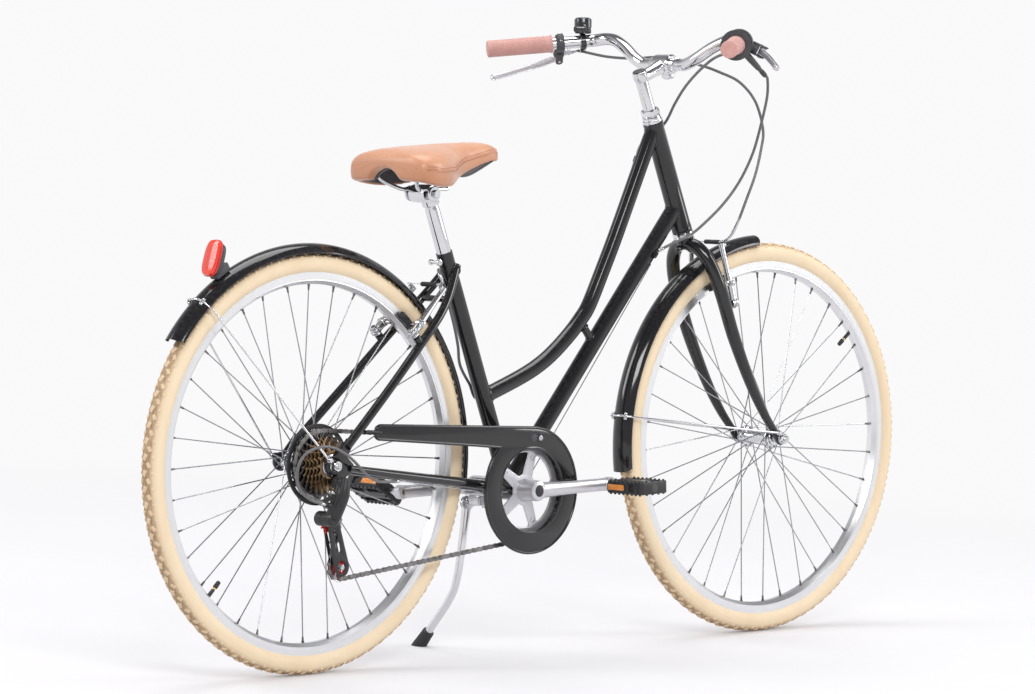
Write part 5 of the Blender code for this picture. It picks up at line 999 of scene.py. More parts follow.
# Wheels
@dataclass
class Wheel:
    """One wheel: tyre and tread, double-wall rim, valve, laced spokes, hub and nutted axle."""

    name: str
    centre: Vector
    valve_turn: float
    flanges: Pair
    flange_radius: float
    hub: Sequence[Pair]
    dropout_y: float
    cone_ends: Pair
    axle_body: str
    section: float = 0.0194
    spokes: int = 36
    spoke_radius: float = 0.00105
    tread_rows: int = 84

    @property
    def body(self) -> str:
        """The CAD body that turns."""
        return self.name + "_wheel"

    def tyre(self) -> None:
        """The casing with its bead, and three rows of tread blocks copied round it."""
        crown = TYRE_RADIUS - self.section
        casing = self.section - 0.0013
        reach = math.radians(134.0)
        count = 26
        profile = []
        for i in range(count + 1):
            a = reach - 2.0 * reach * i / count
            bulge = casing + 0.0005 * max(0.0, 1.0 - abs(abs(a) - 1.05) / 0.16)
            profile.append((crown + bulge * math.cos(a), bulge * math.sin(a)))
        profile += [(RIM_RADIUS - 0.003, -0.0096), (RIM_RADIUS + 0.001, -0.008),
                    (RIM_RADIUS + 0.001, 0.008), (RIM_RADIUS - 0.003, 0.0096)]
        skin = dressed(turned("casing", profile, wheel_frame(self.centre), 144), TYRES[self.name])
        blocks = [skin] + [self.tread_row(*row, crown) for row in TREAD]
        clad(self.name + "_tyre", blocks, self.body)

    def tread_row(self, turn: float, size: Triple, twist: float, shift: float,
                  crown: float) -> Object:
        """One row of tread blocks.

        Args:
            turn: How far round the section from its crown the row lies, in radians.
            size: A block's size across, along and out.
            twist: How far a block is turned on the tread.
            shift: How far the row is shifted along, in blocks.
            crown: The radius of the section's centre line.

        Returns:
            The row as one object.
        """
        out = in_plane(turn)
        seat = Vector((crown, 0.0, 0.0)) + out * (self.section - size[2] / 2.0)
        block = slab("block", Matrix.Identity(4), size, 0.0006, 0.82)
        across = out.cross(Y)
        tilt = Matrix((across, Y, out)).transposed().to_4x4()
        placed(block, Matrix.Translation(seat) @ tilt @ Matrix.Rotation(twist, 4, "Z"))
        step = math.tau / self.tread_rows
        frame_here = wheel_frame(self.centre)
        places = [frame_here @ Matrix.Rotation(step * (i + shift), 4, "Z")
                  for i in range(self.tread_rows)]
        return copies("row", dressed(block, TYRES[self.name]), places)

    def rim(self) -> None:
        """The rim's section with hooks, brake tracks and wear grooves, with the valve in it."""
        waist = RIM_RADIUS - 0.0145
        inner = RIM_RADIUS - RIM_DEPTH
        half = RIM_HALF_WIDTH
        side = [(RIM_RADIUS + 0.0004, half - 0.0006), (RIM_RADIUS, half),
                (RIM_RADIUS - 0.002, half), (RIM_RADIUS - 0.0022, half - 0.0003),
                (RIM_RADIUS - 0.0034, half - 0.0003), (RIM_RADIUS - 0.0036, half),
                (waist + 0.003, half), (waist + 0.0028, half - 0.0004),
                (waist + 0.0016, half - 0.0005), (waist, half - 0.0002), (inner + 0.002, 0.0068),
                (inner, 0.0046), (inner - 0.0001, 0.0015)]
        bed = [(RIM_RADIUS - 0.005, -half + 0.0022), (RIM_RADIUS - 0.008, -0.005),
               (RIM_RADIUS - 0.008, 0.005), (RIM_RADIUS - 0.005, half - 0.0022),
               (RIM_RADIUS - 0.001, half - 0.0022)]
        profile = side + [(r, -y) for r, y in reversed(side)] + [(RIM_RADIUS - 0.001, -half + 0.0022)] + bed
        hoop = dressed(turned("hoop", profile, wheel_frame(self.centre), 160), RIMS[self.name])
        seam = self.valve_turn + math.pi
        out = in_plane(seam)
        joint = slab("seam", framed(self.centre + out * (waist + 0.0075), out.cross(Y), out),
                     (0.0004, 2.0 * half + 0.0002, 0.01), 0.0001)
        clad(self.name + "_rim", [hoop, dressed(joint, DARK_NIPPLE)], self.body)
        self.valve(inner)

    def valve(self, inner: float) -> None:
        """The valve's black stem, brass neck and knurled cap."""
        out = in_plane(self.valve_turn)
        foot = self.centre + out * (inner + 0.004)
        stem = pin("stem", foot, foot - out * 0.02, 0.0036, 0.0031, sides=20)
        neck = pin("neck", foot - out * 0.0195, foot - out * 0.0245, 0.0026, sides=20)
        cap_start = foot - out * 0.024
        cap = pin("cap", cap_start, cap_start - out * 0.013, 0.0042, 0.0036, sides=20,
                  round_off=0.0012)
        with editing(cap) as mesh:
            for i, face in enumerate(f for f in mesh.faces if abs(f.normal.dot(out)) < 0.3):
                face.select = i % 2 == 0 and face.calc_area() > 0.000004
            bpy.ops.mesh.inset(thickness=0.0002, depth=-0.0003, use_individual=True)
        pieces = [dressed(stem, BLACK_PLASTIC), dressed(neck, BRASS), dressed(cap, BLACK_PLASTIC)]
        fitted(self.name + "_valve", pieces, self.body)

    def lacing(self) -> List[Tuple[Vector, Vector, Vector]]:
        """Each spoke's head, elbow and nipple end, three-cross, as the CAD's spokes run."""
        per_flange = self.spokes // 2
        cross = 3.0 * math.tau / per_flange
        head_radius = self.flange_radius + GAP + 0.001
        reach = RIM_RADIUS - RIM_DEPTH - GAP - 0.0011
        laced = []
        for i in range(self.spokes):
            left = 1.0 if i % 2 == 0 else -1.0
            ahead = 1.0 if (i // 2) % 2 == 0 else -1.0
            flange = self.flanges[0] if left > 0 else self.flanges[1]
            rim_turn = self.valve_turn + math.tau * (i + 0.5) / self.spokes
            hub_turn = rim_turn + ahead * cross
            x, z = polar(head_radius - 0.0034, hub_turn)
            start = self.centre + Vector((x, flange - 0.0034 * ahead * left, z))
            elbow = self.centre + Vector((x, flange + 0.0021 * ahead * left, z))
            x, z = polar(reach, rim_turn)
            laced.append((start, elbow, self.centre + Vector((x, 0.0022 * left, z))))
        return laced

    def spoke_set(self) -> None:
        """Round spokes with bent heads, and a dark nipple on each."""
        wires = []
        heads = []
        nipples = []
        for start, elbow, end in self.lacing():
            away = (end - elbow).normalized()
            wires.append([start, elbow - (elbow - start) * 0.12, elbow + away * 0.0016,
                          elbow + away * 0.006, end])
            flange_way = (elbow - start).normalized()
            heads.append([start - flange_way * 0.0003, start + flange_way * 0.0007])
            nipples.append([end + away * 0.003, end, end - away * 0.003, end - away * 0.008,
                            end - away * 0.0088])
        wire = dressed(pipe("wires", wires, self.spoke_radius, sides=8), SPOKE_WIRE)
        head = dressed(pipe("heads", heads, 0.002, sides=8), SPOKE_WIRE)
        nipple = pipe("nipples", nipples, 0.0022, [0.0026, 0.0024, 0.0018, 0.0016, 0.0012],
                      sides=8)
        clad(self.name + "_spokes", [wire, head, dressed(nipple, DARK_NIPPLE)],
             self.body)

    def hub_shell(self) -> None:
        """The turned hub, with a dust cap at each end."""
        shell = dressed(turned("shell", self.hub, aimed(self.centre, Y), 64), POLISHED)
        rings = []
        for end in (self.hub[0][1], self.hub[-1][1]):
            low, high = (-0.003, 0.0004) if end > 0 else (-0.0004, 0.003)
            face = self.centre + Y * end
            rings.append(dressed(ring("dust cap", face, Y, AXLE_RADIUS + 0.0012, 0.0098, low,
                                      high), STEEL))
        clad(self.name + "_hub", [shell] + rings, self.body)

    def axle(self) -> None:
        """The threaded axle with its cones, washers and nuts."""
        outer = self.dropout_y + DROPOUT_THICKNESS / 2.0
        inner = self.dropout_y - DROPOUT_THICKNESS / 2.0
        pieces = [dressed(cross_pin("core", self.centre, outer, AXLE_RADIUS - 0.0004), STEEL)]
        for side in Side:
            out = Y * side.value
            at = [self.centre + out * (outer + d) for d in (GAP, 0.0022, 0.0108, 0.0148)]
            thread = screw_thread("thread", at[0] - out * 0.001, at[3], AXLE_RADIUS - 0.0002)
            washer = ring("washer", at[0], out, AXLE_RADIUS, 0.0098, 0.0, 0.0019)
            nut = hexagon("nut", at[1], at[2], 0.0091, AXLE_RADIUS - 0.0003)
            hub_end = self.cone_ends[0] if side is Side.LEFT else self.cone_ends[1]
            cone = pin("cone", self.centre + out * (hub_end + GAP),
                       self.centre + out * (inner - GAP), 0.008)
            pieces += [dressed(thread, STEEL), dressed(washer, STEEL),
                       dressed(nut, CHROME), dressed(cone, STEEL)]
        clad(self.name + "_axle", pieces, self.axle_body)

    def build(self) -> None:
        """Makes the whole wheel."""
        self.tyre()
        self.rim()
        self.spoke_set()
        self.hub_shell()
        self.axle()


FRONT_HUB_HALF = FRONT_DROPOUT_Y - DROPOUT_THICKNESS / 2.0 - 0.01
REAR_HUB_END = REAR_DROPOUT_Y - DROPOUT_THICKNESS / 2.0 - 0.011
FREEWHEEL_END = -(LARGE_SPROCKET_Y - SPROCKET_PITCH * (len(SPROCKET_TEETH) - 1) - 0.001)


def front_wheel() -> Wheel:
    """The front wheel with its small-flange hub."""
    end = FRONT_HUB_HALF
    bore = AXLE_RADIUS + GAP
    half = [(0.0088, end), (0.0125, end - 0.0022), (0.0128, 0.0342), (0.015, 0.0327),
            (0.019, 0.0325), (0.0195, 0.0319), (0.0195, 0.0296), (0.0188, 0.029),
            (0.015, 0.0284), (0.0122, 0.0262), (0.0108, 0.02), (0.0104, 0.006)]
    hub = half + [(r, -y) for r, y in reversed(half)] + [(bore, -end), (bore, end)]
    return Wheel("front", FRONT_AXLE, math.radians(37.4), (0.0308, -0.0308), 0.0195,
                 hub, FRONT_DROPOUT_Y, (FRONT_HUB_HALF, FRONT_HUB_HALF), "steering_body")


def rear_wheel() -> Wheel:
    """The rear wheel, whose hub carries the freewheel's boss on its right."""
    left = 0.034
    right = -0.0195
    bore = AXLE_RADIUS + GAP
    hub = [(0.009, REAR_HUB_END), (0.0136, REAR_HUB_END - 0.0026), (0.014, left + 0.003),
           (0.017, left + 0.0018), (0.0212, left + 0.0017), (0.0215, left + 0.0012),
           (0.0215, left - 0.0012), (0.0212, left - 0.0017), (0.016, left - 0.0024),
           (0.0128, left - 0.007), (0.0118, left - 0.015), (0.0118, right + 0.012),
           (0.0132, right + 0.005), (0.017, right + 0.0022), (0.0212, right + 0.0017),
           (0.0215, right + 0.0012), (0.0215, right - 0.0012), (0.0212, right - 0.0017),
           (0.012, right - 0.0018), (0.012, -FREEWHEEL_END), (bore, -FREEWHEEL_END),
           (bore, REAR_HUB_END)]
    return Wheel("rear", REAR_AXLE, math.radians(-135.7), (left, right), 0.0215,
                 hub, REAR_DROPOUT_Y, (REAR_HUB_END, FREEWHEEL_END), "frame_body")


@dataclass
class SpokeProtector:
    """The black disc between the sprockets and the spokes, with ribs and slots."""

    radius: float = 0.0675
    y: float = -0.0262
    inner: float = 0.0123
    slots: int = 12

    def build(self) -> None:
        """Cuts the disc, raises its rim and ribs it."""
        loops = [circle(self.radius - 0.0004, 96), circle(self.inner, 48)]
        for i in range(self.slots):
            middle = math.tau * (i + 0.5) / self.slots
            near = [polar(0.048, middle + a) for a in (0.16, 0.08, 0.0, -0.08, -0.16)]
            far = [polar(0.0595, middle + a) for a in (-0.17, -0.085, 0.0, 0.085, 0.17)]
            loops.append(near + far)
        place = framed(REAR_AXLE + Y * self.y, X, -Y)
        disc = plate("disc", loops, 0.0014, place)
        rim = ring("rim", REAR_AXLE + Y * self.y, Y, self.radius - 0.0022, self.radius,
                   -0.0012, 0.0012, 96)
        step = ring("step", REAR_AXLE + Y * self.y, Y, 0.042, 0.0435, -0.0014, 0.001, 72)
        clad("spoke_protector",
             [dressed(p, BLACK_PLASTIC) for p in (disc, rim, step)], "rear_wheel")


# Frame and fork
def weld(foot: Vector, away: Vector, radius: float, host: Vector, host_axis: Vector,
         host_radius: float) -> Object:
    """The painted weld bead where a tube meets the side of another.

    Args:
        foot: The tube's end inside the other tube.
        away: The direction in which the tube leaves.
        radius: The tube's radius.
        host: A point on the other tube's axis.
        host_axis: The direction of the other tube.
        host_radius: The other tube's radius.

    Returns:
        The bead.
    """
    axis = host_axis.normalized()
    way = away.normalized()
    u = way.orthogonal().normalized()
    flat = way - axis * way.dot(axis)
    path = []
    radii = []
    for i in range(49):
        start = foot + (u * math.cos(math.tau * i / 48)
                        + way.cross(u) * math.sin(math.tau * i / 48)) * radius
        off = start - host
        off -= axis * off.dot(axis)
        a, b, c = flat.dot(flat), 2.0 * off.dot(flat), off.dot(off) - host_radius**2
        path.append(start + way * ((-b + math.sqrt(max(0.0, b * b - 4.0 * a * c))) / (2.0 * a)))
        radii.append(0.0018 if i % 2 else 0.0015)
    return pipe("weld", [path], 0.0016, radii, sides=8)


def brake_boss(root: Vector, out: Vector, collar: float) -> List[Object]:
    """A brake's pivot boss on its thicker collar."""
    return [pin("boss", root, root + out * 0.034, 0.004),
            pin("boss root", root, root + out * collar, 0.0068)]


@dataclass
class FrameSet:
    """The welded step-through frame and its fittings, the headset's cups and the seat collar."""

    head_radius: float = 0.0175
    head_bore: float = 0.0148
    seat_radius: float = 0.0143
    post_radius: float = 0.0127
    down_radius: float = 0.0146
    top_radius: float = 0.0135
    shell_radius: float = 0.02
    shell_half: float = 0.034
    stay_radius: float = 0.0075
    chainstay_radii: Sequence[float] = (0.0085, 0.0085, 0.0085, 0.0085, 0.0075, 0.0056)
    top_line: Sequence[Pair] = ((0.8085, 0.9), (0.79, 0.864), (0.722, 0.725), (0.686, 0.656),
                                (0.653, 0.596), (0.632, 0.571), (0.608, 0.548), (0.572, 0.5195),
                                (0.536, 0.497), (0.489, 0.476), (0.401, 0.445))
    brace_top: Vector = field(default_factory=lambda: Vector((0.634, 0.0, 0.567)))
    brace_foot: Vector = field(default_factory=lambda: Vector((0.663, 0.0, 0.531)))

    def top_path(self) -> Path:
        """The low-swept tube's centre line."""
        return [Vector((x, 0.0, z)) for x, z in self.top_line]

    def chainstay(self, side: float) -> Path:
        """A chainstay's centre line on one side."""
        points = [Vector((BRACKET.x - 0.01, 0.024, BRACKET.z + 0.001)),
                  Vector((BRACKET.x - 0.047, 0.0318, BRACKET.z + 0.0055)),
                  Vector((BRACKET.x - 0.102, 0.0335, BRACKET.z + 0.013)),
                  Vector((BRACKET.x - 0.157, 0.0395, BRACKET.z + 0.0205)),
                  Vector((0.16, 0.0525, 0.326)), Vector((0.0345, REAR_DROPOUT_Y + 0.0018, 0.3437))]
        return [sided(p, side) for p in points]

    def seatstay(self, side: float) -> Path:
        """A seatstay's centre line on one side."""
        points = [Vector((0.327, 0.01, 0.67)), Vector((0.309, 0.02, 0.644)),
                  Vector((0.288, 0.031, 0.617)), Vector((0.262, 0.0395, 0.589)),
                  Vector((0.228, 0.0455, 0.558)), Vector((0.137, 0.0555, 0.474)),
                  Vector((0.03, REAR_DROPOUT_Y, 0.3785))]
        return [sided(p, side) for p in points]

    def dropout(self, side: float) -> List[Object]:
        """A stamped dropout, the fender stay's eyelet and, on the right, the hanger."""
        outline = [(x, TYRE_RADIUS + z) for x, z in (polar(0.016, math.radians(75.0 + 11.25 * i))
                                                     for i in range(21))]
        if side < 0:
            outline = [p for p in outline if p[1] > 0.3345] + [
                (0.004 + x, 0.322 + z) for x, z in (polar(0.01, math.radians(200.0 + 16.0 * i))
                                                      for i in range(11))]
        outline += [(0.04, 0.336), (0.044, 0.35), (0.03, 0.362), (0.043, 0.383), (0.031, 0.393)]
        bore = circle(AXLE_RADIUS + GAP, 20, (0.0, TYRE_RADIUS))
        place = side_frame(side * REAR_DROPOUT_Y)
        lobe = tongue((-0.006, TYRE_RADIUS + 0.006), 0.009, (-0.013, TYRE_RADIUS + 0.01), 0.0052)
        return [plate("dropout", [outline, bore], DROPOUT_THICKNESS, place, 0.0007),
                plate("eyelet", [lobe, bore], DROPOUT_THICKNESS - 0.0012, place, 0.0005)]

    def tubes(self) -> List[Object]:
        """All the main tubes and stays."""
        length = (HEAD_TOP - HEAD_BOTTOM).length
        r = self.head_radius
        head = [(self.head_bore, 0.0), (r, 0.0), (r + 0.0006, 0.0008), (r + 0.0006, 0.01),
                (r, 0.0112), (r, length - 0.0112), (r + 0.0006, length - 0.01),
                (r + 0.0006, length - 0.0008), (r, length), (self.head_bore, length)]
        tall = (SEAT_TOP - SEAT_FOOT).length
        bore = self.post_radius + GAP
        seat = [(0.0, 0.0), (self.seat_radius, 0.0), (self.seat_radius, tall), (bore, tall),
                (bore, tall - 0.2), (0.0, tall - 0.2)]
        half = self.shell_half
        edge = self.shell_radius
        shell = [(0.0088, -half), (edge - 0.001, -half), (edge, 0.001 - half),
                 (edge, half - 0.001), (edge - 0.001, half), (0.0088, half)]
        made = [
            turned("head tube", head, aimed(HEAD_BOTTOM, UP_STEER), 64),
            pipe("top tube", [smooth_path(self.top_path(), 5)], self.top_radius, sides=32),
            pin("down tube", BRACKET, DOWN_TUBE_TOP, self.down_radius, sides=40, round_off=0.0),
            turned("seat tube", seat, aimed(SEAT_FOOT, UP_SEAT), 48, closed=False),
            turned("shell", shell, aimed(BRACKET, Y), 64),
            pin("brace", self.brace_top, self.brace_foot, 0.007, sides=24, round_off=0.0),
            cross_pin("seatstay bridge", Vector((0.286, 0.0, 0.615)), 0.03, 0.0055),
            cross_pin("chainstay bridge", BRACKET + Vector((-0.068, 0.0, 0.008)), 0.03, 0.005),
        ]
        for side in Side:
            stay = smooth_path(self.chainstay(side.value), 5)
            made.append(pipe("chainstay", [stay], 0.0085,
                             smooth_values(self.chainstay_radii, 5), sides=24))
            made.append(pipe("seatstay", [smooth_path(self.seatstay(side.value), 5)],
                             self.stay_radius, sides=24))
        return made

    def welds(self) -> List[Object]:
        """A bead at each joint."""
        top = self.top_path()
        slope = top[5] - top[4]
        made = [
            weld(top[0], top[1] - top[0], self.top_radius, HEAD_TOP, UP_STEER, self.head_radius),
            weld(DOWN_TUBE_TOP, BRACKET - DOWN_TUBE_TOP, self.down_radius,
                 HEAD_TOP, UP_STEER, self.head_radius),
            weld(BRACKET, DOWN_TUBE_TOP - BRACKET, self.down_radius, BRACKET, Y, self.shell_radius),
            weld(SEAT_FOOT, UP_SEAT, self.seat_radius, BRACKET, Y, self.shell_radius),
            weld(top[-1], top[-2] - top[-1], self.top_radius, SEAT_TOP, UP_SEAT, self.seat_radius),
            weld(self.brace_top, self.brace_foot - self.brace_top, 0.007,
                 self.brace_top, slope, self.top_radius),
            weld(self.brace_foot, self.brace_top - self.brace_foot, 0.007,
                 BRACKET, DOWN_TUBE_TOP - BRACKET, self.down_radius),
        ]
        for side in Side:
            stay = self.chainstay(side.value)
            made.append(weld(stay[0], stay[1] - stay[0], 0.0085, BRACKET, Y, self.shell_radius))
            stay = self.seatstay(side.value)
            made.append(weld(stay[0], stay[1] - stay[0], self.stay_radius, SEAT_TOP, UP_SEAT,
                             self.seat_radius))
        return made

    def fittings(self) -> List[Object]:
        """Bosses for the rear brake, the dropouts, and the two cable stops on their feet."""
        made = []
        for side in Side:
            made += brake_boss(sided(REAR_BOSS, side.value), REAR_BOSS_WAY, 0.015)
            made += self.dropout(side.value)
        down = DOWN_TUBE_TOP - BRACKET
        for stop, along in ((BRACKET + down * 0.835 + Vector((0.0, -0.0175, -0.005)),
                             down.normalized()), (REAR_STOP, REAR_STOP_WAY)):
            made.append(ring("cable stop", stop, along, 0.0012, 0.0042, -0.0055, 0.0055, 20))
            lean = Y * (-0.004 if stop.y < 0 else 0.003)
            made.append(pin("stop foot", stop - lean * 0.2, stop - lean * 1.6, 0.003, sides=16))
        return made

    def headset(self) -> None:
        """The stepped upper and lower cups, polished."""
        bore = 0.0127 + GAP
        upper = [(0.015, 0.012), (0.016, 0.0114), (0.0165, 0.01), (0.0165, 0.0072),
                 (0.0158, 0.0066), (0.0172, 0.0056), (0.0176, 0.004), (0.0176, 0.001),
                 (0.0172, GAP), (bore, GAP), (bore, 0.012)]
        lower = [(0.0172, -GAP), (0.018, -0.0008), (0.0192, -0.0036), (0.0195, -0.0048),
                 (0.0192, -0.0058), (0.0184, -0.0064), (0.0192, -0.0072), (0.0188, -0.0095),
                 (bore, -0.0095), (bore, -GAP)]
        for name, profile, seat in (("upper", upper, HEAD_TOP), ("lower", lower, HEAD_BOTTOM)):
            cup = dressed(turned(name, profile, aimed(seat, UP_STEER), 64), CHROME)
            clad("headset_%s_cup" % name, [cup], "frame_body")

    def collar(self) -> None:
        """The black collar round the seat tube's top, split behind, with a bright bolt."""
        centre = SEAT_TOP - UP_SEAT * 0.0085
        inner = self.seat_radius + GAP
        bolt = centre - FORE_SEAT * 0.0255
        band = ring("band", centre, UP_SEAT, inner, inner + 0.0035, -0.008, 0.008, 48, 0.0009)
        ears = slab("ears", framed(centre - FORE_SEAT * 0.0235, FORE_SEAT, UP_SEAT),
                    (0.013, 0.012, 0.013), 0.0018)
        slit = slab("slit", framed(centre - FORE_SEAT * 0.024, FORE_SEAT, UP_SEAT),
                    (0.016, 0.0022, 0.02), 0.0001)
        body = dressed(cut(joined("collar", [band, ears]), [slit]), PAINT)
        core = dressed(cross_pin("core", bolt, 0.0125, 0.0028), STEEL)
        head = pin("head", bolt - Y * 0.0066, bolt - Y * 0.0135, 0.0054, round_off=0.001)
        socket = pin("socket", bolt - Y * 0.0105, bolt - Y * 0.016, 0.0028, sides=6, round_off=0.0)
        nut = hexagon("nut", bolt + Y * 0.0066, bolt + Y * 0.0118, 0.0052)
        clad("seat_collar",
             [body, core, dressed(cut(head, [socket]), CHROME), dressed(nut, CHROME)],
             "frame_body")

    def build(self) -> None:
        """Makes the frame and what is fixed to it."""
        paint = dressed(joined("painted", self.tubes() + self.welds() + self.fittings()), PAINT)
        cups = [dressed(ring("bracket cup", BRACKET, Y * side.value, 0.009, 0.0172,
                             self.shell_half - 0.002, self.shell_half + 0.0012, 48), STEEL)
                for side in Side]
        clad("frame", [paint] + cups, "frame_body")
        self.headset()
        self.collar()


@dataclass
class Fork:
    """The raked fork with its crown, tips, bosses and the headset's locknut."""

    steerer: float = 0.0127
    quill_bore: float = 0.0114
    locknut_top: float = 0.024
    offsets: Sequence[Triple] = ((-0.1987, 0.002, 0.3515), (-0.1915, 0.026, 0.343),
                                 (-0.1805, 0.045, 0.316), (-0.162, 0.054, 0.269),
                                 (-0.129, 0.055, 0.189), (-0.086, 0.0545, 0.108),
                                 (-0.047, 0.0535, 0.049), (-0.015, FRONT_DROPOUT_Y, 0.012))
    radii: Sequence[float] = (0.0118, 0.0124, 0.0122, 0.0122, 0.0116, 0.0098, 0.008, 0.0066)

    def build(self) -> None:
        """Makes the painted fork, and its bright locknut."""
        top = HEAD_TOP + UP_STEER * self.locknut_top
        reach = (top - HEAD_BOTTOM).length + 0.0205
        tube = [(self.quill_bore, 0.12), (self.steerer, 0.12), (self.steerer, reach),
                (self.quill_bore, reach)]
        crown = [(0.0, 0.0255), (0.0142, 0.0255), (0.015, 0.0247), (0.0168, 0.014),
                 (0.0176, 0.0125), (0.0176, 0.0102), (0.0172, 0.0099), (self.steerer, 0.0098),
                 (0.0, 0.0098)]
        made = [pin("lower steerer", HEAD_BOTTOM - UP_STEER * 0.0205,
                    HEAD_BOTTOM + UP_STEER * 0.1, self.steerer),
                turned("steerer", tube, aimed(HEAD_BOTTOM - UP_STEER * 0.0205, UP_STEER),
                       40),
                turned("crown", crown, aimed(HEAD_BOTTOM, -UP_STEER), 56, closed=False)]
        for side in Side:
            path = [FRONT_AXLE + sided(Vector(p), side.value) for p in self.offsets]
            made.append(pipe("blade", [smooth_path(path, 6)], 0.0122,
                             smooth_values(self.radii, 6), sides=28))
            made += brake_boss(sided(FRONT_BOSS, side.value), FRONT_BOSS_WAY, 0.0165)
            shape = tongue((FRONT_AXLE.x, TYRE_RADIUS), 0.0118,
                           (FRONT_AXLE.x - 0.0155, TYRE_RADIUS + 0.013), 0.0064)
            bore = circle(AXLE_RADIUS + GAP, 20, (FRONT_AXLE.x, TYRE_RADIUS))
            made.append(plate("tip", [shape, bore], DROPOUT_THICKNESS,
                              side_frame(side.value * FRONT_DROPOUT_Y), 0.0009))
        made.append(weld(FRONT_AXLE + Vector((-0.1987, 0.0, 0.35)), -UP_STEER, 0.0155, FRONT_AXLE +
                         Vector((-0.1975, 0.0, 0.347)), Y, 0.01))
        nut = hexagon("locknut", HEAD_TOP + UP_STEER * 0.015, top, 0.0172,
                      self.quill_bore + 0.0002)
        washer = ring("washer", HEAD_TOP, UP_STEER, self.quill_bore + 0.0002, 0.016,
                      0.012 + GAP, 0.0148, 48)
        bolt = CROWN_FRONT
        head = hexagon("fender bolt", bolt, bolt + FORE_STEER * 0.005, 0.0062)
        pieces = [dressed(joined("painted", made), PAINT), dressed(nut, CHROME),
                  dressed(washer, CHROME), dressed(head, CHROME)]
        clad("fork", pieces, "steering_body")


CROWN_FRONT = HEAD_BOTTOM - UP_STEER * 0.019 + FORE_STEER * 0.0155


# Fenders
@dataclass
class Fender:
    """A pressed fender with rolled edges, its wire stay, and their clips and bolts."""

    name: str
    centre: Vector
    start: float
    end: float
    stay_turn: float
    foot: Triple
    body: str
    spacer: float
    radius: float = FENDER_RADIUS
    half: float = 0.0222
    depth: float = 0.015
    wall: float = 0.0012
    wire: float = 0.0019

    @property
    def arch(self) -> float:
        """The radius of the fender's arched section."""
        return (self.half**2 + self.depth**2) / (2.0 * self.depth)

    @property
    def spread(self) -> float:
        """Half the angle of the arched section."""
        return math.asin(self.half / self.arch)

    def skin(self) -> Object:
        """The arched blade, its edges rolled over and its end's corners rounded."""
        spread = self.spread
        ring_of = []
        for level, way in ((self.arch, 1.0), (self.arch - self.wall, -1.0)):
            for i in range(19):
                a = way * spread * (1.0 - i / 9.0)
                ring_of.append((self.radius - self.arch + level * math.cos(a),
                                level * math.sin(a)))
            r, y = ring_of[-1]
            if way > 0:
                ring_of += [(r - 0.0007, y + 0.0002), (r - 0.0017, y + 0.001),
                            (r - 0.0014, y + 0.0022)]
        ring_of += [(ring_of[0][0] - 0.0014, ring_of[0][1] - 0.0022),
                    (ring_of[0][0] - 0.0017, ring_of[0][1] - 0.001),
                    (ring_of[0][0] - 0.0007, ring_of[0][1] - 0.0002)]
        place = framed(self.centre, in_plane(self.end), -Y)
        skin = turned("skin", ring_of, place, 84, True, self.end - self.start)
        with editing(skin, "VERT") as mesh:
            for edge_turn, way in ((self.start, 1.0), (self.end, -1.0)):
                for vert in mesh.verts:
                    off = vert.co - self.centre
                    here = math.atan2(off.z, off.x) % math.tau
                    if abs((here - edge_turn + math.pi) % math.tau - math.pi) < 0.001:
                        over = max(0.0, abs(off.y) - self.half + 0.011) / 0.0112
                        back = 0.009 * (1.0
                                        - math.sqrt(max(0.0, 1.0 - min(1.0, over) ** 2))) / self.radius
                        vert.co = self.centre + Matrix.Rotation(-way * back, 3, "Y") @ off
            rim = [e for e in mesh.edges if e.is_boundary]
            for edge in rim:
                edge.select = True
            bpy.ops.mesh.edge_face_add()
        return skin

    def stay(self) -> None:
        """The wire over the fender, with an eye and a bolt at each foot."""
        outward = in_plane(self.stay_turn)
        clear = self.wire + GAP
        over = self.arch + clear + 0.0008
        low = self.radius - self.depth - 0.004
        side_y = self.half + clear + 0.003
        foot = Vector(self.foot)
        points = [foot, self.centre + outward * low + Y * side_y]
        for i in range(13):
            a = self.spread - 2.0 * self.spread * i / 12
            points.append(self.centre + outward * (self.radius - self.arch + over * math.cos(a))
                          + Y * over * math.sin(a))
        points += [self.centre + outward * low - Y * side_y, sided(foot, -1.0)]
        pieces = [dressed(pipe("wire", [points], self.wire, sides=16), CHROME)]
        for side in Side:
            eye = sided(foot, side.value)
            out = Y * side.value
            pieces.append(dressed(ring("eye", eye, out, 0.0022, 0.0046, -self.wire, self.wire,
                                       24, 0.0004), CHROME))
            pieces.append(dressed(hexagon("bolt", eye + out * (self.wire + 0.0002),
                                          eye + out * (self.wire + 0.0034), 0.0042), CHROME))
            pieces.append(dressed(pin("shank", eye - out * self.spacer, eye + out * 0.003,
                                      0.0024, sides=16), STEEL))
        clad(self.name + "_fender_stay", pieces, self.body)

    def clip(self, turn: float) -> List[Object]:
        """A small strap over the stay's wire, at an angle round the fender's section."""
        outward = in_plane(self.stay_turn)
        tangent = Vector((-outward.z, 0.0, outward.x))
        lift = outward * math.cos(turn) + Y * math.sin(turn)
        seat = self.centre + outward * (self.radius - self.arch) + lift * (self.arch + 0.0006)
        strap = slab("strap", framed(seat + lift * 0.0022, tangent, lift),
                     (0.015, 0.0064, 0.0052), 0.0018, 0.8)
        head = pin("bolt", seat + lift * 0.004, seat + lift * 0.0066, 0.0032, 0.0024)
        return [dressed(strap, CHROME), dressed(head, STEEL)]

    def build(self) -> None:
        """Makes the fender, its clips and its stay."""
        pieces = [dressed(self.skin(), PAINT)] + self.clip(0.62) + self.clip(-0.62)
        clad(self.name + "_fender", pieces, self.body)
        self.stay()


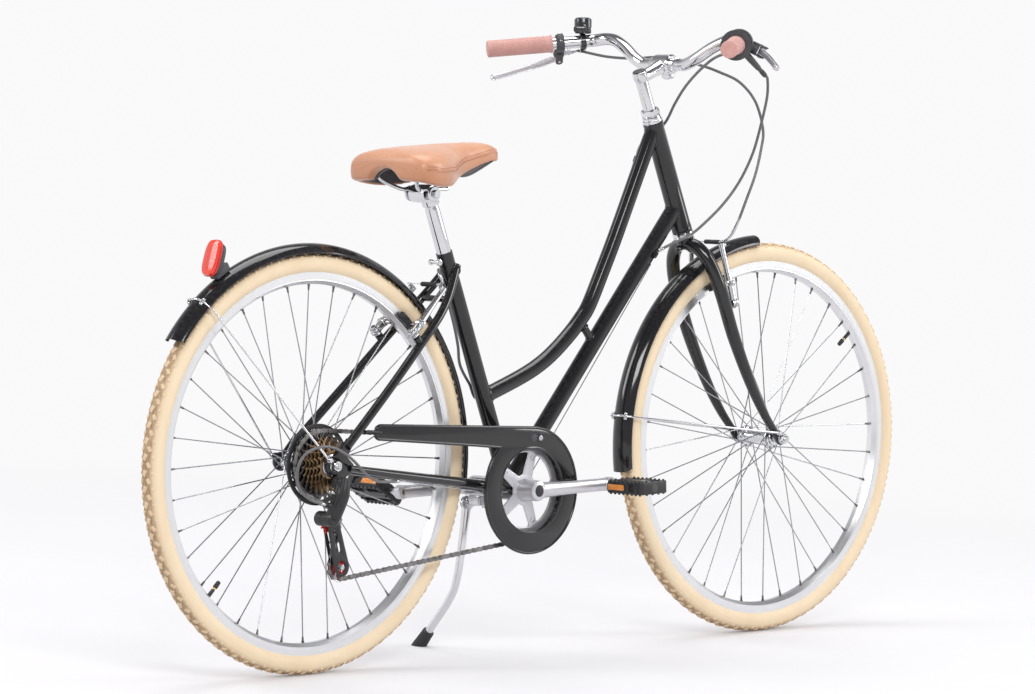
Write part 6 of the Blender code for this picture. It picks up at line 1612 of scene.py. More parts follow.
@dataclass
class Reflector:
    """The red rear reflector with its ribbed lens, rim and grey bracket."""

    turn: float = math.radians(121.0)
    fender_radius: float = FENDER_RADIUS

    def face(self, half_width: float, half_height: float) -> List[Pair]:
        """An upright oval outline with straight sides, a little narrower towards its ends."""
        outline = []
        for i in range(48):
            turn = math.tau * i / 48
            x, y = math.cos(turn), math.sin(turn)
            outline.append((half_width * math.copysign(abs(x) ** 0.62, x),
                            half_height * math.copysign(abs(y) ** 0.72, y)))
        return outline

    def build(self) -> None:
        """Stacks the lens, rim, housing and foot, and ribs the lens."""
        outward = in_plane(self.turn)
        along = Vector((-outward.z, 0.0, outward.x))
        back = Vector((-0.955, 0.0, 0.297)).normalized()
        centre = REAR_FENDER_CENTRE + outward * (self.fender_radius + 0.035) - along * 0.001
        seat = REAR_FENDER_CENTRE + outward * (self.fender_radius + 0.009) - along * 0.004
        lens = plate("lens", [self.face(0.0172, 0.03)], 0.008,
                     framed(centre + back * 0.0006, Y, back), 0.0032)
        rib = slab("rib", framed(centre + back * 0.0044, Y, back), (0.0225, 0.0011, 0.001), 0.0003)
        up = back.cross(Y)
        ribs = copies("ribs", dressed(rib, RED_LENS),
                      [Matrix.Translation(up * 0.0021 * (i - 10)) for i in range(21)])
        rim = plate("rim", [self.face(0.0186, 0.0312)], 0.005,
                    framed(centre - back * 0.002, Y, back), 0.0016)
        housing = plate("housing", [self.face(0.0168, 0.027)], 0.013,
                        framed(centre - back * 0.009, Y, back), 0.0045)
        foot = slab("foot", framed(seat - outward * 0.0006, Y, outward),
                    (0.02, 0.032, 0.015), 0.0025)
        bolt = pin("bolt", seat + outward * 0.0065, seat + outward * 0.009, 0.0034)
        pieces = [dressed(lens, RED_LENS), ribs, dressed(rim, RED_PLASTIC),
                  dressed(housing, GREY_PLASTIC), dressed(foot, GREY_PLASTIC),
                  dressed(bolt, STEEL)]
        clad("rear_reflector", pieces, "frame_body")


def rear_fender() -> Fender:
    """The long rear fender."""
    foot = (-0.013, REAR_DROPOUT_Y + 0.005, TYRE_RADIUS + 0.01)
    return Fender("rear", REAR_FENDER_CENTRE, math.radians(-8.5), math.radians(144.0),
                  math.radians(131.0), foot, "frame_body", 0.006)


def front_fender() -> Fender:
    """The shorter front fender, which steers with the fork."""
    foot = (FRONT_AXLE.x - 0.014, FRONT_DROPOUT_Y + 0.009, TYRE_RADIUS + 0.011)
    return Fender("front", FRONT_AXLE, math.radians(93.5), math.radians(187.5),
                  math.radians(171.8), foot, "steering_body", 0.01)


# Handlebar and controls
def on_bar(distance: float, side: float) -> Vector:
    """A point on the handlebar's axis, at a distance in from its end."""
    return sided(BAR_TIP + BAR_INWARD * distance, side)


def bar_out(side: float, drop: float) -> Vector:
    """The direction square to the bar that points ahead and, by the angle drop, down."""
    inward = sided(BAR_INWARD, side)
    level = Vector((-inward.y, inward.x, 0.0)).normalized() * side
    down = inward.cross(level)
    down = down if down.z < 0 else -down
    return (level * math.cos(drop) + down * math.sin(drop)).normalized()


@dataclass
class Stem:
    """The quill stem with its cap bolt, tapering extension and split clamp."""

    quill: float = 0.0111
    clamp_radius: float = 0.0127
    rise: float = 0.083

    def build(self) -> None:
        """Turns the quill and clamp and joins them with the extension."""
        knee = HEAD_TOP + UP_STEER * self.rise
        top = knee + UP_STEER * 0.009
        bottom = HEAD_TOP - UP_STEER * 0.051
        outer = self.clamp_radius + 0.0052
        half = 0.019
        band = [(self.clamp_radius + GAP, half), (outer - 0.0022, half), (outer, half - 0.0022),
                (outer, 0.0022 - half), (outer - 0.0022, -half), (self.clamp_radius + GAP, -half)]
        arm = [knee - FORE_STEER * 0.004, knee + FORE_STEER * 0.012,
               knee + FORE_STEER * 0.03, CLAMP - FORE_STEER * 0.006]
        ears = CLAMP - UP_STEER * 0.0205
        bore = cross_pin("bore", CLAMP, 0.04, self.clamp_radius + GAP, 40)
        slit = slab("slit", framed(ears, FORE_STEER, UP_STEER), (0.0018, 0.06, 0.02), 0.0001)
        extension = pipe("extension", [smooth_path(arm, 5)], 0.0125,
                         smooth_values((0.012, 0.0112, 0.0118, 0.014), 5), sides=28)
        lugs = slab("lugs", framed(ears, FORE_STEER, UP_STEER), (0.0135, 0.015, 0.0125), 0.003)
        body = cut(joined("body", [extension, lugs]), [bore, slit])
        cap = [(0.0, 0.0046), (0.006, 0.0046), (0.0104, 0.0038), (0.0124, 0.0022),
               (0.0132, -0.0004), (0.0132, -0.01), (0.0118, -0.013), (self.quill, -0.015)]
        seat = CLAMP - UP_STEER * 0.0215
        plug = [(0.0, 0.0058), (0.0098, 0.0055), (0.0112, 0.0047), (0.0116, 0.0034), (0.0, 0.0034)]
        lid = turned("plug", plug, aimed(top, UP_STEER), 48, closed=False)
        pieces = [dressed(p, CHROME) for p in (
            pin("quill", bottom, top, self.quill, sides=40),
            turned("cap", cap, aimed(top, UP_STEER), 56, closed=False),
            turned("clamp", band, aimed(CLAMP, Y), 56), body)]
        pieces += [dressed(lid, GREY_PLASTIC),
                   dressed(cross_pin("bolt", seat, 0.01, 0.003), STEEL),
                   dressed(hexagon("nut", seat + Y * 0.0072, seat + Y * 0.0108, 0.0048),
                           STEEL),
                   dressed(pin("bolt head", seat - Y * 0.0072, seat - Y * 0.0112, 0.0048), STEEL)]
        clad("stem", pieces, "steering_body")


@dataclass
class Handlebar:
    """The swept bar, its sleeve at the clamp, and the two ribbed grips."""

    sleeve: float = 0.0127
    grip: float = 0.0152
    lengths: Pair = (0.117, 0.09)

    def bar(self) -> None:
        """Sweeps the bar through its bends, thicker at the stem."""
        half = [BAR_TIP + BAR_INWARD * s for s in (0.0035, 0.09, 0.18, 0.195)]
        half += [Vector((0.8505, 0.161, 1.059)), Vector((0.8505, 0.137, 1.056)),
                 Vector((0.844, 0.106, 1.043)),
                 Vector((CLAMP.x + 0.0015, 0.076, CLAMP.z + 0.011)),
                 Vector((CLAMP.x, 0.05, CLAMP.z)), Vector((CLAMP.x, 0.03, CLAMP.z))]
        left = half[:2] + smooth_path(half[2:], 7)
        path = left + [sided(p, -1.0) for p in reversed(left)]
        tube = pipe("tube", [path], BAR_RADIUS, sides=32)
        sleeve = pin("sleeve", CLAMP - Y * 0.03, CLAMP + Y * 0.03, self.sleeve, sides=40,
                     round_off=0.0011)
        clad("handlebar", [dressed(tube, CHROME), dressed(sleeve, CHROME)],
             "steering_body")

    def grip_on(self, side: Side, length: float) -> None:
        """A rubber sleeve with fine rings, a collar at its inner end and a domed outer end."""
        bore = BAR_RADIUS + GAP
        profile = [(0.0, 0.0003), (0.004, 0.0003), (0.0046, 0.0), (self.grip - 0.0026, 0.0),
                   (self.grip - 0.0006, 0.0008), (self.grip, 0.0026), (self.grip, 0.007),
                   (self.grip - 0.0006, 0.0076)]
        step = 0.0032
        for i in range(int((length - 0.019) / step)):
            low = 0.0082 + i * step
            profile += [(self.grip - 0.0006, low), (self.grip - 0.0001, low + 0.0005),
                        (self.grip - 0.0001, low + step - 0.0008),
                        (self.grip - 0.0006, low + step - 0.0003)]
        profile += [(self.grip, length - 0.009), (self.grip, length - 0.004),
                    (self.grip + 0.001, length - 0.0032), (self.grip + 0.001, length - 0.0006),
                    (self.grip + 0.0004, length), (bore, length), (bore, 0.003), (0.0, 0.003)]
        sleeve = turned("sleeve", profile,
                        aimed(on_bar(0.0, side.value), sided(BAR_INWARD, side.value)), 48, False)
        name = "grip_" + side.name.lower()
        clad(name, [dressed(sleeve, GRIP_RUBBER)], "steering_body")

    def build(self) -> None:
        """Makes the bar and both grips."""
        self.bar()
        for side, length in zip(Side, self.lengths):
            self.grip_on(side, length)


@dataclass
class TwistShifter:
    """The twist sleeve with its finger ribs, and its housing with the cable's nose."""

    start: float = 0.0903
    length: float = 0.038

    def build(self) -> None:
        """Makes the turning sleeve and the fixed housing."""
        bore = BAR_RADIUS + GAP
        inward = sided(BAR_INWARD, -1.0)
        place = aimed(on_bar(self.start, -1.0), inward)
        long = self.length
        sleeve = turned("sleeve",
                        [(0.018, long), (0.0186, long - 0.001), (0.0186, 0.0048), (0.02, 0.004),
                         (0.0258, 0.003), (0.0265, 0.0018), (0.0265, 0.0004), (0.026, 0.0),
                         (bore, 0.0), (bore, long)], place, 64)
        rib = slab("rib", Matrix.Translation((0.0186, 0.0, 0.0225)),
                   (0.0018, 0.0022, 0.029), 0.0005)
        ribs = copies("ribs", dressed(rib, GREY_PLASTIC),
                      [place @ Matrix.Rotation(math.tau * i / 22, 4, "Z") for i in range(22)])
        clad("twist_sleeve", [dressed(sleeve, GREY_PLASTIC), ribs], "twist_grip")
        centre = on_bar(self.start + long + GAP, -1.0)
        shell = turned("shell",
                       [(0.0185, 0.018), (0.0212, 0.0174), (0.024, 0.015), (0.0245, 0.013),
                        (0.0245, 0.01), (0.0238, 0.0094), (0.0238, 0.0086), (0.0245, 0.008),
                        (0.0245, 0.0006), (0.0238, 0.0), (bore, 0.0), (bore, 0.018)],
                       aimed(centre, inward), 64)
        root = centre + inward * 0.009 + bar_out(-1.0, math.radians(60.0)) * 0.018
        tip = Vector((0.896, -0.185, 0.996))
        nose = pipe("nose",
                    [[root + (tip - root) * t
                      for t in (0.0, 0.35, 0.66, 0.7, 0.8, 0.83, 0.97, 1.0)]], 0.0062,
                    [0.0064, 0.006, 0.005, 0.004, 0.004, 0.0046, 0.0044, 0.0036], 20)
        index = slab("index",
                     framed(on_bar(self.start + long - 0.0006, -1.0) + Z * 0.0215, inward, Z),
                     (0.003, 0.006, 0.0012), 0.0004)
        screw = pin("screw", centre + inward * 0.01 - Z * 0.0238,
                    centre + inward * 0.01 - Z * 0.0252, 0.0026)
        clad("shifter_housing",
             [dressed(shell, GREY_PLASTIC), dressed(nose, BLACK_PLASTIC),
              dressed(index, RED_PLASTIC), dressed(screw, STEEL)], "steering_body")


@dataclass
class BrakeLever:
    """A brake lever: the bracket with its knurled adjuster, and the blade in its clevis."""

    side: Side
    seat: float
    drop: float
    pivot_reach: float = 0.04
    barrel_offset: float = 0.0265
    barrel_length: float = 0.026

    @property
    def inward(self) -> Vector:
        """Along the bar, towards the stem."""
        return sided(BAR_INWARD, self.side.value)

    @property
    def out(self) -> Vector:
        """Square to the bar, towards the blade."""
        return bar_out(self.side.value, self.drop)

    def bracket(self, name: str) -> None:
        """The clamp with its bolt, the cast body, two cheeks and the adjuster."""
        inward, out = self.inward, self.out
        hinge = inward.cross(out)
        centre = on_bar(self.seat, self.side.value)
        pivot = centre + out * self.pivot_reach
        barrel = centre + out * self.barrel_offset
        bore = BAR_RADIUS + GAP
        band = ring("band", centre, inward, bore, 0.016, -0.007, 0.007, 48, 0.0014)
        body = pipe("body",
                    [[centre + out * d for d in (0.0145, 0.0185, 0.024, 0.03, 0.0322)]], 0.01,
                    [0.0092, 0.0086, 0.0092, 0.0104, 0.0096], 24)
        cheeks = [plate("cheek", [tongue((0.0, -0.01), 0.0062, (0.0, 0.007), 0.0066, 8)],
                        0.0024,
                        framed(centre + out * 0.0345 + hinge * way * 0.0092, inward, hinge),
                        0.0007) for way in (1.0, -1.0)]
        lug = slab("lug", framed(centre - out * 0.0165, inward, out), (0.011, 0.015, 0.006),
                   0.0018)
        shell = dressed(joined("shell", [band, body, lug] + cheeks), GREY_PLASTIC)
        tip = barrel + inward * self.barrel_length
        rings = pipe("barrel",
                     [[barrel + inward * d
                       for d in (0.004, 0.011, 0.0112, 0.0135, 0.0137, 0.015, 0.0152, 0.02,
                                 0.0202)] + [tip]], 0.0058,
                     [0.004, 0.004, 0.0058, 0.0058, 0.0034, 0.0034, 0.0052, 0.0052, 0.0042,
                      0.0038], 24)
        knurl = slab("knurl", Matrix.Translation((0.0051, 0.0, 0.0)),
                     (0.001, 0.001, 0.0046), 0.0003)
        turns = [aimed(barrel + inward * 0.0176, inward)
                 @ Matrix.Rotation(math.tau * i / 16, 4, "Z") for i in range(16)]
        pieces = [shell, dressed(rings, STEEL),
                  copies("knurls", dressed(knurl, STEEL), turns),
                  dressed(pin("pin", pivot - hinge * 0.0112, pivot + hinge * 0.0112, 0.0025),
                          STEEL),
                  dressed(pin("pin head", pivot + hinge * 0.0104, pivot + hinge * 0.012,
                              0.004), STEEL),
                  dressed(pin("bolt", centre - out * 0.0165 - hinge * 0.0085,
                              centre - out * 0.0165 + hinge * 0.0085, 0.0026), STEEL)]
        clad("brake_bracket_" + name, pieces, "steering_body")

    def blade(self, name: str) -> None:
        """The flat, curved blade with its ball end, and the eye on the pin."""
        inward, out = self.inward, self.out
        hinge = inward.cross(out)
        pivot = on_bar(self.seat, self.side.value) + out * self.pivot_reach
        spine = smooth_path([Vector(p) for p in ((0.0, 0.0, 0.005), (0.012, 0.005, 0.0052),
                                                 (0.04, 0.018, 0.005), (0.075, 0.03, 0.0044),
                                                 (0.1, 0.038, 0.0044), (0.115, 0.042, 0.005))], 6)
        upper, lower = [], []
        for before, here, after in zip([spine[0]] + spine, spine, spine[1:] + [spine[-1]]):
            way = (after - before).normalized()
            side_way = Vector((-way.y, way.x, 0.0)) * here.z
            upper.append(((here + side_way).x, -(here + side_way).y))
            lower.append(((here - side_way).x, -(here - side_way).y))
        tip = spine[-1]
        heading = math.atan2((tip - spine[-2]).y, (tip - spine[-2]).x)
        ball = [(tip.x + x, -(tip.y + y))
                for x, y in (polar(0.0056, heading + 2.0 - 0.4 * i) for i in range(11))]
        eye = [(x, -y)
               for x, y in (polar(0.0062, math.radians(60.0 + 30.0 * i)) for i in range(9))]
        outline = upper[3:-1] + ball + list(reversed(lower[3:-1])) + list(reversed(eye))
        hole = circle(0.0028, 16)
        thin = plate("blade", [outline, hole], 0.0092, framed(pivot, -inward, hinge), 0.0024)
        sleeve = ring("sleeve", pivot, hinge, 0.0028, 0.0062, -0.0072, 0.0072, 32, 0.0008)
        clad("brake_lever_" + name,
             [dressed(thin, SATIN_ALLOY), dressed(sleeve, SATIN_ALLOY)],
             name + "_lever")

    def build(self) -> None:
        """Makes the bracket and the blade."""
        name = self.side.name.lower()
        self.bracket(name)
        self.blade(name)


@dataclass
class Bell:
    """The small barrel bell beside the left lever, with its thumb lever."""

    seat: float = 0.1725
    radius: float = 0.0155

    def build(self) -> None:
        """Turns the dome and its barrel, and fits the clamp and lever."""
        inward = BAR_INWARD
        centre = on_bar(self.seat, 1.0)
        back = -bar_out(1.0, 0.0)
        hinge = centre + Z * 0.0215 + back * (self.radius + 0.0039)
        level = Vector((inward.x, inward.y, 0.0)).normalized()
        r = self.radius
        barrel = [(0.0, 0.0135), (0.012, 0.0135), (0.0146, 0.0142), (0.015, 0.016),
                  (0.015, 0.0215), (0.0142, 0.0222), (0.0142, 0.0236), (r, 0.0244), (r, 0.038),
                  (r - 0.0006, 0.04), (r - 0.003, 0.0416), (0.011, 0.0425), (0.006, 0.0427),
                  (0.0, 0.0427)]
        pieces = [turned("barrel", barrel, Matrix.Translation(centre), 56, False),
                  ring("band", centre, inward, BAR_RADIUS + GAP, 0.0146, -0.005, 0.005, 48, 0.001),
                  slab("lugs", aimed(centre - Z * 0.0165, Z), (0.008, 0.008, 0.007), 0.0016)]
        for end in (1.0, -1.0):
            ear = hinge - back * 0.002 + Z * end * 0.006
            pieces.append(slab("ear", framed(ear, level, Z), (0.006, 0.009, 0.0024), 0.0007))
        shell = dressed(joined("shell", pieces), SMOKED)
        screw = pin("screw", centre - Z * 0.017 - level * 0.005,
                    centre - Z * 0.017 + level * 0.005, 0.0018)
        rivet = pin("rivet", hinge - Z * 0.008, hinge + Z * 0.008, 0.0014, sides=16)
        nut = pin("nut", centre + Z * 0.0424, centre + Z * 0.0436, 0.003, 0.0024)
        clad("bell", [shell] + [dressed(p, STEEL) for p in (screw, rivet, nut)], "steering_body")
        outline = tongue((0.0, 0.0), 0.0034, (-0.016, 0.0), 0.0018, 6)
        tab = plate("tab", [outline, circle(0.0017, 12)], 0.009, framed(hinge, level, Z), 0.0005)
        pad = slab("pad", framed(hinge - level * 0.017, level, Z), (0.0052, 0.004, 0.0088), 0.0012)
        clad("bell_lever", [dressed(tab, SMOKED), dressed(pad, BLACK_PLASTIC)],
             "bell_striker")


# Cables
class Route(Enum):
    """The points of each cable's centre line beyond its lever or shifter."""

    FRONT_BRAKE = ((0.862, 0.17, 1.028), (0.878, 0.118, 1.025), (0.885, 0.06, 1.027),
                   (0.906, -0.012, 1.015), (0.936, -0.04, 1.001), (0.97, -0.055, 0.984),
                   (1.001, -0.064, 0.95), (1.017, -0.068, 0.901), (1.01, -0.07, 0.865),
                   (0.996, -0.07, 0.821), (0.978, -0.066, 0.777), (0.966, -0.06, 0.742),
                   (0.96, -0.05, 0.717), (0.956, -0.038, 0.705), (0.9545, -0.024, 0.7015),
                   (0.9545, 0.036, 0.7015))
    REAR_BRAKE_FRONT = ((0.8634, -0.16, 1.0385), (0.847, -0.12, 1.03), (0.843, -0.085, 1.0095),
                        (0.8345, -0.055, 0.979), (0.832, -0.03, 0.947), (0.8375, -0.003, 0.915),
                        (0.831, 0.0205, 0.89), (0.808, 0.0225, 0.879), (0.7925, 0.018, 0.868))
    REAR_BRAKE_REAR = ((0.412, 0.0195, 0.4395), (0.386, 0.0188, 0.468), (0.362, 0.0165, 0.5),
                       (0.347, 0.006, 0.533), (0.333, 0.0, 0.565), (0.321, -0.002, 0.595),
                       (0.313, -0.003, 0.618), (0.3, -0.006, 0.642), (0.284, -0.015, 0.66),
                       (0.266, -0.03, 0.665), (0.258, -0.041, 0.658), (0.26, -0.045, 0.648),
                       (0.2648, -0.04, 0.6415), (0.2665, -0.028, 0.6397), (0.2665, 0.036, 0.6397))
    SHIFT_FRONT = ((0.8965, -0.1848, 0.9957), (0.906, -0.181, 0.99), (0.926, -0.162, 0.96),
                   (0.95, -0.126, 0.912), (0.968, -0.09, 0.86), (0.966, -0.062, 0.812),
                   (0.942, -0.047, 0.772), (0.902, -0.04, 0.738), (0.868, -0.034, 0.715),
                   (0.83, -0.024, 0.699), (0.806, -0.0182, 0.688))
    SHIFT_BARE = ((0.788, -0.0176, 0.665), (0.485, -0.018, 0.293), (0.473, -0.019, 0.268),
                  (0.457, -0.02, 0.2652), (0.43, -0.028, 0.273), (0.39, -0.033, 0.2755),
                  (0.355, -0.0345, 0.2895), (0.3, -0.0395, 0.297), (0.16, -0.053, 0.3155))
    SHIFT_LOOP = ((0.16, -0.053, 0.3155), (0.13, -0.056, 0.3165), (0.1, -0.061, 0.32),
                  (0.064, -0.074, 0.334), (0.024, -0.085, 0.36), (-0.015, -0.09, 0.379),
                  (-0.051, -0.093, 0.384), (-0.084, -0.092, 0.374), (-0.099, -0.09, 0.352),
                  (-0.096, -0.087, 0.322), (-0.07, -0.084, 0.3), (-0.033, -0.083, 0.288))

    def points(self) -> Path:
        """The route's points as vectors."""
        return [Vector(p) for p in self.value]


@dataclass
class Cables:
    """Every housing with its ferrules, the bare wires, the noodles and their rubber boots."""

    levers: Sequence[BrakeLever]
    top_line: Path
    housing: float = 0.0025
    wire: float = 0.0009

    def exit(self, lever: BrakeLever) -> Path:
        """The first points out of a lever's adjuster."""
        tip = (on_bar(lever.seat, lever.side.value) + lever.out * lever.barrel_offset
               + lever.inward * lever.barrel_length)
        return [tip + lever.inward * GAP, tip + lever.inward * 0.012]

    def ferrule(self, end: Vector, inner: Vector) -> Object:
        """A metal cap on a housing's end."""
        way = (inner - end).normalized()
        return dressed(pipe("ferrule",
                            [[end, end + way * 0.0008, end + way * 0.009, end + way * 0.01]],
                            0.003, [0.0026, 0.003, 0.003, 0.0026], 16), STEEL)

    def sleeved(self, run: Path, *ends: Tuple[int, int]) -> List[Object]:
        """A grey housing along a run, with a ferrule at each (end, inner) pair of its points."""
        housing = dressed(pipe("housing", [run], self.housing, sides=16), CABLE)
        return [housing] + [self.ferrule(run[end], run[inner]) for end, inner in ends]

    def brake_end(self, path: Path, level: Vector) -> List[Object]:
        """The bright noodle, the ribbed boot and the bare wire between a brake's two arms."""
        boot: Path = []
        radii: List[float] = []
        for i in range(9):
            boot += [Vector((level.x, -0.0225 + 0.004 * i, level.z)),
                     Vector((level.x, -0.0205 + 0.004 * i, level.z))]
            radii += [0.0042, 0.0032]
        far = Vector((level.x, 0.0425, level.z))
        return [dressed(pipe("noodle", [smooth_path(path, 6)], 0.0025, sides=20), STEEL),
                dressed(pipe("boot", [boot], 0.004, radii, 20), FOOT_RUBBER),
                dressed(pipe("wire", [[Vector((level.x, -0.026, level.z)), far]], 0.0008,
                             sides=8), STEEL),
                dressed(pin("nipple", far - Y * 0.004, far + Y * 0.003, 0.0016, sides=16), STEEL)]

    def build(self) -> None:
        """Lays all five cables."""
        left, right = self.levers
        front = self.exit(left) + Route.FRONT_BRAKE.points()
        run = smooth_path(front[:-3], 6)
        pieces = self.sleeved(run, (0, 4), (-1, -6)) + self.brake_end(front[-6:-1], front[-1])
        clad("front_brake_cable", pieces, "steering_body")
        stop, up = REAR_STOP, REAR_STOP_WAY
        run = smooth_path(self.exit(right) + Route.REAR_BRAKE_FRONT.points()
                          + [stop + up * 0.0053], 6)
        self.crossing("rear_brake_cable_front", self.sleeved(run, (0, 4), (-1, -6)))
        rear = [stop - up * 0.0053]
        line = self.top_line
        aside = 0.0135 + self.housing + 0.0009
        for before, here, after in zip(line[1:], line[2:], line[3:]):
            below = (after - before).normalized().cross(Y)
            below = below if below.z < 0 else -below
            rear.append(here + Y * aside * math.cos(0.35) + below * aside * math.sin(0.35))
        rear += Route.REAR_BRAKE_REAR.points()
        run = smooth_path(rear[:-3], 6)
        pieces = self.sleeved(run, (0, 6), (-1, -6)) + self.brake_end(rear[-6:-1], rear[-1])
        clad("rear_brake_cable_rear", pieces, "frame_body")
        run = smooth_path(Route.SHIFT_FRONT.points(), 6)
        self.crossing("shift_cable_front", self.sleeved(run, (-1, -6)))
        bare = Route.SHIFT_BARE.points()
        loop = smooth_path(Route.SHIFT_LOOP.points(), 6)
        wire = dressed(pipe("wire", [bare[:2] + smooth_path(bare[2:], 4)], self.wire,
                            sides=8), STEEL)
        pieces = [wire] + self.sleeved(loop, (0, 8), (-1, -6))
        clad("shift_cable_rear", pieces, "frame_body")

    def crossing(self, node: str, pieces: Sequence[Object]) -> None:
        """Fits a cable that runs from the frame to the turning bar, hung on no body, its mesh baked in
        place.

        Args:
            node: The CAD cable that the pieces replace.
            pieces: The dressed housing and its ferrules.
        """
        piece = clad(node, pieces, None)
        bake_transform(piece)


# Brakes
@dataclass
class BrakeArm:
    """One arm of a V-brake: forging, pivot with its spring, pad holder and rubber pad."""

    name: str
    base: Vector
    axis: Vector
    up: Vector
    wheel: Vector
    side: Side
    body: str
    length: float = 0.106
    top_y: float = 0.037
    pad_radius: float = 0.3095

    def build(self) -> None:
        """Makes the arm where the CAD holds it."""
        way = self.side.value
        base = sided(self.base, way)
        rise = self.up * self.length + Y * way * (self.top_y - abs(base.y))
        radial = Vector((base.x, 0.0, base.z)) - self.wheel
        reach = radial.length
        radial.normalize()
        share = (self.pad_radius - reach) / (self.up.dot(radial) * self.length)
        seat = base + rise * share
        shoe = Vector((seat.x, way * (RIM_HALF_WIDTH + 0.0068), seat.z))
        tangent = Y.cross(radial)
        spine = smooth_path([base, seat, base + rise * 0.55, base + rise * 0.8, base + rise], 5)
        arm = pipe("arm", [spine], 0.006,
                   smooth_values((0.007, 0.0072, 0.0054, 0.0048, 0.005), 5), 20)
        pivot = [(0.0043, -0.006), (0.0078, -0.006), (0.0084, -0.0052), (0.0084, -0.002),
                 (0.0076, -0.0014), (0.0076, 0.003), (0.0084, 0.0036), (0.0084, 0.0052),
                 (0.0076, 0.006), (0.0043, 0.006)]
        hub = turned("hub", pivot, aimed(base, self.axis), 40)
        eye = ring("eye", seat, Y, 0.0034, 0.0078, -0.0042, 0.0042, 32, 0.001)
        body = dressed(joined("body", [arm, hub, eye]), POLISHED)
        bolt = pin("bolt", base + self.axis * 0.0062, base + self.axis * 0.0098, 0.0056, 0.0046)
        socket = pin("socket", base + self.axis * 0.0074, base + self.axis * 0.02, 0.0026,
                     sides=6, round_off=0.0)
        out = Y * way
        bits = [cut(bolt, [socket]), pin("stud", shoe + out * 0.002, seat + out * 0.012, 0.003),
                pin("washer in", seat - out * 0.0075, seat - out * 0.0044, 0.0056, 0.007),
                pin("washer out", seat + out * 0.0044, seat + out * 0.007, 0.007, 0.0056),
                hexagon("nut", seat + out * 0.0072, seat + out * 0.0112, 0.0052)]
        coil = [base - self.axis * (0.0044 - 0.00016 * i)
                + (self.up * math.cos(i * 0.5) + Y * math.sin(i * 0.5)) * 0.0089
                for i in range(40)]
        bits.append(pipe("spring",
                         [coil + [base + rise * 0.3 - self.axis * 0.0052 + out * 0.0044]],
                         0.0006, sides=8))
        clamp = base + rise * 0.97
        bits.append(pin("cable bolt", clamp + self.axis * 0.003, clamp + self.axis * 0.0082,
                        0.004))
        place = framed(shoe, tangent, Y)
        pad = slab("pad", place @ Matrix.Translation((0.0, 0.0, -way * 0.0014)),
                   (0.05, 0.01, 0.0056), 0.0012)
        grooves = [slab("groove", place @ Matrix.Translation((x, 0.0, -way * 0.0044)),
                        (0.0012, 0.013, 0.002), 0.0002) for x in (-0.015, -0.005, 0.005, 0.015)]
        holder = slab("holder", place @ Matrix.Translation((0.0, 0.0, way * 0.0024)),
                      (0.048, 0.0092, 0.0034), 0.0011)
        pieces = [body, dressed(cut(pad, [joined("grooves", grooves)]), PAD_RUBBER),
                  dressed(holder, BLACK_PLASTIC)]
        pieces += [dressed(p, STEEL) for p in bits]
        clad(self.name, pieces, self.body)


def brake_arms() -> List[BrakeArm]:
    """The four arms, on the bosses of the fork and the seatstays."""
    made = []
    for end, boss, axis, up, wheel in (
        ("front", FRONT_BOSS, FRONT_BOSS_WAY, Vector((-0.174, 0.0, 0.985)), FRONT_AXLE),
        ("rear", REAR_BOSS, REAR_BOSS_WAY, Vector((0.735, 0.0, 0.678)), REAR_AXLE),
    ):
        for side in Side:
            hand = side.name.lower()
            made.append(BrakeArm("%s_brake_arm_%s" % (end, hand), boss + axis * 0.025, axis,
                                 up.normalized(), wheel, side, "%s_%s_arm" % (end, hand)))
    return made


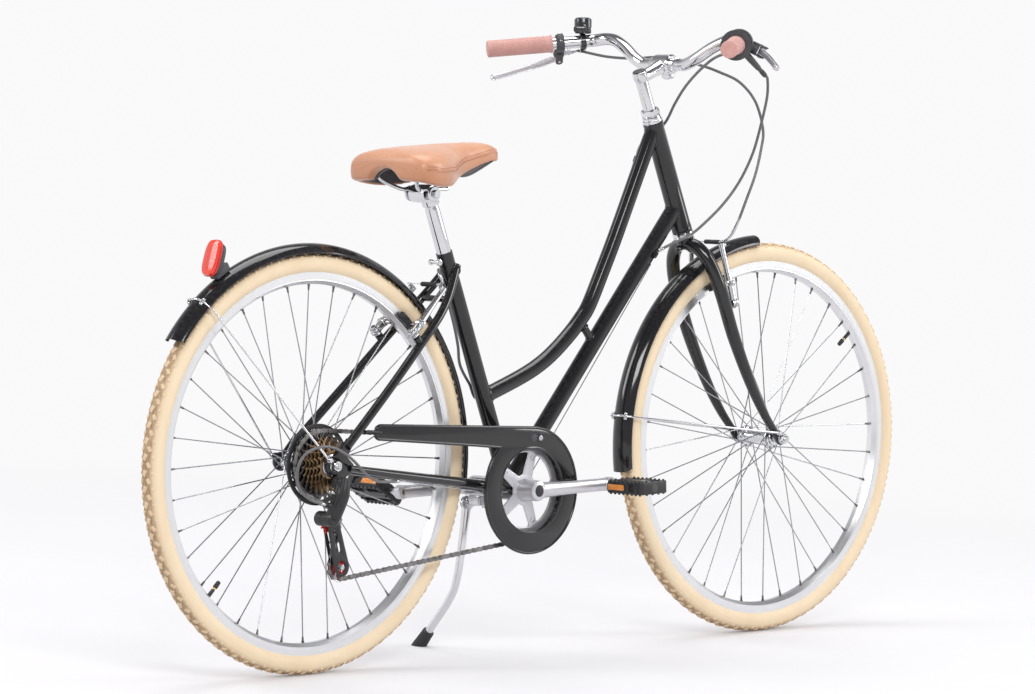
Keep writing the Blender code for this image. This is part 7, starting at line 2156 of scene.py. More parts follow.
# Drive train
@dataclass
class ChainRun:
    """The chain's path round its four wheels, and the angle of a roller on each of them."""

    half_width: float = 0.0033

    def wheels(self) -> List[Triple]:
        """Each wheel that the chain runs round, as (x, z, signed pitch radius)."""
        jockey = pitch_radius(10)
        return [(LOWER_JOCKEY.x, LOWER_JOCKEY.z, jockey),
                (BRACKET.x, BRACKET.z, pitch_radius(RING_TEETH)),
                (0.0, TYRE_RADIUS, pitch_radius(SPROCKET_TEETH[0])),
                (UPPER_JOCKEY.x, UPPER_JOCKEY.z, -jockey)]

    def loop(self) -> List[Pair]:
        """The closed pitch line, finely divided on its arcs."""
        wheels = self.wheels()
        headings = []
        for (x1, z1, r1), (x2, z2, r2) in zip(wheels, wheels[1:] + wheels[:1]):
            span = math.hypot(x2 - x1, z2 - z1)
            headings.append(math.atan2(z2 - z1, x2 - x1) - math.asin((r2 - r1) / span))
        line = []
        for i, (x, z, radius) in enumerate(wheels):
            turn = (headings[i] - headings[i - 1]) % math.tau - (math.tau if radius < 0 else 0.0)
            for step in range(61):
                heading = headings[i - 1] + turn * step / 60
                line.append((x + radius * math.sin(heading), z - radius * math.cos(heading)))
        return line

    def pins(self) -> List[Pair]:
        """The chain's pins, evenly spaced along the loop, an even number of them."""
        line = self.loop() + self.loop()[:1]
        lengths = [math.dist(a, b) for a, b in zip(line, line[1:])]
        count = 2 * round(sum(lengths) / CHAIN_PITCH / 2.0)
        pitch = sum(lengths) / count
        made = []
        passed = 0.0
        for (a, b), length in zip(zip(line, line[1:]), lengths):
            while len(made) < count and passed + length >= len(made) * pitch:
                t = (len(made) * pitch - passed) / length if length else 0.0
                made.append((a[0] + (b[0] - a[0]) * t, a[1] + (b[1] - a[1]) * t))
            passed += length
        return made

    def phase(self, wheel: int) -> float:
        """The angle round a wheel of a pin that rests on it."""
        x, z, radius = self.wheels()[wheel]
        near = min(self.pins(), key=lambda p: abs(math.dist(p, (x, z)) - abs(radius)))
        return math.atan2(near[1] - z, near[0] - x)

    def place(self) -> Matrix:
        """The chain's plane, which runs from the ring to the largest sprocket."""
        slope = math.atan2(RING_Y - LARGE_SPROCKET_Y, BRACKET.x)
        aside = Matrix.Translation((0.0, LARGE_SPROCKET_Y, 0.0))
        return aside @ Matrix.Rotation(slope, 4, "Z") @ side_frame(0.0)

    def link(self, name: str, inner: bool) -> Object:
        """One link: two waisted plates with its rollers or its rivets."""
        half = CHAIN_PITCH / 2.0
        shape = []
        for centre, start in ((half, -75.0), (-half, 105.0)):
            for i in range(6):
                x, y = polar(0.004, math.radians(start + 30.0 * i))
                shape.append((centre + x, y))
            shape.append((0.0, 0.0029 if centre > 0 else -0.0029))
        offset = 0.0016 if inner else 0.0026
        pieces = [plate("plate", [shape], 0.0009, Matrix.Translation((0.0, 0.0, z)))
                  for z in (offset, -offset)]
        for x in (half, -half):
            reach = 0.0012 if inner else self.half_width
            radius = 0.0037 if inner else 0.0017
            pieces.append(pin("barrel", Vector((x, 0.0, -reach)), Vector((x, 0.0, reach)),
                              radius, sides=12, round_off=0.0 if inner else 0.0003))
        return dressed(joined(name, pieces), CHAIN_STEEL)

    def build(self) -> None:
        """Copies an inner and an outer link in turn round the loop."""
        pins = self.pins()
        base = self.place()
        spots: List[List[Matrix]] = [[], []]
        for i, (a, b) in enumerate(zip(pins, pins[1:] + pins[:1])):
            turn = Matrix.Rotation(math.atan2(b[1] - a[1], b[0] - a[0]), 4, "Z")
            spots[i % 2].append(base
                                @ Matrix.Translation(((a[0] + b[0]) / 2.0, (a[1] + b[1]) / 2.0, 0.0))
                                @ turn)
        links = [copies("links", self.link("link", inner), where)
                 for inner, where in zip((True, False), spots)]
        clad("chain", links, "frame_body")


CHAIN = ChainRun()


@dataclass
class Sprockets:
    """The seven-speed freewheel: toothed cogs with their cut-outs, spacers, body and lock ring."""

    thickness: float = 0.0018

    def build(self) -> None:
        """Stacks the cogs on the body."""
        phase = CHAIN.phase(2)
        pieces = []
        for i, teeth in enumerate(SPROCKET_TEETH):
            pitch = pitch_radius(teeth)
            y = LARGE_SPROCKET_Y - SPROCKET_PITCH * i
            loops = [toothed(teeth, pitch + 0.003, pitch - 0.004)]
            if i < 4:
                inner = pitch_radius(SPROCKET_TEETH[i + 1]) - 0.0015
                for k in range(7 + i):
                    middle = math.tau * k / (7 + i)
                    if pitch - 0.0075 > inner:
                        loops.append(circle(0.0022, 12,
                                            polar((pitch - 0.0065 + inner) / 2.0, middle)))
            loops.append(circle(0.0195, 40))
            place = framed(REAR_AXLE + Y * y, X, -Y) @ Matrix.Rotation(phase + i * 0.13, 4, "Z")
            finish = COG_STEEL if i < 2 else BRONZE
            pieces.append(dressed(plate("cog", loops, self.thickness, place, 0.0003), finish))
            if i:
                pieces.append(dressed(ring("spacer", REAR_AXLE + Y * (y + SPROCKET_PITCH / 2.0),
                                           Y, 0.0195, pitch - 0.0075, -0.0013, 0.0013, 48,
                                           0.0003), GREY_PLASTIC))
        first = LARGE_SPROCKET_Y + 0.0012
        last = LARGE_SPROCKET_Y - SPROCKET_PITCH * (len(SPROCKET_TEETH) - 1)
        body = [(0.0128, first), (0.0197, first), (0.0197, last + 0.001),
                (0.0185, last - 0.0004), (0.0128, last - 0.0004)]
        lock = [(0.0128, last), (0.0178, last), (0.0186, last - 0.0004), (0.0178, last - 0.0009),
                (0.0128, last - 0.0009)]
        pieces.append(dressed(turned("body", body, aimed(REAR_AXLE, Y), 64), BRONZE))
        pieces.append(dressed(turned("lock ring", lock, aimed(REAR_AXLE, Y), 64), STEEL))
        clad("freewheel", pieces, "freewheel_body")


@dataclass
class Crankset:
    """The toothed ring on its five-armed spider, both cranks and the pedal spindles."""

    thickness: float = 0.003
    spindle: float = 0.0045
    spindle_end: float = 0.184

    def ring_and_spider(self) -> List[Object]:
        """The ring with its teeth, and the bright spider with rounded windows."""
        pitch = pitch_radius(RING_TEETH)
        plane = framed(BRACKET + Y * RING_Y, X, -Y)
        teeth = plate("teeth",
                      [toothed(RING_TEETH, pitch + 0.003, pitch - 0.004),
                       circle(pitch - 0.0115, 96)], 0.002,
                      plane @ Matrix.Rotation(CHAIN.phase(1), 4, "Z"), 0.0004)
        loops = [circle(pitch - 0.0075, 96)]
        for i in range(5):
            middle = CRANK_ANGLE + math.tau * (i + 0.5) / 5
            half = math.radians(25.0)
            outer = [polar(0.064, middle + half * (2.0 * k / 12 - 1.0)) for k in range(13)]
            inner = [polar(0.027, middle + half * 0.46 * (1.0 - 2.0 * k / 4)) for k in range(5)]
            loops.append([polar(0.06, middle - half * 1.1)] + outer
                         + [polar(0.06, middle + half * 1.1)] + inner)
        spider = plate("spider", loops, self.thickness + 0.0006, plane, 0.0012)
        made = [dressed(teeth, CHAIN_STEEL), dressed(spider, SATIN_ALLOY)]
        for i in range(5):
            x, z = polar(0.056, CRANK_ANGLE + math.tau * i / 5)
            seat = BRACKET + Vector((x, RING_Y, z))
            made.append(dressed(pin("rivet", seat + Y * 0.0026, seat - Y * 0.003, 0.0042), STEEL))
        return made

    def crank(self, way: float) -> Object:
        """A crank arm, flattened across, with its boss and pedal eye.

        Args:
            way: The sign of the y that it is on.

        Returns:
            The polished arm.
        """
        ahead = CRANK_FORWARD * -way
        root = BRACKET + Y * way * 0.0745
        end = BRACKET + ahead * CRANK_LENGTH + Y * way * 0.08
        spine = smooth_path([root, root + ahead * 0.03 + Y * way * 0.001,
                             root + ahead * 0.085 + Y * way * 0.003, end - ahead * 0.02, end], 6)
        radii = smooth_values((0.0148, 0.0128, 0.0112, 0.011, 0.012), 6)
        arm = pipe("arm", [spine], 0.01, radii, 28)
        flat = Matrix.Translation(root) @ framed(Vector(), ahead, Y)
        placed(arm, flat @ Matrix.Diagonal((1.0, 1.0, 0.66, 1.0)) @ flat.inverted())
        if way < 0:
            profile = [(0.0, 0.044), (0.02, 0.046), (0.0196, 0.052), (0.018, 0.058),
                       (0.0176, 0.079), (0.0166, 0.082), (0.015, 0.083), (0.0, 0.083)]
        else:
            profile = [(0.0088, 0.048), (0.0168, 0.048), (0.0172, 0.049), (0.0172, 0.078),
                       (0.0164, 0.0816), (0.0148, 0.083), (0.0, 0.083), (0.0, 0.0643),
                       (0.0088, 0.0643)]
        boss = turned("boss", profile, aimed(BRACKET, Y * way), 56, closed=False)
        eye = ring("eye", end, Y, 0.0044, 0.0122, -0.0075, 0.0075, 48, 0.002)
        return dressed(joined("crank", [arm, boss, eye]), SATIN_ALLOY)

    def build(self) -> None:
        """Makes the right crank with ring and axle, then the left crank."""
        for side in (Side.RIGHT, Side.LEFT):
            way = side.value
            out = Y * way
            end = BRACKET - CRANK_FORWARD * CRANK_LENGTH * way
            cap = [(0.0, 0.0845), (0.0062, 0.0845), (0.0092, 0.0838), (0.0106, 0.0826),
                   (0.0, 0.0826)]
            pieces = [self.crank(way),
                      dressed(turned("dust cap", cap, aimed(BRACKET, out), 40,
                                     False), BLACK_PLASTIC),
                      dressed(pin("spindle", end + out * 0.08, end + out * self.spindle_end,
                                  self.spindle), STEEL),
                      dressed(hexagon("flats", end + out * 0.0885, end + out * 0.0945,
                                      0.0084), STEEL)]
            if side is Side.RIGHT:
                pieces += self.ring_and_spider()
                pieces.append(dressed(pin("axle", BRACKET - Y * 0.06, BRACKET + Y * 0.064,
                                          0.0085, sides=32), STEEL))
            name = "crank_" + side.name.lower()
            clad(name, pieces, "crankset")


@dataclass
class Pedal:
    """A resin pedal with a toothed cage and an amber reflector on each long face."""

    side: Side
    tilt: float
    length: float = 0.066
    width: float = 0.084
    height: float = 0.024

    def outline(self) -> List[Pair]:
        """The cage's outline, with teeth along both long faces and rounded corners."""
        half_x, half_y, corner = self.length / 2.0, self.width / 2.0, 0.007
        face = []
        for i in range(15):
            y = (half_y - corner) * (2.0 * i / 14 - 1.0)
            face.append((half_x - (0.0019 if i % 2 else 0.0), y))
        turn = [(half_x - corner + x, half_y - corner + y)
                for x, y in (polar(corner, math.radians(18.0 * i)) for i in range(6))]
        side = face[:-1] + turn
        return (side + [(-x, y) for x, y in reversed(turn)]
                + [(-x, y) for x, y in reversed(face[1:-1])] + [(-x, -y) for x, y in turn]
                + [(x, -y) for x, y in reversed(turn)])

    def stud_places(self) -> List[Pair]:
        """Where the small grip studs stand, along the cage's four edges."""
        half_x, half_y = self.length / 2.0 - 0.0045, self.width / 2.0 - 0.005
        rows = [(fore * half_x, half_y * (2.0 * i / 7 - 1.0) * 0.94) for fore in (1, -1)
                for i in range(8)]
        return rows + [(half_x * x, hand * half_y) for hand in (1, -1) for x in (-0.5, 0.0, 0.5)]

    def build(self) -> None:
        """Cuts the cage, then adds the core, the end cap and the reflectors."""
        way = self.side.value
        centre = BRACKET - CRANK_FORWARD * CRANK_LENGTH * way + Y * way * 0.148
        along = in_plane(self.tilt)
        place = framed(centre, along, Y.cross(along) * -1.0)
        half_x, half_y = self.length / 2.0, self.width / 2.0
        loops = [self.outline()]
        for fore in (1.0, -1.0):
            for low, high in ((0.003, half_y - 0.008), (0.008 - half_y, -0.003)):
                loops.append([(fore * 0.0115 + (half_x - 0.0205) * fore * u,
                               low + (high - low) * v)
                              for u, v in ((0.0, 0.1), (0.0, 0.9), (0.12, 1.0), (0.88, 1.0),
                                           (1.0, 0.9), (1.0, 0.1), (0.88, 0.0), (0.12, 0.0))])
        cage = plate("cage", loops, self.height - 0.003, place, 0.001)
        cut(cage,
            [slab("recess",
                  place @ Matrix.Translation((fore * half_x, way * half_y * 0.42, 0.0)),
                  (0.01, 0.012, 0.013), 0.001) for fore in (1, -1)])
        stud = slab("stud", Matrix.Identity(4), (0.0034, 0.0036, 0.0032), 0.0007, 0.85)
        strips = [copies("studs", stud,
                         [place
                          @ Matrix.Translation((x, y, level * (self.height / 2.0 - 0.0008)))
                          for level in (1, -1) for x, y in self.stud_places()])]
        core = pin("core", centre - Y * (half_y - 0.0004), centre + Y * (half_y - 0.0004),
                   0.0108, sides=32)
        cut(core,
            [pin("bore", centre - Y * 0.06, centre + Y * 0.06, 0.0049, sides=24, round_off=0.0)])
        cap = pin("cap", centre + Y * way * (half_y - 0.003),
                  centre + Y * way * (half_y + 0.0004), 0.0086, 0.0078)
        pieces = [dressed(joined("body", [cage, core] + strips), BLACK_PLASTIC),
                  dressed(cap, GREY_PLASTIC)]
        for fore in (1.0, -1.0):
            seat = place @ Matrix.Translation((fore * (half_x - 0.0004), -way * half_y * 0.44,
                                               0.0))
            pieces.append(dressed(slab("lens", seat, (0.003, half_y * 0.9, 0.0098),
                                       0.001), AMBER_LENS))
            pieces.append(dressed(slab("frame",
                                       seat @ Matrix.Translation((-fore * 0.001, 0.0, 0.0)),
                                       (0.0034, half_y * 1.02, 0.015), 0.001), BLACK_PLASTIC))
        name = "pedal_" + self.side.name.lower()
        body = self.side.name.lower() + "_pedal"
        clad(name, pieces, body)


@dataclass
class ChainGuard:
    """The glossy guard: a hollow round cover with a broad rim, its arm, boss and clip."""

    radius: float = 0.1068
    inner_y: float = -0.057
    outer_y: float = -0.064
    hole: float = 0.071
    wall: float = 0.0016
    tail_x: float = 0.11

    def outline(self) -> List[Pair]:
        """The round cover's edge and the arm back to its rounded end."""
        begin, finish = math.radians(134.0), math.radians(447.0)
        edge = [polar(self.radius, begin + (finish - begin) * i / 90) for i in range(91)]
        shape = [(BRACKET.x + x, BRACKET.z + z) for x, z in edge]
        tail = [(0.105, 0.4112), (0.101, 0.4098), (0.0988, 0.407), (0.098, 0.403),
                (0.098, 0.393), (0.099, 0.3903), (0.102, 0.3887)]
        return shape + tail + [(0.33, 0.369), (0.364, 0.3655)]

    def build(self) -> None:
        """Makes the outer face and the skirt round it, then its boss, screw and clip."""
        outline = self.outline()
        hole = circle(self.hole, 96, (BRACKET.x, BRACKET.z))
        face = plate("face", [outline, hole], self.wall,
                     side_frame(self.outer_y + self.wall / 2.0), 0.0007)
        rim = plate("rim", [circle(self.hole + 0.004, 96, (BRACKET.x, BRACKET.z)), hole], 0.003,
                    side_frame(self.outer_y + 0.0012), 0.0011)
        deep = self.inner_y - self.outer_y
        skirt = plate("skirt", [outline], deep,
                      side_frame((self.inner_y + self.outer_y) / 2.0), 0.0)
        inside = plate("inside", [outline], deep + 0.01,
                       side_frame((self.inner_y + self.outer_y) / 2.0), 0.0)
        with editing(inside, "VERT") as mesh:
            for vert in mesh.verts:
                off = Vector((vert.co.x - BRACKET.x, 0.0, vert.co.z - BRACKET.z))
                if off.length < self.radius + 0.002:
                    vert.co -= off.normalized() * self.wall
                else:
                    below = vert.co.z < 0.4 - (vert.co.x - 0.1) * 0.05
                    vert.co.z += self.wall if below else -self.wall
                    vert.co.x += self.wall if vert.co.x < self.tail_x else 0.0
        skirt = cut(skirt, [inside])
        edge = [Vector((x, self.outer_y + 0.0012, z)) for x, z in outline]
        bead = pipe("bead", [smooth_path(edge + edge[:1], 1)], 0.0026, sides=12)
        spot = Vector((BRACKET.x + 0.004, self.outer_y, BRACKET.z + 0.089))
        plug = pin("plug", spot, spot - Y * 0.001, 0.0074, 0.0062, 32)
        seat = Vector((BRACKET.x + 0.02, 0.0, BRACKET.z + 0.0885))
        boss = pin("boss", seat + Y * (self.outer_y + 0.0004),
                   seat + Y * (self.outer_y - 0.0008), 0.0096, 0.0084, 32)
        screw = pin("screw", seat + Y * (self.outer_y - 0.0004),
                    seat + Y * (self.outer_y - 0.0014), 0.005, 0.004, 24)
        slots = [slab("slot", framed(seat + Y * (self.outer_y - 0.0014), Vector((1.0, 0.0, s)), Y),
                      (0.0066, 0.001, 0.001), 0.0001) for s in (1.0, -1.0)]
        root = Vector((0.108, self.outer_y + self.wall / 2.0, 0.399))
        clip = pipe("clip",
                    [smooth_path([root, root + Vector((-0.024, 0.0, 0.003)),
                                  Vector((0.069, -0.0672, 0.4025))], 4)], 0.0026, sides=16)
        paint = dressed(joined("painted", [face, rim, skirt, bead, boss]), PAINT)
        clad("chain_guard",
             [paint, dressed(cut(screw, slots), STEEL), dressed(clip, BLACK_PLASTIC),
              dressed(plug, GREY_PLASTIC)], "frame_body")


@dataclass
class Derailleur:
    """The rear derailleur: knuckles, parallelogram, cage, jockeys and adjusting screws."""

    cage_half: float = 0.007
    bolt_radius: float = 0.0025

    def body(self) -> None:
        """The fixed knuckle, two link plates, the lower knuckle and the cage."""
        outer = JOCKEY_Y - self.cage_half
        inner = JOCKEY_Y + self.cage_half
        knuckle = Vector((0.004, -(REAR_DROPOUT_Y + DROPOUT_THICKNESS / 2.0 + GAP), 0.322))
        lower = Vector((-0.008, 0.0, 0.262))
        upper_end = knuckle - Y * 0.022
        wheels = [(p.x, p.z) for p in (UPPER_JOCKEY, LOWER_JOCKEY)]
        bend = upper_end + Vector((-0.01, 0.007, -0.022))
        foot = lower - Y * 0.068
        drum = [(0.0, 0.0), (0.0092, 0.0), (0.01, 0.001), (0.01, 0.009), (0.0094, 0.0096),
                (0.0094, 0.012), (0.01, 0.0126), (0.01, 0.0205), (0.0086, 0.022), (0.0, 0.022)]
        low_drum = [(0.0, 0.0), (0.01, 0.0), (0.0122, 0.002), (0.0125, 0.004), (0.0125, 0.02),
                    (0.0118, 0.0208), (0.0118, 0.023), (0.0125, 0.024), (0.0125, 0.037),
                    (0.0, 0.037)]
        black = [turned("knuckle", drum, aimed(knuckle, -Y), 40, False),
                 turned("lower knuckle", low_drum, aimed(lower - Y * 0.079, Y), 44, False),
                 pipe("links", [smooth_path([upper_end + Y * 0.009, bend, foot], 5)],
                      0.009, smooth_values((0.0078, 0.0088, 0.0096), 5), 20),
                 plate("neck", [tongue((lower.x, lower.z), 0.0118, wheels[0], 0.01)],
                       0.002, side_frame(outer), 0.0006)]
        (x1, z1), (x2, z2) = wheels
        slots = [tongue((x1 + (x2 - x1) * a, z1 + (z2 - z1) * a), 0.0048,
                        (x1 + (x2 - x1) * b, z1 + (z2 - z1) * b), 0.0042)
                 for a, b in ((0.24, 0.4), (0.5, 0.62))]
        window = [(wheels[1][0] + x, wheels[1][1] + z)
                  for x, z in (polar(0.0088 - 0.002 * math.cos(math.radians(2 * a)),
                                     math.radians(a)) for a in range(0, 360, 15))]
        black.append(plate("outer cage", [tongue(wheels[0], 0.0128, wheels[1], 0.0165), window]
                           + slots, 0.0016, side_frame(outer), 0.0006))
        black.append(pipe("cover",
                          [smooth_path([upper_end + Vector((0.001, -0.002, 0.008)),
                                        bend + Vector((0.006, -0.008, 0.002)),
                                        foot + Vector((0.004, -0.006, 0.004))], 5)],
                          0.009, smooth_values((0.006, 0.0104, 0.0112), 5), 24))
        black.append(plate("inner cage", [tongue(wheels[0], 0.011, wheels[1], 0.0125)]
                           + slots, 0.0014, side_frame(inner), 0.0005))
        shell = dressed(joined("black", black), BLACK_PLASTIC)
        bright = [pin("hanger bolt", upper_end + Y * 0.001, upper_end - Y * 0.001, 0.0066)]
        for rivet in (upper_end + Vector((-0.003, 0.001, -0.006)),
                      foot + Vector((0.0, -0.0075, 0.005))):
            bright.append(pin("rivet", rivet, rivet - Y * 0.004, 0.003))
        for i in (0, 1):
            start = bend + Vector((-0.006, -0.003 + 0.0066 * i, 0.005))
            bright.append(pin("limit screw", start, start + Vector((-0.009, 0.0, 0.003)),
                              0.0022, sides=16))
        for jockey in (UPPER_JOCKEY, LOWER_JOCKEY):
            bright.append(pin("bolt", jockey + Y * (outer - 0.0022),
                              jockey + Y * (inner + 0.0016), self.bolt_radius))
            bright.append(pin("head", jockey + Y * (outer - 0.0006),
                              jockey + Y * (outer - 0.0028), 0.0048, 0.0042))
        end = Vector((-0.033, -0.083, 0.288))
        barrel = pipe("adjuster",
                      [[end + Vector((d, 0.0, -0.12 * d))
                        for d in (-0.001, 0.004, 0.0042, 0.011, 0.0112, 0.015)]], 0.0044,
                      [0.003, 0.003, 0.0044, 0.0044, 0.003, 0.003], 20)
        tail_way = (LOWER_JOCKEY - UPPER_JOCKEY).normalized()
        tail = LOWER_JOCKEY + tail_way * 0.018 - tail_way.cross(Y) * 0.016
        low = LOWER_JOCKEY + Y * outer
        loop = [low + Vector((-0.013, 0.0, -0.008)), low + Vector((-0.015, 0.0, -0.02)),
                tail + Y * outer, low + Vector((-0.004, 0.0, -0.024)),
                low + Vector((0.002, 0.0, -0.015))]
        bright.append(pipe("chain keeper", [smooth_path(loop, 4)], 0.001, sides=10))
        pieces = [shell, dressed(barrel, BLACK_PLASTIC)] + [dressed(p, STEEL) for p in bright]
        clad("rear_derailleur", pieces, "frame_body")

    def jockey(self, name: str, position: Vector, phase: float) -> None:
        """A red toothed jockey wheel with its steel bush."""
        pitch = pitch_radius(10)
        centre = Vector((position.x, JOCKEY_Y, position.z))
        loops = [toothed(10, pitch + 0.0016, pitch - 0.0042), circle(self.bolt_radius + GAP, 20)]
        loops += [circle(0.0019, 12, polar(0.0098, math.tau * (i + 0.5) / 6)) for i in range(6)]
        place = framed(centre, X, -Y) @ Matrix.Rotation(phase, 4, "Z")
        wheel = plate("wheel", loops, 0.0022, place, 0.0005)
        hub = ring("hub", centre, Y, 0.0048, 0.0072, -0.003, 0.003, 32)
        bush = ring("bush", centre, Y, self.bolt_radius + GAP, 0.0048, -0.0042, 0.0042, 32)
        clad(name, [dressed(wheel, RED_PLASTIC), dressed(hub, RED_PLASTIC), dressed(bush, STEEL)],
             name.replace("jockey_wheel_", "") + "_jockey")

    def build(self) -> None:
        """Makes the body and both jockey wheels."""
        self.body()
        self.jockey("jockey_wheel_upper", UPPER_JOCKEY, CHAIN.phase(3))
        self.jockey("jockey_wheel_lower", LOWER_JOCKEY, CHAIN.phase(0))


# Kickstand
@dataclass
class Kickstand:
    """The alloy kickstand: clamp plates and bolt on the chainstays, spring, leg and foot."""

    pivot: Vector = field(default_factory=lambda: Vector((0.398, 0.034, 0.262)))
    knee: Vector = field(default_factory=lambda: Vector((0.392, 0.052, 0.112)))
    foot: Vector = field(default_factory=lambda: Vector((0.39, 0.142, 0.142 * math.tan(LEAN))))
    axis: Vector = field(default_factory=lambda: Vector((-0.4, 0.82, -0.38)).normalized())
    leg_radius: float = 0.0068
    pin_radius: float = 0.0042

    def bracket(self) -> None:
        """The fixed bracket with its ribbed plates, bolt and the boss that the leg turns on."""
        base = BRACKET.z - 0.007
        low = slab("plate", Matrix.Translation((BRACKET.x - 0.054, 0.0, base)),
                   (0.034, 0.064, 0.005), 0.0014)
        ribs = [slab("rib", Matrix.Translation((BRACKET.x - 0.054 + d, 0.0, base + 0.003)),
                     (0.002, 0.056, 0.002), 0.0006) for d in (-0.014, 0.014)]
        neck = slab("neck", Matrix.Translation((BRACKET.x - 0.057, 0.006, base - 0.011)),
                    (0.026, 0.03, 0.019), 0.0042)
        top = slab("clamp", Matrix.Translation((BRACKET.x - 0.047, 0.0, base + 0.0268)),
                   (0.018, 0.056, 0.004), 0.0012)
        start = self.pivot - self.axis * 0.023
        boss = turned("boss",
                      [(0.0, 0.0), (0.0084, 0.0), (0.01, 0.0016), (0.01, 0.0136),
                       (0.0092, 0.0156), (0.0, 0.0156)], aimed(start, self.axis), 44, False)
        bolt = Vector((BRACKET.x - 0.047, 0.0, base - 0.024))
        pieces = [dressed(joined("cast", [low, neck, top, boss] + ribs), CAST_ALLOY)]
        pieces += [dressed(p, STEEL) for p in (
            pin("bolt", bolt, bolt + Z * 0.053, 0.004),
            hexagon("bolt head", bolt - Z * 0.001, bolt + Z * 0.0045, 0.007),
            pin("pivot", start, self.pivot + self.axis * 0.008, self.pin_radius),
            hexagon("pivot nut", self.pivot + self.axis * 0.0074,
                    self.pivot + self.axis * 0.0104, 0.0064))]
        clad("kickstand_bracket", pieces, "frame_body")

    def build(self) -> None:
        """Makes the bracket, the leg and the foot."""
        self.bracket()
        shin = (self.foot - self.knee).normalized()
        end = self.foot - shin * 0.012
        thigh = (self.pivot - self.knee).normalized()
        bend = [self.knee + thigh * 0.045, self.knee + thigh * 0.022 + shin * 0.004,
                self.knee + thigh * 0.008 + shin * 0.01,
                self.knee + shin * 0.024 + thigh * 0.002, self.knee + shin * 0.045]
        spine = smooth_path([self.pivot, self.pivot - thigh * 0.04] + bend + [end], 6)
        radii = smooth_values((0.0088, 0.007) + (self.leg_radius,) * 6, 6)
        leg = pipe("leg", [spine], self.leg_radius, radii, 28)
        hub = [(self.pin_radius + GAP, -0.007), (0.0092, -0.007), (0.0108, -0.0056),
               (0.0108, 0.0056), (0.0092, 0.007), (self.pin_radius + GAP, 0.007)]
        eye = turned("eye", hub, aimed(self.pivot, self.axis), 44)
        coil = []
        u = self.axis.orthogonal().normalized()
        for i in range(60):
            turn = 0.55 * i
            coil.append(self.pivot + self.axis * (0.0048 - 0.00016 * i) +
                        (u * math.cos(turn) + self.axis.cross(u) * math.sin(turn)) * 0.0118)
        spring = pipe("spring", [coil], 0.0009, sides=8)
        clad("kickstand_leg",
             [dressed(joined("leg", [leg, eye]), POLISHED), dressed(spring, STEEL)],
             "kickstand")
        shoe = [(self.leg_radius + GAP, 0.0), (0.0094, 0.0), (0.0102, 0.001)]
        for i in range(5):
            z = 0.01 + 0.0066 * i
            r = 0.0104 + 0.0004 * i
            shoe += [(r, z - 0.0034), (r, z), (r - 0.0005, z + 0.0006), (r - 0.0005, z + 0.002),
                     (r + 0.0002, z + 0.0026)]
        shoe += [(0.0124, 0.05), (0.0126, 0.058), (0.0, 0.058), (0.0, 0.0243),
                 (self.leg_radius + GAP, 0.0243)]
        rubber = turned("shoe", shoe, aimed(self.foot - shin * 0.036, shin), 44, False)
        up = Vector((0.0, -math.sin(LEAN), math.cos(LEAN)))
        ground = slab("ground", framed(self.foot - up * 0.05, X, up), (0.2, 0.2, 0.1), 0.0005)
        clad("kickstand_foot", [dressed(cut(rubber, [ground]), FOOT_RUBBER)],
             "kickstand")


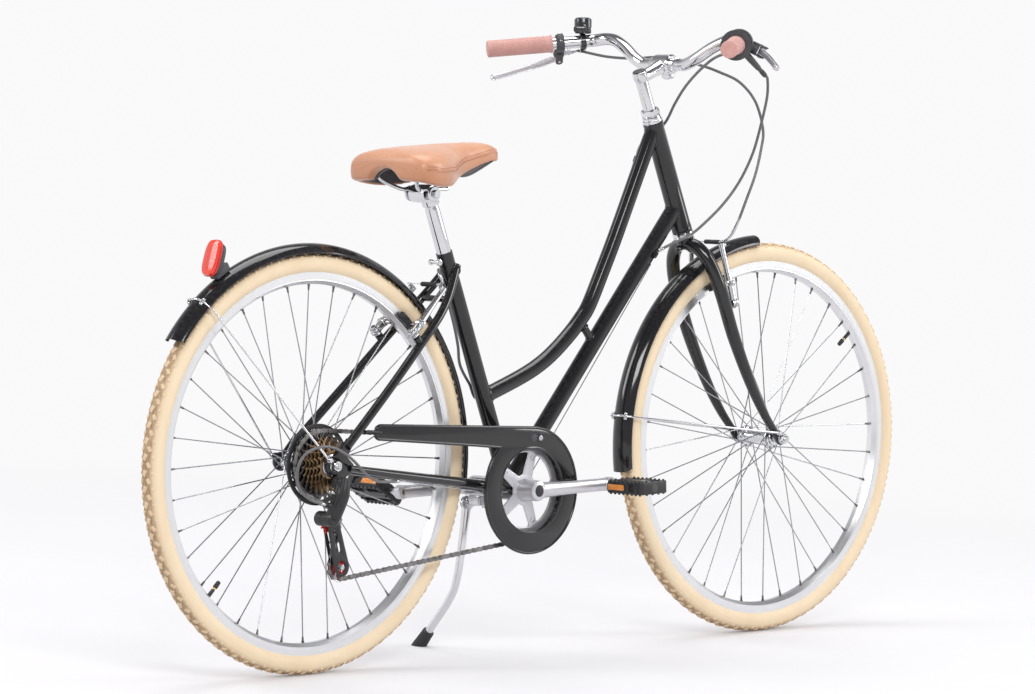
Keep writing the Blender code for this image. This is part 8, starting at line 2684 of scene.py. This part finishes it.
# Saddle
@dataclass
class Saddle:
    """The padded saddle: a simulated cushion, its seams, base, rails, clamp and post."""

    rear: float = 0.16
    nose: float = 0.424
    half_width: float = 0.103
    nose_half: float = 0.03
    crown_line: Sequence[Pair] = ((0.0, 0.86), (0.05, 0.867), (0.12, 0.872), (0.5, 0.8785),
                                  (0.9, 0.883), (1.0, 0.868))
    skirt_line: Sequence[Pair] = ((0.0, 0.04), (0.08, 0.054), (0.2, 0.066), (0.4, 0.068),
                                  (0.5, 0.06), (0.6, 0.049), (0.8, 0.037), (1.0, 0.0215))
    keel_line: Sequence[Pair] = ((0.0, -0.002), (0.54, -0.001), (0.62, 0.011), (0.7, 0.0135),
                                 (0.9, 0.0065))
    rail_bolt: Vector = field(default_factory=lambda: Vector((0.256, 0.0, 0.792)))
    rail_y: float = 0.0225
    rail_radius: float = 0.0035
    post_radius: float = 0.0127
    arch_z: float = 0.79

    def arch(self) -> Object:
        """The cone that cuts the arch for the rails into the saddle's tail."""
        low = Vector((self.rear - 0.01, 0.0, self.arch_z))
        return pin("arch", low, low + X * 0.056, 0.05, 0.04, sides=48, round_off=0.0)

    def between(self, knots: Sequence[Pair], share: float) -> float:
        """A value read off a line through (share, value) knots."""
        for (s1, v1), (s2, v2) in zip(knots, knots[1:]):
            if share <= s2:
                return v1 + (v2 - v1) * (share - s1) / (s2 - s1)
        return knots[-1][1]

    def levels(self, share: float) -> Triple:
        """Half width, crown height and lower edge height at a share of the length."""
        tail = math.sqrt(max(0.0, 1.0 - (1.0 - min(share / 0.1, 1.0)) ** 2))
        tip = math.sqrt(max(0.0, 1.0 - (max(share - 0.9, 0.0) / 0.1) ** 2))
        blend = 1.0 / (1.0 + math.exp((share - 0.43) * 15.0))
        width = self.nose_half + (self.half_width - self.nose_half) * blend
        crown = self.between(self.crown_line, share)
        edge = crown - self.between(self.skirt_line, share)
        return width * (0.55 + 0.45 * tail) * (0.4 + 0.6 * tip), crown, edge

    def at(self, share: float) -> float:
        """The x at a share of the length."""
        return self.rear + (self.nose - self.rear) * share

    def loft(self, name: str, rows: Sequence[Tuple[float, List[Pair]]]) -> Object:
        """A closed solid bridged through sections along the bike, each given as its left half.

        Args:
            name: The new object's name.
            rows: An x and the section's (y, z) points, from the middle of the top to the bottom's.

        Returns:
            The solid.
        """
        loops = []
        for x, half in rows:
            around = half + [(-y, z) for y, z in reversed(half) if y > 0.0]
            loops.append(outline_mesh("row", [(x, y, z) for y, z in around], True))
        solid = joined(name, loops)
        with editing(solid, "EDGE") as mesh:
            bpy.ops.mesh.select_all(action="SELECT")
            bpy.ops.mesh.bridge_edge_loops()
            bpy.ops.mesh.select_all(action="DESELECT")
            for edge in mesh.edges:
                edge.select = edge.is_boundary
            bpy.ops.mesh.edge_face_add()
        return cleaned(solid)

    def pad(self) -> Object:
        """The foam and leather: a smaller lofted form, swollen by cloth pressure and capped."""
        rows = []
        for share in (0.012, 0.05, 0.14, 0.26, 0.4, 0.54, 0.7, 0.88, 0.99):
            half, crown, edge = self.levels(share)
            tall = crown - edge
            rows.append((self.at(share),
                         [(half * 0.4, crown - 0.0035),
                          (half * 0.78, crown - tall * 0.12 - 0.003),
                          (half * 0.965, crown - tall * 0.45),
                          (half * 0.965, crown - tall * 0.8), (half * 0.945, edge + 0.001),
                          (half * 0.93, edge - 0.004), (half * 0.78, edge - 0.0044),
                          (half * 0.4, edge - 0.003)]))
        pad = self.loft("pad", rows)
        changed(pad, "SUBSURF", levels=2, render_levels=2)
        cut(pad, [self.loft("pocket", self.base_rows(0.0006, 0.06)), self.arch()])
        changed(pad, "REMESH", mode="VOXEL", voxel_size=0.0032)
        self.swell(pad)
        changed(pad, "SUBSURF", levels=1, render_levels=1)
        return pad

    def swell(self, pad: Object, most: float = 0.006) -> None:
        """Blows the pad up as cloth for twenty frames, and keeps each point near where it began.

        Args:
            pad: The remeshed pad.
            most: How far a point may move.
        """
        held = pad.vertex_groups.new(name="held")
        start = [v.co.copy() for v in pad.data.vertices]
        for i, vert in enumerate(pad.data.vertices):
            share = min(1.0, max(0.0, (vert.co.x - self.rear) / (self.nose - self.rear)))
            _, crown, edge = self.levels(share)
            low = vert.co.z < edge + 0.3 * (crown - edge)
            inner = vert.normal.z < -0.2
            held.add([i], 1.0 if low or inner else 0.0, "REPLACE")
        cloth = pad.modifiers.new("cloth", "CLOTH")
        cloth.settings.use_pressure = True
        cloth.settings.uniform_pressure_force = 4.0
        cloth.settings.effector_weights.gravity = 0.0
        cloth.settings.vertex_group_mass = "held"
        cloth.settings.quality = 6
        cloth.settings.tension_stiffness = 18.0
        cloth.settings.compression_stiffness = 18.0
        cloth.point_cache.frame_start = 1
        cloth.point_cache.frame_end = 20
        scene = bpy.context.scene
        for step in range(1, 21):
            scene.frame_set(step)
        take(pad)
        bpy.ops.object.modifier_apply(modifier=cloth.name)
        for vert, was in zip(pad.data.vertices, start):
            move = vert.co - was
            if move.length > most:
                vert.co = was + move.normalized() * most
        scene.frame_set(1)
        pad.vertex_groups.clear()

    def seam_line(self, side: float, share_down: float, lift: float) -> Path:
        """A line round the pad's side, at a share of the way down from its crown.

        Args:
            side: The side's sign.
            share_down: How far down the side it runs.
            lift: How far it stands out.

        Returns:
            The line from the tail to the nose.
        """
        line = []
        for i in range(64):
            share = 0.03 + 0.955 * i / 63
            half, crown, edge = self.levels(share)
            line.append(Vector((self.at(share), side * (half + lift),
                                crown - (crown - edge) * share_down)))
        return line

    def cushion(self) -> None:
        """The cushion with a welted, stitched seam laid on its surface."""
        pad = dressed(self.pad(), LEATHER)
        pieces = [pad]
        for side in Side:
            way = side.value
            welt = []
            for point in self.seam_line(way, 0.62, 0.02):
                hit, spot, normal, _ = pad.ray_cast(point, Vector((0.0, -way, 0.0)))
                if hit:
                    welt.append(spot + normal * 0.0002)
            smooth = smooth_path(welt[::3], 6)
            pieces.append(dressed(pipe("welt", [smooth], 0.0011, sides=10), LEATHER))
            stitches = []
            for offset in (0.0034, -0.0034):
                for a, b in zip(smooth[::3], smooth[2::3]):
                    raised = [p + Vector((0.0, way * 0.0004, offset))
                              for p in (a, (a + b) / 2.0, b)]
                    raised[1] += Vector((0.0, way * 0.0005, 0.0))
                    stitches.append(raised)
            pieces.append(dressed(pipe("stitches", stitches, 0.00042, sides=6), THREAD))
        piece = clad("saddle_cushion", pieces, "seat", smooth=60.0)

    def base_rows(self, grow: float, drop: float) -> List[Tuple[float, List[Pair]]]:
        """The sections of the moulded base, grown by a clearance, with its floor dropped."""
        rows = []
        shares = (0.085, 0.16, 0.26, 0.36, 0.46, 0.56, 0.62, 0.7, 0.8, 0.9)
        for i, share in enumerate(shares):
            half, crown, edge = self.levels(share)
            top = crown - 0.015 + grow
            side_top = crown - (crown - edge) * 0.55
            wide = half * 0.74 + grow
            low = edge - drop - self.between(self.keel_line, share)
            x = self.at(share) + (-grow if i == 0 else grow if i == len(shares) - 1 else 0.0)
            rows.append((x,
                         [(half * 0.52 + grow, top - 0.001), (wide, side_top + grow),
                          (wide, low)]))
        return rows

    def base(self) -> None:
        """The dark moulded base with its rolled edge, ribs and rail sockets."""
        shell = self.loft("shell", self.base_rows(0.0, 0.0))
        cut(shell, [self.loft("hollow", self.base_rows(-0.004, 0.06)), self.arch()])
        pieces = [shell]
        _, _, edge = self.levels(0.085)
        round_arch = (polar(0.0495, math.pi * i / 32) for i in range(33))
        lip = [Vector((self.at(0.085) + 0.001, y, self.arch_z + z)) for y, z in round_arch
               if self.arch_z + z > edge - 0.003]
        pieces.append(pipe("arch lip", [lip], 0.003, sides=12))
        for side in Side:
            way = side.value
            edge_line = [Vector((x, way * half[2][0], half[2][1]))
                         for x, half in self.base_rows(0.0, 0.0)]
            pieces.append(pipe("edge", [smooth_path(edge_line, 6)], 0.0018, sides=12))
            seat = Vector((self.rear + 0.038, way * 0.048, 0.8337))
            pieces.append(pin("socket", seat, Vector((seat.x, seat.y, 0.853)), 0.007, 0.0082))
        for share in (0.3, 0.42, 0.55, 0.68):
            half, crown, _ = self.levels(share)
            pieces.append(slab("rib", Matrix.Translation((self.at(share), 0.0, crown - 0.0215)),
                               (0.0022, half * 0.98, 0.006), 0.0006))
        clad("saddle_base", [dressed(joined("base", pieces), SADDLE_BASE)], "seat")

    def rails(self) -> None:
        """One wire bent into both rails."""
        bolt = self.rail_bolt
        socket = Vector((self.rear + 0.038, 0.048, 0.833))
        half = [socket, socket + Vector((0.003, -0.004, -0.017)),
                Vector((bolt.x - 0.03, self.rail_y, 0.8)),
                Vector((bolt.x - 0.01, self.rail_y, 0.8)),
                Vector((bolt.x + 0.025, self.rail_y, 0.8)),
                Vector((bolt.x + 0.04, self.rail_y - 0.002, 0.803)),
                Vector((self.nose - 0.108, 0.013, 0.834)),
                Vector((self.nose - 0.08, 0.008, 0.838))]
        left = smooth_path(half, 7)
        path = left + [Vector((self.nose - 0.0745, 0.0045, 0.838)),
                       Vector((self.nose - 0.073, 0.0, 0.838))]
        path += [sided(p, -1.0) for p in reversed(path[:-1])]
        wire = pipe("wire", [path], self.rail_radius, sides=20)
        clad("saddle_rails", [dressed(wire, CHROME)], "seat")

    def clamp_and_post(self) -> None:
        """The round clamp with its serrated washers and bolt, on the polished post."""
        foot = SEAT_TOP + UP_SEAT * (0.085 + GAP)
        bolt = self.rail_bolt
        neck_bore = 0.0109 + GAP
        drum = [(neck_bore, 0.0), (0.0138, 0.0), (0.015, 0.0012), (0.015, 0.0128),
                (0.0138, 0.014), (0.0, 0.014), (0.0, 0.0082), (neck_bore, 0.0082)]
        pieces = [turned("socket", drum, aimed(foot, UP_SEAT), 48, False),
                  cross_pin("drum", bolt, self.rail_y - self.rail_radius - GAP, 0.0155, 48)]
        steel = [cross_pin("bolt", bolt, 0.036, 0.0035)]
        for side in Side:
            out = Y * side.value
            start = bolt + out * (self.rail_y + self.rail_radius + GAP)
            pieces.append(ring("washer", start, out, 0.0036, 0.0132, 0.0, 0.005, 48, 0.0012))
            notch = slab("notch", Matrix.Translation((0.0122, 0.0, 0.0006)),
                         (0.0026, 0.0009, 0.0012), 0.0002)
            pieces.append(copies("notches", notch,
                                 [aimed(start, out)
                                  @ Matrix.Rotation(math.tau * i / 24, 4, "Z")
                                  for i in range(24)]))
            steel.append(hexagon("nut", start + out * 0.0046, start + out * 0.01, 0.0066))
        clad("saddle_clamp", [dressed(joined("clamp", pieces), CHROME)]
             + [dressed(p, STEEL) for p in steel], "seat")
        bottom = SEAT_TOP - UP_SEAT * 0.13
        tall = 0.215
        r = self.post_radius
        post = [(0.0, 0.0), (r - 0.0008, 0.0), (r, 0.0008)]
        for i in range(3):
            z = 0.09 + 0.01 * i
            post += [(r, z), (r - 0.0002, z + 0.0002), (r - 0.0002, z + 0.0006), (r, z + 0.0008)]
        post += [(r, tall - 0.008), (r - 0.0008, tall - 0.004), (0.0109, tall),
                 (0.0109, tall + 0.008), (0.0, tall + 0.008)]
        tube = turned("post", post, aimed(bottom, UP_SEAT), 56, False)
        clad("seatpost", [dressed(tube, CHROME)], "seat")

    def build(self) -> None:
        """Makes the saddle and what carries it."""
        self.cushion()
        self.base()
        self.rails()
        self.clamp_and_post()


# Studio
@dataclass
class Studio:
    """A plain white studio: floor, soft lamps, a bright world and the camera of the photograph."""

    focal_pixels: float = 5103.6
    width: float = 1035.0
    sensor: float = 36.0
    eye: Triple = (-5.5982, -6.2575, 0.969)
    right: Triple = (0.7175, -0.6965, 0.0097)
    down: Triple = (-0.0282, -0.043, -0.9987)
    ahead: Triple = (0.696, 0.7163, -0.0505)
    room_side: Triple = (-0.696, -0.7163, 0.0)
    lamps: Sequence[Tuple[Triple, Triple, float, float, float]] = (
        ((-2.6, -3.6, 3.2), (0.0, 0.0, 0.45), 2.6, 1.3, 105.0),
        ((3.2, -2.6, 2.4), (0.2, 0.0, 0.5), 1.4, 2.4, 60.0),
        ((-3.4, 2.4, 2.8), (-0.2, 0.0, 0.4), 1.6, 2.2, 60.0),
        ((0.4, 0.6, 4.2), (0.0, 0.0, 0.3), 3.0, 2.4, 80.0),
    )

    def camera(self) -> None:
        """Sets the camera that was fitted to the photograph's wheels and frame."""
        data = bpy.data.cameras.new("photo_view")
        data.sensor_width = self.sensor
        data.lens = self.focal_pixels * self.sensor / self.width
        data.clip_end = 200.0
        obj = bpy.data.objects.new("photo_view", data)
        bpy.context.scene.collection.objects.link(obj)
        turn = Matrix((Vector(self.right).normalized(), -Vector(self.down).normalized(),
                       -Vector(self.ahead).normalized())).transposed().to_4x4()
        obj.matrix_world = STAND @ Matrix.Translation(self.eye) @ turn
        bpy.context.scene.camera = obj

    def lights(self) -> None:
        """Large soft lamps round the bike."""
        for i, (place, target, wide, tall, power) in enumerate(self.lamps):
            data = bpy.data.lights.new("softbox_%d" % i, "AREA")
            data.shape = "RECTANGLE"
            data.size = wide
            data.size_y = tall
            data.energy = power
            obj = bpy.data.objects.new("softbox_%d" % i, data)
            bpy.context.scene.collection.objects.link(obj)
            aim = Vector(target) - Vector(place)
            turn = aim.to_track_quat("-Z", "Y").to_matrix().to_4x4()
            obj.matrix_world = Matrix.Translation(place) @ turn

    def world(self) -> None:
        """A world that is white behind the bike and a softer grey overhead, for the metal."""
        made = bpy.data.worlds.new("studio")
        bpy.context.scene.world = made
        made.use_nodes = True
        net = Net(made.node_tree)
        background = made.node_tree.nodes["Background"]
        rays = net.node("ShaderNodeLightPath")
        up = net.node("ShaderNodeSeparateXYZ",
                      {0: net.node("ShaderNodeTexCoord").outputs["Generated"]}).outputs[2]
        ceiling = net.ramp(up, 0.1, 0.75)
        toward = net.node("ShaderNodeVectorMath",
                          {0: net.node("ShaderNodeTexCoord").outputs["Generated"],
                           1: self.room_side}, operation="DOT_PRODUCT").outputs["Value"]
        walls = net.mix(net.ramp(toward, 0.05, 0.75), (0.9, 0.9, 0.92), (0.46, 0.46, 0.48))
        seen = net.mix(ceiling, walls, (0.16, 0.16, 0.17))
        lit = net.mix(rays.outputs["Is Glossy Ray"], (0.62, 0.62, 0.64), seen)
        shown = net.mix(net.math("MAXIMUM", rays.outputs["Is Camera Ray"],
                                 rays.outputs["Is Transmission Ray"]), lit, (0.955, 0.952, 0.962))
        net.tree.links.new(shown, background.inputs["Color"])

    def floor(self) -> None:
        """A wide pale floor, nearly as white as the backdrop, which keeps the soft shadow."""
        deselect()
        bpy.ops.mesh.primitive_plane_add(size=60.0)
        obj = bpy.context.object
        obj.name = "floor"
        made = bpy.data.materials.new("pale_floor")
        made.use_nodes = True
        net = Net(made.node_tree)
        shader = made.node_tree.nodes["Principled BSDF"]
        place = net.node("ShaderNodeTexCoord").outputs["Object"]
        blotch = net.ramp(net.noise(place, 1.3, 5.0), 0.35, 0.75)
        net.tree.links.new(net.mix(blotch, (0.66, 0.652, 0.666), (0.635, 0.626, 0.642)),
                           shader.inputs["Base Color"])
        shader.inputs["Roughness"].default_value = 0.75
        shader.inputs["Emission Color"].default_value = (1.0, 0.995, 1.0, 1.0)
        far = net.ramp(net.node("ShaderNodeVectorMath", {0: place},
                                operation="LENGTH").outputs["Value"], 0.9, 2.6)
        rays = net.node("ShaderNodeLightPath")
        seen = net.math("MAXIMUM", rays.outputs["Is Camera Ray"], rays.outputs["Is Glossy Ray"])
        backdrop = net.node("ShaderNodeEmission", {"Color": (0.955, 0.952, 0.962, 1.0)})
        blend = net.node("ShaderNodeMixShader",
                         {0: net.math("MULTIPLY", far, seen), 1: shader.outputs[0],
                          2: backdrop.outputs[0]})
        net.tree.links.new(blend.outputs[0],
                           made.node_tree.nodes["Material Output"].inputs["Surface"])
        glow = net.math("MULTIPLY", rays.outputs["Is Camera Ray"], 0.12)
        net.tree.links.new(glow, shader.inputs["Emission Strength"])
        obj.data.materials.append(made)

    def build(self) -> None:
        """Sets up the studio."""
        self.camera()
        self.lights()
        self.world()
        self.floor()


def main() -> None:
    """Builds the studio, then each sub-assembly in turn."""
    logging.basicConfig(level=logging.INFO, format="%(name)s: %(message)s")
    bpy.context.scene.view_settings.view_transform = "Standard"
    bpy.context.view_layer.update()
    for part in ASSEMBLIES:
        part.build()


LEVERS = (BrakeLever(Side.LEFT, 0.131, math.radians(39.0)),
          BrakeLever(Side.RIGHT, 0.1665, math.radians(25.0)))
ASSEMBLIES = (Studio(), front_wheel(), rear_wheel(), SpokeProtector(), FrameSet(),
              Fork(), rear_fender(), front_fender(), Reflector(), Stem(), Handlebar(),
              TwistShifter(), *LEVERS, Bell(), Cables(LEVERS, FrameSet().top_path()),
              *brake_arms(), CHAIN, Sprockets(), Crankset(),
              Pedal(Side.LEFT, math.radians(-32.0)),
              Pedal(Side.RIGHT, math.radians(2.0)), ChainGuard(), Derailleur(), Kickstand(),
              Saddle())

if __name__ == "__main__":
    main()
